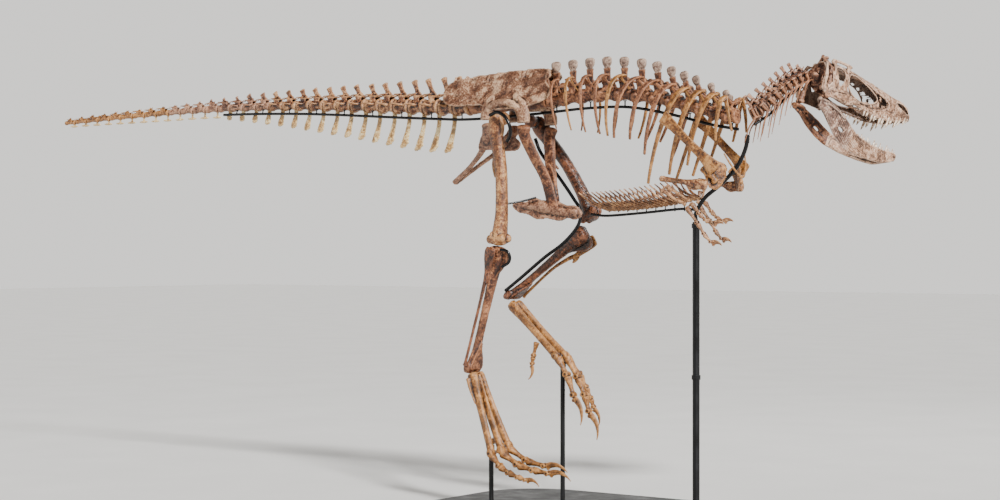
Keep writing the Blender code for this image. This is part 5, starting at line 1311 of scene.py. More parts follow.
def skull_dents(side):
    """The sutures, the nerve openings above the teeth and the pits on one side of the face."""
    dents = []
    for line in SUTURES:
        points = [Vector((x, z, 0)) for x, z in line]
        for k in range(len(line) * 11):
            p = smooth(points, k / (len(line) * 11 - 1))
            wander = 0.0022 * sin(420 * p.x + 300 * p.y)
            dents.append((on_wall(p.x + wander, p.y + wander, side), 0.0036, 0.0026))
    for k in range(17):
        x = 0.262 + 0.0215 * k
        z = flow(SKULL_LOW, x) + 0.024 + 0.004 * sin(3.1 * k)
        dents.append((on_wall(x, z, side), 0.0044, 0.0050))
    for k in range(9):
        x = 0.30 + 0.035 * k
        z = flow(SKULL_LOW, x) + 0.044 + 0.007 * sin(2.3 * k)
        dents.append((on_wall(x, z, side), 0.0040, 0.0034))
    return dents


def tooth_shape(name):
    """One tooth: a curved, slightly flattened cone with a keel in front and behind. Height 1."""
    bm = bmesh.new()
    rings = []
    for k in range(15):
        t = k / 14
        z = mix(-0.30, 1.0, t)
        grown = max(0, z)
        size = 0.5 * (1 - grown ** 1.7) ** 0.62 if z > 0 else 0.5 * (1 + 0.3 * z)
        bend = -0.26 * grown ** 1.8
        ring = []
        for i in range(18):
            a = 2 * pi * i / 18
            keel = 1 + 0.10 * max(0, abs(cos(a)) - 0.93) / 0.07
            ring.append(bm.verts.new((bend + size * keel * cos(a), 0.72 * size * sin(a), z)))
        rings.append(ring)
    for low, high in zip(rings, rings[1:]):
        for i in range(18):
            bm.faces.new((low[i], low[(i + 1) % 18], high[(i + 1) % 18], high[i])).smooth = True
    bm.faces.new(rings[0][::-1])
    bm.faces.new(rings[-1])
    mesh = bpy.data.meshes.new(name)
    bm.to_mesh(mesh)
    bm.free()
    return link(name, mesh)


def upper_teeth():
    """Where each upper tooth stands: (place, aim, fore, scale)."""
    spots = []
    for side in (-1, 1):
        for k in range(UPPER_TEETH):
            x = mix(0.258, 0.616, (k + 0.25 * (k % 2)) / (UPPER_TEETH - 0.75))
            y = flow(SKULL_WIDE_LOW, x) * 0.90
            size = along(TOOTH_LENGTH, x) * (1.0, 0.74, 0.92, 0.60)[(k + side) % 4]
            fat = 0.0115 + 0.0090 * along([(0.25, 0.3), (0.42, 1), (0.62, 0.3)], x)
            aim = (-HEAD_UP - HEAD_AHEAD * 0.05 + HEAD_LEFT * (side * 0.06)).normalized()
            spots.append((head(x, side * y, flow(SKULL_LOW, x) + 0.006), aim, HEAD_AHEAD.normalized(),
                          (fat, fat, size + 0.006)))
    return spots


def jaw_section(side, x):
    """(low, high, outer half width, thickness) of a lower jaw at x."""
    low, high = flow(JAW_LOW, x), flow(JAW_HIGH, x)
    if side > 0:
        low += flow(LEFT_JAW_WORN, x)
    return low, high, flow(JAW_OUT, x), flow(JAW_THICK, x)


def jaw_wall(clay, side, first, last):
    """Part of a lower jaw, from x first to x last, with its openings."""
    us = np.arange(first, last, 0.003)
    vs = np.linspace(0, 1, 46)
    run, part = np.meshgrid(us[:-1] + 0.0015, (vs[:-1] + vs[1:]) / 2, indexing="ij")
    tall = np.empty_like(run)
    for i, x in enumerate(us[:-1]):
        low, high = jaw_section(side, x)[:2]
        tall[i] = mix(low, high, part[i])
    keep = np.ones(run.shape, bool)
    shift = 0.5 * along(LEFT_JAW_WORN, 0.15) if side > 0 else 0
    for outline in ([(0.128, -0.292), (0.148, -0.278), (0.172, -0.288), (0.166, -0.302), (0.142, -0.304)],
                    [(0.050, -0.214), (0.058, -0.207), (0.066, -0.214), (0.058, -0.222)]):
        ring = [(x, z + (shift if x > 0.1 else 0.01 * (side > 0))) for x, z in outline]
        keep &= ~inside(round_outline(ring, 20), run, tall)

    def place(x, v, face):
        low, high, out, thick = jaw_section(side, x)
        swell = along([(0, 0.30), (0.10, 0.72), (0.30, 0.74), (0.60, 0.84), (0.90, 1.0), (1, 0.72)], v)
        bulge = along([(0, -0.25), (0.14, -0.05), (0.5, 0.0), (0.80, 0.04), (1, -0.14)], v) * thick
        ripple = 0.0012 * sin(120 * x + 60 * v) + 0.0010 * sin(47 * x - 9 * v)
        y = out + bulge if face > 0 else out + bulge - thick * swell
        return head(x, side * (y + face * ripple), mix(low, high, v))

    clay.sheet(place, us, vs, keep)


def jaw_rear(side):
    """The rear jaw bones with the joint cup, the shelf above the opening and the rear process."""
    clay = Clay()
    jaw_wall(clay, side, -0.030, 0.242)
    clay.tube([head(-0.026, side * 0.120, -0.188), head(0.004, side * 0.116, -0.186),
               head(0.034, side * 0.116, -0.186)],
              [0.046, 0.060, 0.040], [0.024, 0.026, 0.020], HEAD_UP, 14, 4)
    clay.tube([head(-0.034, side * 0.126, -0.184), head(-0.016, side * 0.126, -0.198)], [0.034, 0.034],
              [0.026, 0.032], HEAD_UP, 12, 4)
    clay.tube([head(0.020, side * 0.146, -0.196), head(0.080, side * 0.148, -0.206),
               head(0.150, side * 0.138, -0.224)],
              [0.012, 0.013, 0.008], [0.014, 0.012, 0.010], HEAD_UP, 10, 4)
    clay.tube([head(0.010, side * 0.110, -0.216), head(0.100, side * 0.122, -0.300 + 0.045 * (side > 0)),
               head(0.210, side * 0.108, -0.352 + 0.045 * (side > 0))], [0.008, 0.008, 0.007],
              [0.020, 0.024, 0.020],
              HEAD_UP, 10, 5)
    return clay


def jaw_front(side):
    """The tooth-bearing front of the lower jaw with its ledge and the plate on its inner face."""
    clay = Clay()
    jaw_wall(clay, side, 0.226, 0.622)
    for k in range(16):
        x = 0.282 + 0.0215 * k
        low, high, out, thick = jaw_section(side, x)
        clay.ball(head(x, side * (out - thick * 0.16), high - 0.002), HEAD_AHEAD * 0.0105, HEAD_LEFT * 0.0055,
                  HEAD_UP * 0.0085)
        clay.ball(head(x + 0.009, side * (out - thick * 0.82), high - 0.002), HEAD_AHEAD * 0.009,
                  HEAD_LEFT * 0.004,
                  HEAD_UP * 0.010)
    plate = [Vector((0.250, -0.300, 0)), Vector((0.330, -0.318, 0)), Vector((0.420, -0.314, 0)),
             Vector((0.500, -0.300, 0))]
    spots = []
    for p in curve(plate, 9):
        low, high, out, thick = jaw_section(side, p.x)
        spots.append(head(p.x, side * (out - thick * 0.92), mix(low, high, 0.42)))
    clay.tube(spots, [0.007] * 9, [0.040, 0.046, 0.046, 0.042, 0.036, 0.030, 0.024, 0.016, 0.008], HEAD_UP,
              12, 2)
    clay.tube([head(0.612, side * 0.016, -0.238), head(0.606, side * 0.018, -0.262)], [0.024, 0.022],
              [0.020, 0.020], HEAD_AHEAD, 12, 4)
    return clay


def jaw_dents(side):
    """The row of nerve openings, the groove and the seam on a lower jaw."""
    dents = []
    for k in range(19):
        x = 0.278 + 0.0185 * k
        low, high, out, thick = jaw_section(side, x)
        dents.append((head(x, side * out, high - 0.016 - 0.003 * sin(2 * k)), 0.0042, 0.0045))
        if k % 2:
            dents.append((head(x, side * out, mix(low, high, 0.24) + 0.006 * sin(3 * k)), 0.0040, 0.0036))
    for k in range(120):
        x = mix(0.250, 0.560, k / 119)
        low, high, out, thick = jaw_section(side, x)
        dents.append((head(x, side * (out - thick * 0.84), mix(low, high, 0.20) + 0.002 * sin(80 * x)),
                      0.0040, 0.0030))
    return dents


def lower_teeth():
    """Where each lower tooth stands: (place, aim, fore, scale)."""
    spots = []
    for side in (-1, 1):
        for k in range(LOWER_TEETH):
            x = mix(0.288, 0.610, (k + 0.2 * (k % 2)) / (LOWER_TEETH - 0.8))
            _, high, out, thick = jaw_section(side, x)
            size = along([(0.28, 0.028), (0.45, 0.052), (0.61, 0.036)], x) * (1.0, 0.70, 0.90,
                                                                              0.55)[(k + side) % 4]
            fat = 0.0105 + 0.0075 * along([(0.28, 0.3), (0.42, 1), (0.61, 0.4)], x)
            aim = (HEAD_UP + HEAD_AHEAD * 0.03).normalized()
            spots.append((head(x, side * (out - thick * 0.46), high - 0.006), aim, HEAD_AHEAD.normalized(),
                          (fat, fat, size + 0.006)))
    return spots


def paint_shade_inside(thing):
    """Mark the walls that face the middle of the head as hollow, so that the bone material paints shade on
    them.
    """
    inverse = HEAD.inverted()
    across = HEAD_LEFT.normalized()
    for vertex, mark in zip(thing.data.vertices, thing.data.attributes["relief"].data):
        y = (inverse @ vertex.co).y
        if abs(y) > 0.010 and vertex.normal.dot(across) * y / abs(y) < -0.30:
            # painted shade: inward-facing walls get a hollow mark, which the bone material darkens as shade
            mark.value = max(mark.value, 0.50)


def build_head():
    """The skull, the lower jaws and all the teeth."""
    face, dents = Clay(), []
    for side in (-1, 1):
        face.sheet(*skull_wall(side))
        face_bones(face, side)
        dents += skull_dents(side)
    for k in range(14):
        x = 0.215 + 0.024 * k
        z = flow(SKULL_HIGH, x) - 0.002
        face.ball(head(x, 0.006 * sin(2.2 * k), z), HEAD_AHEAD * 0.011, HEAD_LEFT * (0.014 + 0.003 * sin(k)),
                  HEAD_UP * (0.0055 + 0.0012 * sin(1.7 * k)))
    face.tube([head(0.600, 0, 0.070), head(0.622, 0, 0.040), head(0.620, 0, 0.006)], [0.030, 0.030, 0.030],
              [0.024, 0.020, 0.022], HEAD_AHEAD, 12, 4)
    paint_shade_inside(fossil("skull_face", face, looks("skull"), ["skull"], 0.0033, 0.0016, 0.0008, 1,
                      dents))
    rear = Clay()
    braincase_bones(rear)
    fossil("skull_braincase", rear, looks("braincase"), ["skull"], 0.0030, 0.0022, 0.0010)
    for side, tag in ((-1, "right"), (1, "left")):
        node_name = f"mandible_{tag}"
        seam = [(head(0.236 + 0.004 * sin(90 * z), side * (flow(JAW_OUT, 0.236) + 0.0), z), 0.004, 0.003)
                for z in [mix(-0.385, -0.245, k / 50) for k in range(51)]]
        fossil(f"jaw_rear_{tag}", jaw_rear(side), looks("jaw" if side < 0 else "brown"), [node_name],
               0.0030, 0.0020, 0.0009,
               1, seam)
        fossil(f"jaw_front_{tag}", jaw_front(side), looks("skull"), [node_name], 0.0030, 0.0014,
               0.0007, 1, jaw_dents(side))
    copies("teeth_upper", tooth_shape("upper tooth"), upper_teeth(), looks("enamel"), ["skull"],
           3, 0.08)
    copies("teeth_lower", tooth_shape("lower tooth"), lower_teeth(), looks("enamel"),
           ["mandible_left", "mandible_right"], 5, 0.08)


# ---------------------------------------------------------------- legs
RIGHT_KNEE, RIGHT_ANKLE = Vector((-0.590, -0.222, 1.642)), Vector((-0.795, -0.226, 0.880))
RIGHT_SHIN_TOP = Vector((-0.592, -0.222, 1.612))
RIGHT_FOOT_TOP = Vector((-0.768, -0.226, 0.826))
RIGHT_FOOT_ENDS = [Vector((-0.555, -0.174, 0.392)), Vector((-0.568, -0.228, 0.366)),
                   Vector((-0.610, -0.276, 0.348))]
LEFT_KNEE, LEFT_ANKLE = Vector((-0.196, 0.222, 1.800)), Vector((-0.812, 0.222, 1.318))
LEFT_SHIN_TOP = Vector((-0.262, 0.222, 1.712))
LEFT_FOOT_TOP = Vector((-0.790, 0.222, 1.250))
LEFT_FOOT_ENDS = [Vector((-0.428, 0.166, 0.932)), Vector((-0.400, 0.224, 0.936)),
                  Vector((-0.424, 0.278, 0.918))]


def limb_axes(top, end, forward, side):
    """A long bone's own directions: down, front and outwards."""
    down = (end - top).normalized()
    front = (forward - down * forward.dot(down)).normalized()
    aside = down.cross(front)
    return down, front, aside * (1 if aside.y * side > 0 else -1)


def femur(side, tag, knee, forward):
    """The thigh bone: its head, both trochanters, a bowed shaft and the two knee condyles."""
    hip = mirrored(HIP, side)
    top = hip + Vector((-0.010, side * 0.062, 0.004))
    down, front, aside = limb_axes(top, knee, forward, side)
    clay = Clay()
    shaft = [top - down * 0.014, top + down * 0.05, top + down * 0.16 + front * 0.010,
             mix(top, knee, 0.45) + front * 0.030, mix(top, knee, 0.75) + front * 0.022,
             mix(top, knee, 0.93), knee]
    clay.tube(shaft, [0.050, 0.060, 0.070, 0.074, 0.078, 0.108, 0.104],
              [0.076, 0.104, 0.090, 0.078, 0.082, 0.092, 0.072],
              front, 22, 6, 0.4)
    clay.tube([top + down * 0.030, mix(top, hip, 0.6) + UP * 0.002, hip + UP * 0.002], [0.062, 0.062, 0.070],
              [0.070, 0.060, 0.074], UP, 18, 5, 0.4)
    clay.ball(hip - LEFT * (side * 0.008), AHEAD * 0.043, LEFT * 0.042, UP * 0.043, 12)
    clay.tube([top + front * 0.040 + down * 0.006, top + front * 0.058 + down * 0.060 + aside * 0.006,
               top + front * 0.040 + down * 0.150], [0.026, 0.022, 0.016], [0.034, 0.030, 0.020], aside, 12,
              5)
    clay.tube([mix(top, knee, 0.30) - front * 0.030 - aside * 0.016,
               mix(top, knee, 0.38) - front * 0.040 - aside * 0.020,
               mix(top, knee, 0.47) - front * 0.028 - aside * 0.016], [0.012, 0.018, 0.012],
              [0.020, 0.028, 0.018],
              front, 10, 5)
    for across, size in ((-1, 0.054), (1, 0.048)):
        knob = knee + aside * (across * 0.032) - down * 0.030
        clay.tube([knob + front * 0.040, knob + down * 0.004 - front * 0.004,
                   knob - front * 0.056 + down * 0.002],
                  [size * 0.86, size, size * 0.86], [0.054, 0.066, 0.056], down, 16, 5, 0.9)
    clay.tube([knee + aside * 0.054 - down * 0.034 - front * 0.030,
               knee + aside * 0.050 - down * 0.070 - front * 0.026],
              [0.020, 0.012], [0.026, 0.016], front, 10, 4)
    dents = [(mix(top, knee, t) + front * 0.048 + aside * (0.018 * sin(40 * t)), 0.0050, 0.0030)
             for t in [0.50 + 0.004 * k for k in range(80)]]
    fossil(f"femur_{tag}_bone", clay, looks("dark" if side > 0 else "golden"), [f"femur_{tag}"],
           0.0046,
           0.0034, 0.0012, 2, dents)


def tibia(side, tag, knee, ankle, forward):
    """The shin bone with its crest, and the two ankle bones joined to its foot."""
    down, front, aside = limb_axes(knee, ankle, forward, side)
    clay = Clay()
    path = [knee + down * 0.004, knee + down * 0.035, knee + down * 0.16, mix(knee, ankle, 0.5),
            ankle - down * 0.14,
            ankle - down * 0.040, ankle - down * 0.010]
    clay.tube(path, [0.082, 0.088, 0.062, 0.052, 0.064, 0.112, 0.108],
              [0.112, 0.120, 0.074, 0.054, 0.046, 0.050, 0.050],
              front, 22, 6, 0.4)
    crest = round_outline([(0.000, 0.030), (0.006, 0.078), (0.050, 0.094), (0.100, 0.074), (0.150, 0.042),
                           (0.200, 0.020), (0.100, 0.000)], 50)
    clay.board(crest, lambda s, f, face: knee + down * s + front * f + aside * (
        0.012 + 0.25 * max(0, f - 0.05) + face * (0.009 + 0.006 * (s < 0.05))), 0.004)
    clay.tube([knee + down * 0.010 - front * 0.030 + aside * 0.030,
               knee + down * 0.046 - front * 0.030 + aside * 0.034,
               knee + down * 0.080 - front * 0.020 + aside * 0.026], [0.044, 0.040, 0.022],
              [0.050, 0.044, 0.026], front, 14, 4)
    clay.tube([mix(knee, ankle, 0.20) + aside * 0.030, mix(knee, ankle, 0.30) + aside * 0.032,
               mix(knee, ankle, 0.40) + aside * 0.022], [0.012, 0.016, 0.010], [0.016, 0.018, 0.012], front,
              8, 4)
    tongue = round_outline([(-0.165, 0.006), (-0.110, 0.026), (-0.060, 0.044), (0.000, 0.056), (0.006, 0.000),
                            (0.000, -0.056), (-0.060, -0.048), (-0.120, -0.018), (-0.160, -0.010)], 50)
    clay.board(tongue, lambda s, a, face: ankle + down * s + aside * a
               + front * (0.0315 + 0.02 * max(0, s + 0.06) if face > 0 else 0.014), 0.004)
    clay.tube([ankle - aside * 0.062 - down * 0.002, ankle - aside * 0.030, ankle - down * 0.004,
               ankle + aside * 0.030, ankle + aside * 0.062 - down * 0.002],
              [0.048, 0.056, 0.044, 0.056, 0.048],
              [0.074, 0.078, 0.064, 0.078, 0.072], down, 18, 5, 0.4)
    seam = [(ankle + down * (-0.16 * (1 - abs(t)) - 0.006) + aside * (0.052 * t) + front * 0.034, 0.0050,
             0.0036)
            for t in [k / 50 for k in range(-50, 51)]]
    seam += [(ankle + aside * 0.034 + down * s + front * 0.036, 0.0045, 0.0034)
             for s in (-0.02, -0.012, -0.004, 0.004, 0.012)]
    fossil(f"tibia_{tag}_bone", clay, looks("dark" if side > 0 else "brown"), [f"tibia_{tag}"],
           0.0040,
           0.0030, 0.0011, 2, seam)


def fibula(side, tag, knee, ankle, forward, ahead=0.0):
    """The thin bone along the outside of the shin: a broad head, a knob and a slim shaft."""
    down, front, aside = limb_axes(knee, ankle, forward, side)
    knee = knee + front * ahead
    ankle = ankle + front * (ahead * 0.4)
    clay = Clay()
    clay.tube([knee + aside * 0.071 + down * 0.006 - front * 0.012,
               knee + aside * 0.068 + down * 0.050 - front * 0.016,
               knee + aside * 0.062 + down * 0.160 - front * 0.010,
               mix(knee, ankle, 0.35) + aside * 0.055 - front * 0.014,
               mix(knee, ankle, 0.55) + aside * 0.050 - front * 0.020,
               ankle + aside * 0.080 - down * 0.060 - front * 0.004,
               ankle + aside * 0.082 - down * 0.014 - front * 0.002],
              [0.022, 0.022, 0.019, 0.016, 0.015, 0.016, 0.024],
              [0.074, 0.082, 0.038, 0.028, 0.022, 0.022, 0.034],
              front, 16, 6, 0.5)
    clay.ball(knee + aside * 0.066 + down * 0.190 + front * 0.008, down * 0.034, front * 0.012, aside * 0.010)
    dents = [(knee + aside * 0.058 + down * (0.02 + 0.003 * k) - front * 0.016, 0.012, 0.0022)
             for k in range(20)]
    fossil(f"fibula_{tag}_bone", clay, looks("ochre" if side > 0 else "dark"), [f"fibula_{tag}"],
           0.0032,
           0.0022, 0.0009, 2, dents)


def metatarsus(side, tag, top, ends, forward):
    """The three long foot bones, pinched close together, their ankle discs and a splint behind."""
    down, front, aside = limb_axes(top, ends[1], forward, side)
    clay, dents = Clay(), []
    for k, end in enumerate(ends):
        start = top + aside * ((k - 1) * 0.036)
        pinch = 0.55 if k == 1 else 1.0
        path = [start, mix(start, end, 0.22), mix(start, end, 0.45), mix(start, end, 0.70),
                mix(start, end, 0.88),
                end - down * 0.014]
        clay.tube(path, [0.046 * (0.8 if k == 1 else 1), 0.038 * pinch, 0.037 * (0.8 if k == 1 else 1),
                         0.038, 0.042, 0.042],
                  [0.074, 0.058, 0.050, 0.048, 0.050, 0.046], front, 18, 5, 0.4)
        roller = end - down * 0.016
        clay.tube([roller - aside * 0.020, roller, roller + aside * 0.020], [0.046, 0.041, 0.046],
                  [0.060, 0.054, 0.060],
                  down, 16, 4, 0.5)
        for across in (-1, 1):
            dents += [(roller + aside * (across * 0.022) - front * 0.002, 0.013, 0.0055)]
        dents += [(roller - down * (0.030 + 0.002 * j) + front * 0.024, 0.010, 0.0016) for j in range(5)]
    clay.tube([top + aside * 0.062 - front * 0.022 + down * 0.010,
               top + aside * 0.066 - front * 0.030 + down * 0.080,
               top + aside * 0.060 - front * 0.034 + down * 0.168], [0.028, 0.014, 0.007],
              [0.028, 0.016, 0.008], front, 10, 5)
    for across in (-0.030, 0.032):
        clay.tube([top + aside * across - down * 0.016, top + aside * across + down * 0.006], [0.054, 0.058],
                  [0.066, 0.070], front, 16, 4, 0.3)
    fossil(f"metatarsus_{tag}_bones", clay, looks("ochre"), [f"metatarsus_{tag}"], 0.0042,
           0.0026, 0.0010,
           2, dents)


def phalanx(clay, dents, a, b, size, rise):
    """One toe or finger bone: a broad cupped base, a waist and a grooved roller."""
    run = (b - a).normalized()
    up = (rise - run * rise.dot(run)).normalized()
    across = up.cross(run).normalized()
    a = a + run * 0.0022
    clay.tube([a, mix(a, b, 0.14), mix(a, b, 0.45), mix(a, b, 0.72), b - run * (size * 0.34)],
              [size * 0.98, size * 0.94, size * 0.64, size * 0.62, size * 0.74],
              [size * 0.96, size * 0.88, size * 0.58, size * 0.56, size * 0.62], up, 16, 4, 0.25)
    hub = b - run * (size * 0.33)
    wide = size * 0.36
    clay.tube([hub - across * wide, hub, hub + across * wide], [size * 0.66, size * 0.56, size * 0.66],
              [size * 0.72, size * 0.60, size * 0.72], up, 16, 4, 0.35)
    for end in (-1, 1):
        dents.append((hub + across * (end * wide * 1.15), size * 0.20, size * 0.11))


def talon(clay, dents, root, tip, size, rise):
    """A curved claw: a deep base with a knob under it, a groove along each side, a sharp tip."""
    run = (tip - root).normalized()
    up = (rise - run * rise.dot(run)).normalized()
    across = up.cross(run).normalized()
    root = root + run * 0.0022
    bow = up * ((tip - root).length * 0.17)
    spots = [root, mix(root, tip, 0.18) + bow * 0.62, mix(root, tip, 0.45) + bow,
             mix(root, tip, 0.76) + bow * 0.68,
             tip - run * 0.004]
    clay.tube(spots, [size * 0.56, size * 0.52, size * 0.42, size * 0.25, 0.005],
              [size * 0.94, size * 0.86, size * 0.62, size * 0.36, 0.006], up, 16, 5, 0.3)
    clay.ball(root + run * (size * 0.30) - up * (size * 0.28), run * (size * 0.26), across * (size * 0.20),
              up * (size * 0.16))
    for end in (-1, 1):
        for k in range(26):
            p = smooth(spots, 0.22 + 0.024 * k)
            half = along([(0.2, 0.26), (0.5, 0.21), (0.9, 0.10)], 0.22 + 0.024 * k) * size
            dents.append((p + across * (end * half), size * 0.075, size * 0.045))


def toe_root(top, ends, number):
    """Where a toe starts: just past the end of its foot bone."""
    return ends[number] + (ends[number] - top).normalized() * 0.004


def digit(name, joints, tip, thick, rise, look="ochre", voxel=0.0028):
    """A whole toe: its separate bones through the joints and the claw."""
    clay, dents = Clay(), []
    for k, (a, b) in enumerate(zip(joints, joints[1:])):
        phalanx(clay, dents, a, b, thick * (1 - 0.09 * k), rise)
    talon(clay, dents, joints[-1], tip, thick * (1 - 0.07 * len(joints)), rise)
    fossil(f"{name}_bones", clay, looks(look), [name], voxel, 0.0016, 0.0008, 1, dents)


def build_legs():
    """Both legs: the right one pushed back and level, the left one swung forward and hanging."""
    femur(-1, "right", RIGHT_KNEE, AHEAD)
    tibia(-1, "right", RIGHT_SHIN_TOP, RIGHT_ANKLE, AHEAD)
    fibula(-1, "right", RIGHT_SHIN_TOP, RIGHT_ANKLE, AHEAD)
    metatarsus(-1, "right", RIGHT_FOOT_TOP, RIGHT_FOOT_ENDS, AHEAD)
    femur(1, "left", LEFT_KNEE, Vector((0.6, 0, 0.8)))
    tibia(1, "left", LEFT_SHIN_TOP, LEFT_ANKLE, Vector((0.6, 0, -0.8)))
    fibula(1, "left", LEFT_SHIN_TOP, LEFT_ANKLE, Vector((0.6, 0, -0.8)), 0.066)
    metatarsus(1, "left", LEFT_FOOT_TOP, LEFT_FOOT_ENDS, Vector((0.5, 0, 0.8)))
    top, ends = RIGHT_FOOT_TOP, RIGHT_FOOT_ENDS
    digit("toe_2_right", [toe_root(top, ends, 0), Vector((-0.430, -0.158, 0.315)),
                          Vector((-0.300, -0.145, 0.292))], Vector((-0.150, -0.132, 0.262)), 0.056, UP)
    digit("toe_3_right", [toe_root(top, ends, 1), Vector((-0.440, -0.230, 0.294)),
                          Vector((-0.320, -0.234, 0.272)), Vector((-0.210, -0.238, 0.262))],
          Vector((-0.050, -0.244, 0.226)), 0.060, UP)
    digit("toe_4_right", [toe_root(top, ends, 2), Vector((-0.530, -0.296, 0.284)),
                          Vector((-0.450, -0.310, 0.252)), Vector((-0.375, -0.320, 0.234)),
                          Vector((-0.315, -0.328, 0.224))], Vector((-0.212, -0.342, 0.192)), 0.053, UP)
    digit("toe_1_right", [Vector((-0.664, -0.148, 0.470)), Vector((-0.698, -0.136, 0.425))],
          Vector((-0.738, -0.128, 0.352)), 0.038, Vector((-0.8, 0, 0.6)), voxel=0.0022)
    level = Vector((1, 0, 0.2)).normalized()
    top, ends = LEFT_FOOT_TOP, LEFT_FOOT_ENDS
    digit("toe_2_left", [toe_root(top, ends, 0), Vector((-0.348, 0.162, 0.815)),
                         Vector((-0.302, 0.160, 0.690))], Vector((-0.252, 0.158, 0.516)), 0.058, level)
    digit("toe_3_left", [toe_root(top, ends, 1), Vector((-0.312, 0.226, 0.800)),
                         Vector((-0.264, 0.228, 0.690)), Vector((-0.234, 0.230, 0.590))],
          Vector((-0.180, 0.232, 0.424)), 0.062, level)
    digit("toe_4_left", [toe_root(top, ends, 2), Vector((-0.342, 0.292, 0.815)),
                         Vector((-0.302, 0.300, 0.735)), Vector((-0.270, 0.305, 0.668)),
                         Vector((-0.250, 0.308, 0.615))], Vector((-0.218, 0.312, 0.506)), 0.054, level)
    digit("toe_1_left", [Vector((-0.572, 0.144, 1.024)), Vector((-0.596, 0.138, 0.930)),
                         Vector((-0.604, 0.138, 0.880))], Vector((-0.634, 0.138, 0.786)), 0.040, level,
          voxel=0.0022)


# ---------------------------------------------------------------- shoulders, arms and belly ribs
SHOULDER = Vector((0.885, 0.150, 2.000))


def scapula(side, tag):
    """The long shoulder blade and, joined to it, the coracoid that turns in to the breast."""
    clay = Clay()
    line = [Vector((0.560, 0.208, 2.372)), Vector((0.620, 0.206, 2.320)), Vector((0.720, 0.202, 2.225)),
            Vector((0.820, 0.190, 2.130)), Vector((0.880, 0.172, 2.062))]
    clay.tube([mirrored(p, side) for p in line], [0.012, 0.014, 0.017, 0.021, 0.034],
              [0.086, 0.068, 0.052, 0.066, 0.106], Vector((1, 0, 1)), 20, 7, 0.8)
    ring = round_outline([(0.785, 2.060), (0.835, 2.100), (0.870, 2.110), (0.904, 2.085), (0.906, 2.040),
                          (0.900, 2.005),
                          (0.872, 1.948), (0.844, 1.955), (0.830, 1.985), (0.812, 2.030)], 60)
    clay.board(ring, lambda x, z, face: mirrored(
        (x, 0.165 - 1.15 * max(0, x - 0.835) + face * 0.0095, z), side), 0.004)
    clay.tube([mirrored((0.842, 0.160, 2.035), side), mirrored((0.872, 0.148, 1.990), side)],
              [0.044, 0.036], [0.050, 0.046], UP, 14, 5, 0.5)
    dents = [(mirrored((0.862, 0.150, 2.060), side), 0.006, 0.006)]
    dents += [(mirrored((0.846, 0.172, 1.998), side), 0.018, 0.006)]
    fossil(f"scapula_{tag}_bone", clay, looks("ochre"), [f"scapula_{tag}"], 0.0034, 0.0026,
           0.0010, 2, dents)


def arm(side, tag):
    """The upper arm, the two forearm bones and the two-fingered hand."""
    top = mirrored(SHOULDER + Vector((-0.040, 0.062, -0.030)), side)
    elbow = mirrored((0.560, 0.215, 2.012), side)
    wrist = mirrored((0.720, 0.205, 1.872) if side < 0 else (0.585, 0.172, 1.892), side)
    clay = Clay()
    clay.tube([top, mix(top, elbow, 0.16), mix(top, elbow, 0.45), mix(top, elbow, 0.80), elbow],
              [0.036, 0.032, 0.026, 0.030, 0.048], [0.058, 0.062, 0.034, 0.032, 0.036], UP, 18, 6, 0.7)
    clay.tube([mix(top, elbow, 0.12) - UP * 0.022, mix(top, elbow, 0.28) - UP * 0.030,
               mix(top, elbow, 0.42) - UP * 0.014],
              [0.012, 0.014, 0.010], [0.014, 0.020, 0.012], UP, 10, 5)
    for across in (-1, 1):
        clay.ball(elbow + LEFT * (across * 0.012) + AHEAD * 0.004, AHEAD * 0.017, LEFT * 0.012, UP * 0.018)
    fossil(f"humerus_{tag}_bone", clay, looks("tawny"), [f"humerus_{tag}"], 0.0026, 0.0018,
           0.0008)
    lower = Vector((0.6, 0, -0.8))
    for name, shift, thick in (("ulna", -0.016, 0.024), ("radius", 0.016, 0.019)):
        clay = Clay()
        start = elbow + Vector((0.016, side * 0.002, -0.056)) + Vector((0.8, 0, 0.6)) * (shift * 1.1)
        end = wrist + Vector((0.8, 0, 0.6)) * shift
        bow = Vector((0.8, 0, 0.6)) * (shift * 0.35)
        clay.tube([start, mix(start, end, 0.25), mix(start, end, 0.55) + bow, mix(start, end, 0.82), end],
                  [thick * 1.2, thick * 0.84, thick * 0.66, thick * 0.76, thick * 1.05],
                  [thick * 1.36, thick * 0.92, thick * 0.70, thick * 0.78, thick * 1.05], lower, 14, 5, 0.5)
        fossil(f"{name}_{tag}_bone", clay, looks("tawny"), [f"{name}_{tag}"], 0.0022, 0.0012,
               0.0006)
    run, cross = Vector((0.62, 0, -0.78)), Vector((0.78, 0, 0.62))
    palm = wrist + run * 0.030
    clay, dents = Clay(), []
    for k in (-1, 1):
        clay.ball(palm + cross * (0.016 * k) - run * 0.006, cross * 0.017, run * 0.010, LEFT * 0.012, 8)
    for shift, long, lift in ((-0.020, 0.112, 0.0), (0.022, 0.078, 0.014)):
        start = palm + cross * shift
        knuckle = start + run * long
        second = knuckle + Vector((0.040, side * -0.004, -0.062 + lift * 2))
        third = second + Vector((0.044, side * -0.004, -0.046 + lift * 2))
        tip = third + Vector((0.068, side * -0.004, -0.016 + lift))
        for a, b, size in ((start, knuckle, 0.034), (knuckle, second, 0.032), (second, third, 0.030)):
            phalanx(clay, dents, a, b, size, cross)
        talon(clay, dents, third, tip, 0.036, Vector((0.2, 0, 1)))
    fossil(f"hand_{tag}_bones", clay, looks("tawny"), [f"hand_{tag}"], 0.0022, 0.0010, 0.0005,
           1, dents)


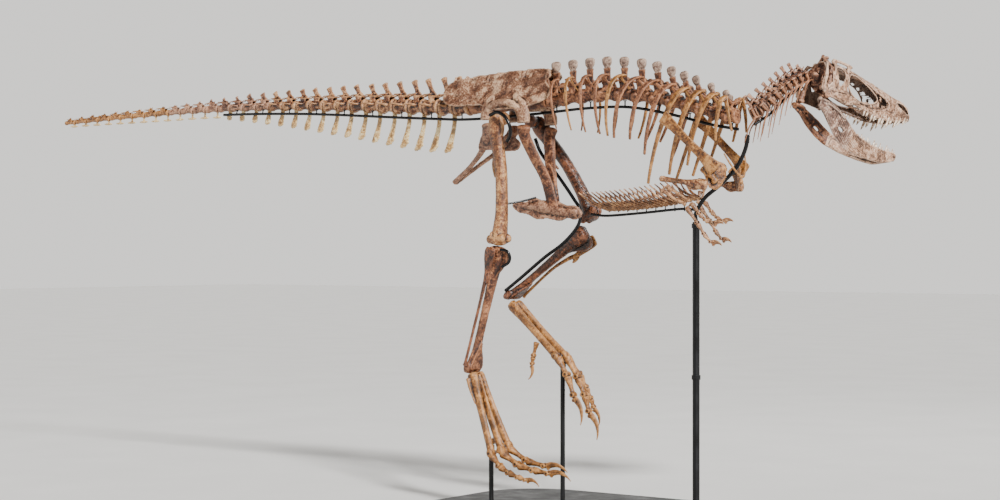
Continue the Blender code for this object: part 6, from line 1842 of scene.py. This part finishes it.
def build_arms():
    """Both shoulders and arms, the wishbone and the belly ribs."""
    for side, tag in ((-1, "right"), (1, "left")):
        scapula(side, tag)
        arm(side, tag)
    half = [Vector((0.914, 0.122, 2.150)), Vector((0.938, 0.088, 2.090)), Vector((0.958, 0.036, 2.035)),
            Vector((0.962, 0.0, 2.020))]
    line = [mirrored(p, -1) for p in half] + [mirrored(p, 1) for p in reversed(half[:-1])]
    clay = Clay()
    clay.tube(line, [0.011, 0.014, 0.016, 0.020, 0.016, 0.014, 0.011],
              [0.009, 0.012, 0.013, 0.019, 0.013, 0.012, 0.009],
              Vector((1, 0, 0.4)), 14, 6)
    fossil("furcula_bone", clay, looks("ochre"), ["furcula"], 0.0024, 0.0014, 0.0006)
    belly_ribs()


GASTRALIA_PAIRS = 20
GASTRALIA_REAR, GASTRALIA_FRONT = 0.020, 0.640


def belly_line(t):
    """The height of the belly ribs along the midline, from the rear to the front."""
    return 1.842 + 0.060 * t * t


def belly_ribs():
    """Slender belly ribs in V-shaped rows: each side an inner and an outer rod that overlap."""
    paths = []
    for k in range(GASTRALIA_PAIRS):
        t = k / (GASTRALIA_PAIRS - 1)
        x = mix(GASTRALIA_REAR, GASTRALIA_FRONT, t)
        low = belly_line(t)
        wide = 0.082 + 0.046 * sin(pi * min(1, 0.25 + 0.75 * t))
        for side in (-1, 1):
            over = side * 0.016
            cross = Vector((x + 0.046, -over, low + 0.002 * side))
            bend = mirrored((x - 0.030, wide * 0.55, low + 0.034), side)
            tip = mirrored((x - 0.105, wide, low + 0.104), side)
            inner = curve([cross, Vector((x + 0.038, over, low + 0.002)), bend, mix(bend, tip, 0.45)], 15)
            paths.append([(p, along([(0, 0.012), (2, 0.0175), (8, 0.0155), (14, 0.0080)], i))
                          for i, p in enumerate(inner)])
            shift = Vector((-0.0085, 0, 0.003))
            outer = curve([mix(cross, bend, 0.60) + shift, bend + shift, mix(bend, tip, 0.5) + shift * 0.7,
                           tip], 13)
            paths.append([(p, along([(0, 0.0070), (5, 0.0140), (12, 0.0070)], i))
                          for i, p in enumerate(outer)])
    rods("belly_ribs", paths, looks("tawny"), ["gastralia"], 10, True)


# ---------------------------------------------------------------- the steel mount
BASE_LENGTH, BASE_WIDTH, BASE_THICK, BASE_CORNER = 2.36, 1.66, 0.020, 0.42
POST_RADIUS, ROD_RADIUS = 0.021, 0.015
FLOOR_GAP = 0.0003


def forged(name, shells, material, nodes, crease=30):
    """A crisp steel piece of closed shells, smooth except at its edges."""
    mesh = bpy.data.meshes.new(name)
    clay = Clay()
    for verts, faces in shells:
        clay.add(verts, faces)
    mesh.from_pydata(clay.verts, [], clay.faces)
    bm = bmesh.new()
    bm.from_mesh(mesh)
    bmesh.ops.recalc_face_normals(bm, faces=bm.faces)
    bm.to_mesh(mesh)
    bm.free()
    mesh.shade_smooth()
    mesh.set_sharp_from_angle(angle=radians(crease))
    mesh.materials.append(material)
    return show(link(name, mesh), nodes)


def stack(rings):
    """A closed shell through rings of equal length."""
    n = len(rings[0])
    verts = [Vector(p) for ring in rings for p in ring]
    faces = []
    for k in range(len(rings) - 1):
        for i in range(n):
            a, b = k * n + i, k * n + (i + 1) % n
            faces.append((a, b, b + n, a + n))
    faces.append(tuple(range(n))[::-1])
    faces.append(tuple(range(len(verts) - n, len(verts))))
    return verts, faces


def lathe(middle, aim, profile, sides=40):
    """A turned shape on the axis aim through middle; profile is (distance along, radius)."""
    aim = aim.normalized()
    side = aim.orthogonal().normalized()
    other = aim.cross(side)
    rings = []
    for s, r in profile:
        rings.append([middle + aim * s + (side * cos(2 * pi * i / sides) + other
                                          * sin(2 * pi * i / sides)) * r
                      for i in range(sides)])
    return stack(rings)


def round_edge(r, s, edge, steps=5, sign=1):
    """Profile stations that round an edge at radius r and station s."""
    return [(s - sign * edge * (1 - sin(a)), r - edge * (1 - cos(a)))
            for a in [radians(90 * k / steps) for k in range(steps + 1)]]


def base_plate():
    """The rounded steel plate with a softly broken top edge."""
    def ring(z, inset):
        corner = BASE_CORNER - inset
        out = []
        for cx, cy, start in ((1, 1, 0), (-1, 1, 1), (-1, -1, 2), (1, -1, 3)):
            for k in range(25):
                turn = (start + k / 24) * pi / 2
                out.append((cx * (BASE_LENGTH / 2 - BASE_CORNER) + corner * cos(turn),
                            cy * (BASE_WIDTH / 2 - BASE_CORNER) + corner * sin(turn), z))
        return out

    edge = 0.004
    rings = [ring(0, 0.0006), ring(0.0006, 0)]
    rings += [ring(BASE_THICK - edge + edge * sin(a), edge * (1 - cos(a)))
              for a in [radians(15 * k) for k in range(7)]]
    forged("base_plate", [stack(rings)], looks("plate"), ["stand_base"])


def collar(middle, aim, radius, high, out):
    """A clamping ring round a tube, with rounded edges."""
    r = radius + out
    profile = [(-high / 2, radius * 0.96)] + [(-s, rr) for s, rr in reversed(round_edge(r, high / 2, 0.0015))]
    profile += round_edge(r, high / 2, 0.0015) + [(high / 2, radius * 0.96)]
    return lathe(middle, aim, profile, 36)


def upright(name, place, high, radius, collars, node_name):
    """A vertical tube with a foot flange and its weld, and clamping rings on the way up."""
    x, y = place
    low = BASE_THICK + FLOOR_GAP
    foot = Vector((x, y, low))
    flange = radius + 0.0145
    profile = [(0, flange)] + round_edge(flange, 0.0120, 0.002)
    profile += [(0.0120, radius + 0.0060), (0.0136, radius + 0.0042), (0.0150, radius + 0.0022),
                (0.0175, radius + 0.0006),
                (0.020, radius)]
    top = high - low
    profile += round_edge(radius, top, 0.0015)
    shells = [lathe(foot, UP, profile, 48)]
    for z in collars:
        shells.append(collar(Vector((x, y, z)), UP, radius, 0.026, 0.0055))
    forged(name, shells, looks("steel"), [node_name])
    return [(Vector((x, y, z)) + Vector((sin(t), -cos(t), 0)) * (radius + 0.0050),
             Vector((sin(t), -cos(t), 0)))
            for z in collars for t in (0.4,)] + [
        (Vector((x + (radius + 0.0085) * cos(t), y + (radius + 0.0085) * sin(t), low + 0.0115)), UP)
        for t in [pi / 4 + pi / 2 * k for k in range(4)]]


def screw_shape():
    """A small socket-head screw: a rounded head with a six-sided hole. Head radius 1, height 1."""
    rings = []
    for z, r, corners in ((-0.2, 0.98, 0), (0.80, 1.0, 0), (0.93, 0.96, 0), (1.0, 0.86, 0), (1.0, 0.56, 1),
                          (0.45, 0.54, 1)):
        ring = []
        for i in range(24):
            a = 2 * pi * i / 24
            flat = cos(pi / 6) / cos((a % (pi / 3)) - pi / 6) if corners else 1
            ring.append((r * flat * cos(a), r * flat * sin(a), z))
        rings.append(ring)
    verts, faces = stack(rings)
    mesh = bpy.data.meshes.new("screw")
    mesh.from_pydata(verts, [], faces)
    mesh.shade_smooth()
    mesh.set_sharp_from_angle(angle=radians(30))
    return link("screw", mesh)


def tube_drop(thick):
    """How far below the middle of the centra, thick across, the steel tube runs."""
    return thick * 0.60 + TUBE_RADIUS + 0.004


def tube(path, radius, steps=8):
    """A rod path of one radius through the points."""
    return [(p, 2 * radius) for p in curve(path, (len(path) - 1) * steps + 1)]


def pad(foot, end, radius=0.0045, flat=0.011):
    """A short strut from a tube to a bone that ends in a small pad."""
    run = (end - foot).normalized()
    return [(foot, 2 * radius), (end - run * 0.005, 2 * radius), (end - run * 0.0035, 2 * flat),
            (end, 2 * flat)]


def tail_steel():
    """The tube beside the chevrons, with a strut up to every second vertebra."""
    beside = 0.008 + TUBE_RADIUS + 0.005
    xs = [SKIDS_BEHIND + 0.02, -2.80, -2.40, -2.00, -1.60, -1.25, -1.00]
    line = [spine_x(x) - Vector((0, beside, tube_drop(along(CENTRUM_SIZE, x)))) for x in xs]
    line.append(spine_x(-0.70) - Vector((0, 0, tube_drop(0.104))))
    paths = [tube(line, TUBE_RADIUS)]
    for k in range(0, 18, 2):
        x = TAIL_ROOT - TAIL_PITCH * (k + 0.5)
        size = along(CENTRUM_SIZE, x)
        foot = spine_x(x) - Vector((0, beside, tube_drop(size)))
        paths.append(pad(foot, spine_x(x) - Vector((0, size * 0.22, size * 0.36)), 0.004, 0.009))
    rods("tail_tube", paths, looks("steel"), ["stand_tube_tail"], 20)


def back_steel():
    """The tube under the back, the one up through the breast, and those to the belly ribs and neck."""
    xs = [-0.695, -0.40, -0.10, 0.20, 0.50, 0.75, 0.94]
    line = [spine_x(min(x, 0.90)) + Vector((max(0, x - 0.90), 0, -tube_drop(0.102))) for x in xs]
    paths = [tube(line, TUBE_RADIUS)]
    for number in range(1, BACK_BONES + 1, 2):
        mid = spine_x(back_joint(number) + along(BACK_PITCH, number) * 0.5)
        paths.append(pad(mid - UP * tube_drop(0.102), mid - UP * (CENTRUM * 0.40), 0.0045, 0.012))
    rods("back_tube", paths, looks("steel"), ["stand_tube_back"], 20)
    chest = [Vector((0.660, 0, 1.766)), Vector((0.660, 0, 1.820)), Vector((0.720, 0, 1.905)),
             Vector((0.830, 0, 1.985)),
             Vector((0.930, 0, 2.080)), Vector((0.985, 0, 2.180)), Vector((1.000, 0, 2.262))]
    paths = [tube(chest, 0.012, 10)]
    for k in range(5):
        middle = smooth(chest, 0.905 + 0.018 * k)
        ahead = (smooth(chest, 0.99) - smooth(chest, 0.90)).normalized()
        paths.append([(middle - ahead * 0.0035, 0.030), (middle + ahead * 0.0035, 0.030)])
    rods("chest_tube", paths, looks("steel"), ["stand_tube_chest"], 24)
    belly = [Vector((0.648, 0, 1.836)), Vector((0.560, 0, 1.842)), Vector((0.30, 0, 1.822)),
             Vector((0.05, 0, 1.808)),
             Vector((-0.070, 0, 1.818))]
    paths = [tube(belly, 0.008)]
    for k in range(0, GASTRALIA_PAIRS, 2):
        t = k / (GASTRALIA_PAIRS - 1)
        x = mix(GASTRALIA_REAR, GASTRALIA_FRONT, t) + 0.040
        if x < 0.62:
            paths.append(pad(Vector((x, 0, 1.828)), Vector((x, 0, belly_line(t) - 0.004)), 0.0035, 0.008))
    rods("belly_tube", paths, looks("steel"), ["stand_tube_belly"], 18)
    ts = (0.17, 0.30, 0.42, 0.54, 0.66, 0.76)
    line = [neck_point(t) - neck_axes(t)[2] * tube_drop(neck_thick(t)) for t in ts]
    rods("neck_tube", [tube(line, 0.008)], looks("steel"), ["stand_tube_neck"], 18)


def leg_steel():
    """The rod along the left leg, the small brackets at the right hip and the right knee, and the strut to
    the pubis.
    """
    leg = [Vector((-0.585, 0.146, 2.300)), Vector((-0.536, 0.146, 2.202)), Vector((-0.400, 0.146, 2.049)),
           Vector((-0.290, 0.142, 1.915)), Vector((-0.246, 0.140, 1.850)), Vector((-0.256, 0.140, 1.758)),
           Vector((-0.362, 0.142, 1.650)), Vector((-0.513, 0.143, 1.555)), Vector((-0.689, 0.143, 1.430)),
           Vector((-0.812, 0.142, 1.345))]
    rods("leg_rod_left", [tube(leg, 0.011)], looks("steel"), ["stand_tube_leg_left"], 18)
    hip = [Vector((-0.632, -0.270, 2.424)), Vector((-0.575, -0.272, 2.440)), Vector((-0.520, -0.270, 2.412)),
           Vector((-0.488, -0.264, 2.355)), Vector((-0.490, -0.256, 2.300)), Vector((-0.520, -0.247, 2.262))]
    rods("hip_bracket_right", [tube(hip, 0.011)], looks("steel"), ["stand_bracket_hip_right"],
         18)
    knee = [Vector((-0.552, -0.270, 1.606)), Vector((-0.506, -0.264, 1.594)), Vector((-0.490, -0.258, 1.558)),
            Vector((-0.502, -0.258, 1.524)), Vector((-0.545, -0.264, 1.500))]
    rods("knee_bracket_right", [tube(knee, 0.009)], looks("steel"), ["stand_bracket_knee_right"],
         18)
    strut = [Vector((-0.572, -0.162, 1.886)), Vector((-0.520, -0.100, 1.900)),
             Vector((-0.455, -0.030, 1.925))]
    rods("pubis_strut", [tube(strut, 0.006)], looks("steel"), ["stand_strut_pubis"], 16)


def build_mount():
    """The plate, the three uprights with their screws, and the bent tubes."""
    base_plate()
    spots = upright("front_post", (0.660, 0.0), 1.765, POST_RADIUS, (0.86, 1.742), "stand_post_front")
    spots += upright("rear_rod", (-0.668, -0.206), 0.412, ROD_RADIUS, (0.392,), "stand_rod_rear")
    spots += upright("mid_rod", (-0.430, 0.224), 0.905, ROD_RADIUS, (0.885,), "stand_rod_mid")
    copies("mount_screws", screw_shape(), [(p, aim, Vector((0.3, 0.2, 0.9)) if abs(aim.z) < 0.5 else AHEAD,
                                            (0.0034, 0.0034, 0.0036)) for p, aim in spots],
           looks("steel"), ["stand_post_front", "stand_rod_rear", "stand_rod_mid"], 7)
    tail_steel()
    back_steel()
    leg_steel()


# ---------------------------------------------------------------- stage
FLOOR_HALF = 60.0
STAGE_MIDDLE = Vector((-0.6, 0.0, 1.7))
BACKDROP_DIM = 0.13
CAMERA_AIM = Vector((-0.65, -0.17, 1.59))
CAMERA_TURN = radians(36)
CAMERA_ASIDE = 0.018
CAMERA_LENS_MM, CAMERA_SENSOR_MM, CAMERA_SHIFT = 69.66, 36, 0.002


def build_stage(settings):
    """The pale floor, the soft lights and the camera."""
    size = FLOOR_HALF
    mesh = bpy.data.meshes.new("floor")
    mesh.from_pydata([(-size, -size, 0), (size, -size, 0), (size, size, 0), (-size, size, 0)], [],
                     [(0, 1, 2, 3)])
    mesh.materials.append(looks("stage"))
    floor = link("floor", mesh)
    world = bpy.data.worlds.new("studio")
    world.use_nodes = True
    tree = world.node_tree
    back = tree.nodes["Background"]
    height = node(tree, "ShaderNodeSeparateXYZ",
                  {"Vector": node(tree, "ShaderNodeTexCoord", {}).outputs["Generated"]})
    bright = (*settings.backdrop, 1)
    dim = (*(c * BACKDROP_DIM for c in settings.backdrop), 1)
    tree.links.new(ramp(tree, height.outputs["Z"], [(0.0, bright), (0.14, bright), (0.30, dim)]),
                   back.inputs["Color"])
    back.inputs["Strength"].default_value = settings.backdrop_light
    bpy.context.scene.world = world
    for name, place, wide, power in (("key", (8.0, -5.0, 8.5), 0.14, settings.key_light),
                                     ("fill", (-9.0, -5.0, 4.0), 5.0, settings.fill_power),
                                     ("rim", (1.0, 7.0, 7.0), 3.0, settings.fill_power * 2)):
        lamp = bpy.data.lights.new(name, "SUN" if name == "key" else "AREA")
        if name == "key":
            lamp.angle = wide
        else:
            lamp.shape = "DISK"
            lamp.size = wide
        lamp.energy = power
        thing = bpy.data.objects.new(name, lamp)
        thing.location = place
        thing.rotation_euler = (STAGE_MIDDLE - Vector(place)).to_track_quat("-Z", "Y").to_euler()
        bpy.context.scene.collection.objects.link(thing)
    right = Vector((cos(CAMERA_TURN), sin(CAMERA_TURN), 0))
    view = Vector((-sin(CAMERA_TURN), cos(CAMERA_TURN), 0))
    lens = bpy.data.cameras.new("camera")
    lens.sensor_width = CAMERA_SENSOR_MM
    lens.lens = CAMERA_LENS_MM
    lens.shift_y = CAMERA_SHIFT
    lens.clip_end = 200
    camera = bpy.data.objects.new("camera", lens)
    camera.location = CAMERA_AIM - view * settings.camera_distance + right * CAMERA_ASIDE
    camera.rotation_euler = (pi / 2, 0, CAMERA_TURN)
    bpy.context.scene.collection.objects.link(camera)
    bpy.context.scene.camera = camera


# ---------------------------------------------------------------- add-on
class SkeletonSettings(bpy.types.PropertyGroup):
    """The sizes and colours that a user would change."""
    detail: FloatProperty(name="Grain of the bones", default=1.0, min=0.7, max=3.0, subtype="FACTOR",
                          description="How coarse the skin of the bones is; 1 is the finished quality")
    wear: FloatProperty(name="Wear", default=1.0, min=0.0, max=2.0, subtype="FACTOR",
                        description="How deeply the surface of the bones is weathered")
    skull_tone: FloatVectorProperty(name="Skull", subtype="COLOR", size=3, default=colour("#A67A5C")[:3],
                                    description="Middle tone of the skull and the front of the jaws")
    bone_tone: FloatVectorProperty(name="Bone", subtype="COLOR", size=3, default=colour("#5E311A")[:3],
                                   description="Middle tone of the brown bones")
    ochre_tone: FloatVectorProperty(name="Ochre bone", subtype="COLOR", size=3, default=colour("#84501F")[:3],
                                    description="Middle tone of the ribs, arms and feet")
    cream_tone: FloatVectorProperty(name="Cream bone", subtype="COLOR", size=3, default=colour("#BE8F50")[:3],
                                    description="Middle tone of the chevrons")
    steel_tone: FloatVectorProperty(name="Steel", subtype="COLOR", size=3, default=colour("#040405")[:3],
                                    description="Colour of the enamel on the mount")
    backdrop: FloatVectorProperty(name="Backdrop", subtype="COLOR", size=3, default=colour("#F4F2EE")[:3],
                                  description="Colour of the light behind and round the skeleton")
    backdrop_light: FloatProperty(name="Backdrop light", default=1.25, min=0.0, max=5.0,
                                  description="Strength of the light from all round")
    key_light: FloatProperty(name="Key light", default=6.2, min=0.0,
                             description="Strength of the main light, in watts per square metre")
    fill_power: FloatProperty(name="Fill light", default=90.0, min=0.0, unit="POWER",
                              description="Power of the shadow side's lamp; the one behind has twice this")
    camera_distance: FloatProperty(name="Camera distance", default=11.9, min=4.0, unit="LENGTH",
                                   description="How far the camera stands from the middle of the skeleton")


class SKELETON_OT_tail(bpy.types.Operator):
    """Build the tail's vertebrae and the chevrons under them"""
    bl_idname = "skeleton.tail"
    bl_label = "Tail"

    def execute(self, context):
        build_tail()
        return {"FINISHED"}


class SKELETON_OT_back(bpy.types.Operator):
    """Build the back vertebrae and the ribs"""
    bl_idname = "skeleton.back"
    bl_label = "Back and ribs"

    def execute(self, context):
        build_back()
        return {"FINISHED"}


class SKELETON_OT_neck(bpy.types.Operator):
    """Build the neck vertebrae and their ribs"""
    bl_idname = "skeleton.neck"
    bl_label = "Neck"

    def execute(self, context):
        build_neck()
        return {"FINISHED"}


class SKELETON_OT_hips(bpy.types.Operator):
    """Build the sacrum, the hip blades, the pubis and the ischium"""
    bl_idname = "skeleton.hips"
    bl_label = "Hips"

    def execute(self, context):
        build_hips()
        return {"FINISHED"}


class SKELETON_OT_head(bpy.types.Operator):
    """Build the skull, the jaws and the teeth"""
    bl_idname = "skeleton.head"
    bl_label = "Head"

    def execute(self, context):
        build_head()
        return {"FINISHED"}


class SKELETON_OT_legs(bpy.types.Operator):
    """Build both legs down to the claws"""
    bl_idname = "skeleton.legs"
    bl_label = "Legs"

    def execute(self, context):
        build_legs()
        return {"FINISHED"}


class SKELETON_OT_arms(bpy.types.Operator):
    """Build the shoulders, the arms, the wishbone and the belly ribs"""
    bl_idname = "skeleton.arms"
    bl_label = "Shoulders, arms and belly ribs"

    def execute(self, context):
        build_arms()
        return {"FINISHED"}


class SKELETON_OT_mount(bpy.types.Operator):
    """Build the steel mount with its screws"""
    bl_idname = "skeleton.mount"
    bl_label = "Steel mount"

    def execute(self, context):
        build_mount()
        return {"FINISHED"}


class SKELETON_OT_stage(bpy.types.Operator):
    """Set up the floor, the lights and the camera"""
    bl_idname = "skeleton.stage"
    bl_label = "Stage"

    def execute(self, context):
        build_stage(context.scene.skeleton)
        return {"FINISHED"}


STEPS = (SKELETON_OT_tail, SKELETON_OT_back, SKELETON_OT_neck, SKELETON_OT_hips, SKELETON_OT_head,
         SKELETON_OT_legs,
         SKELETON_OT_arms, SKELETON_OT_mount, SKELETON_OT_stage)


class SKELETON_PT_panel(bpy.types.Panel):
    """The sizes, the colours and the steps in the 3D view's sidebar"""
    bl_idname = "SKELETON_PT_panel"
    bl_label = "Mounted tyrannosaur"
    bl_space_type = "VIEW_3D"
    bl_region_type = "UI"
    bl_category = "Skeleton"

    def draw(self, context):
        settings = context.scene.skeleton
        for key in SkeletonSettings.__annotations__:
            self.layout.prop(settings, key)
        for step in STEPS:
            self.layout.operator(step.bl_idname)


CLASSES = (SkeletonSettings, *STEPS, SKELETON_PT_panel)


def register():
    """Register the classes and the settings."""
    for kind in CLASSES:
        bpy.utils.register_class(kind)
    bpy.types.Scene.skeleton = PointerProperty(type=SkeletonSettings)


def unregister():
    """Remove the settings and the classes."""
    del bpy.types.Scene.skeleton
    for kind in reversed(CLASSES):
        bpy.utils.unregister_class(kind)


def main():
    """Build every piece in order."""
    register()
    for step in STEPS:
        group_name, call = step.bl_idname.split(".")
        getattr(getattr(bpy.ops, group_name), call)()


if __name__ == "__main__":
    main()
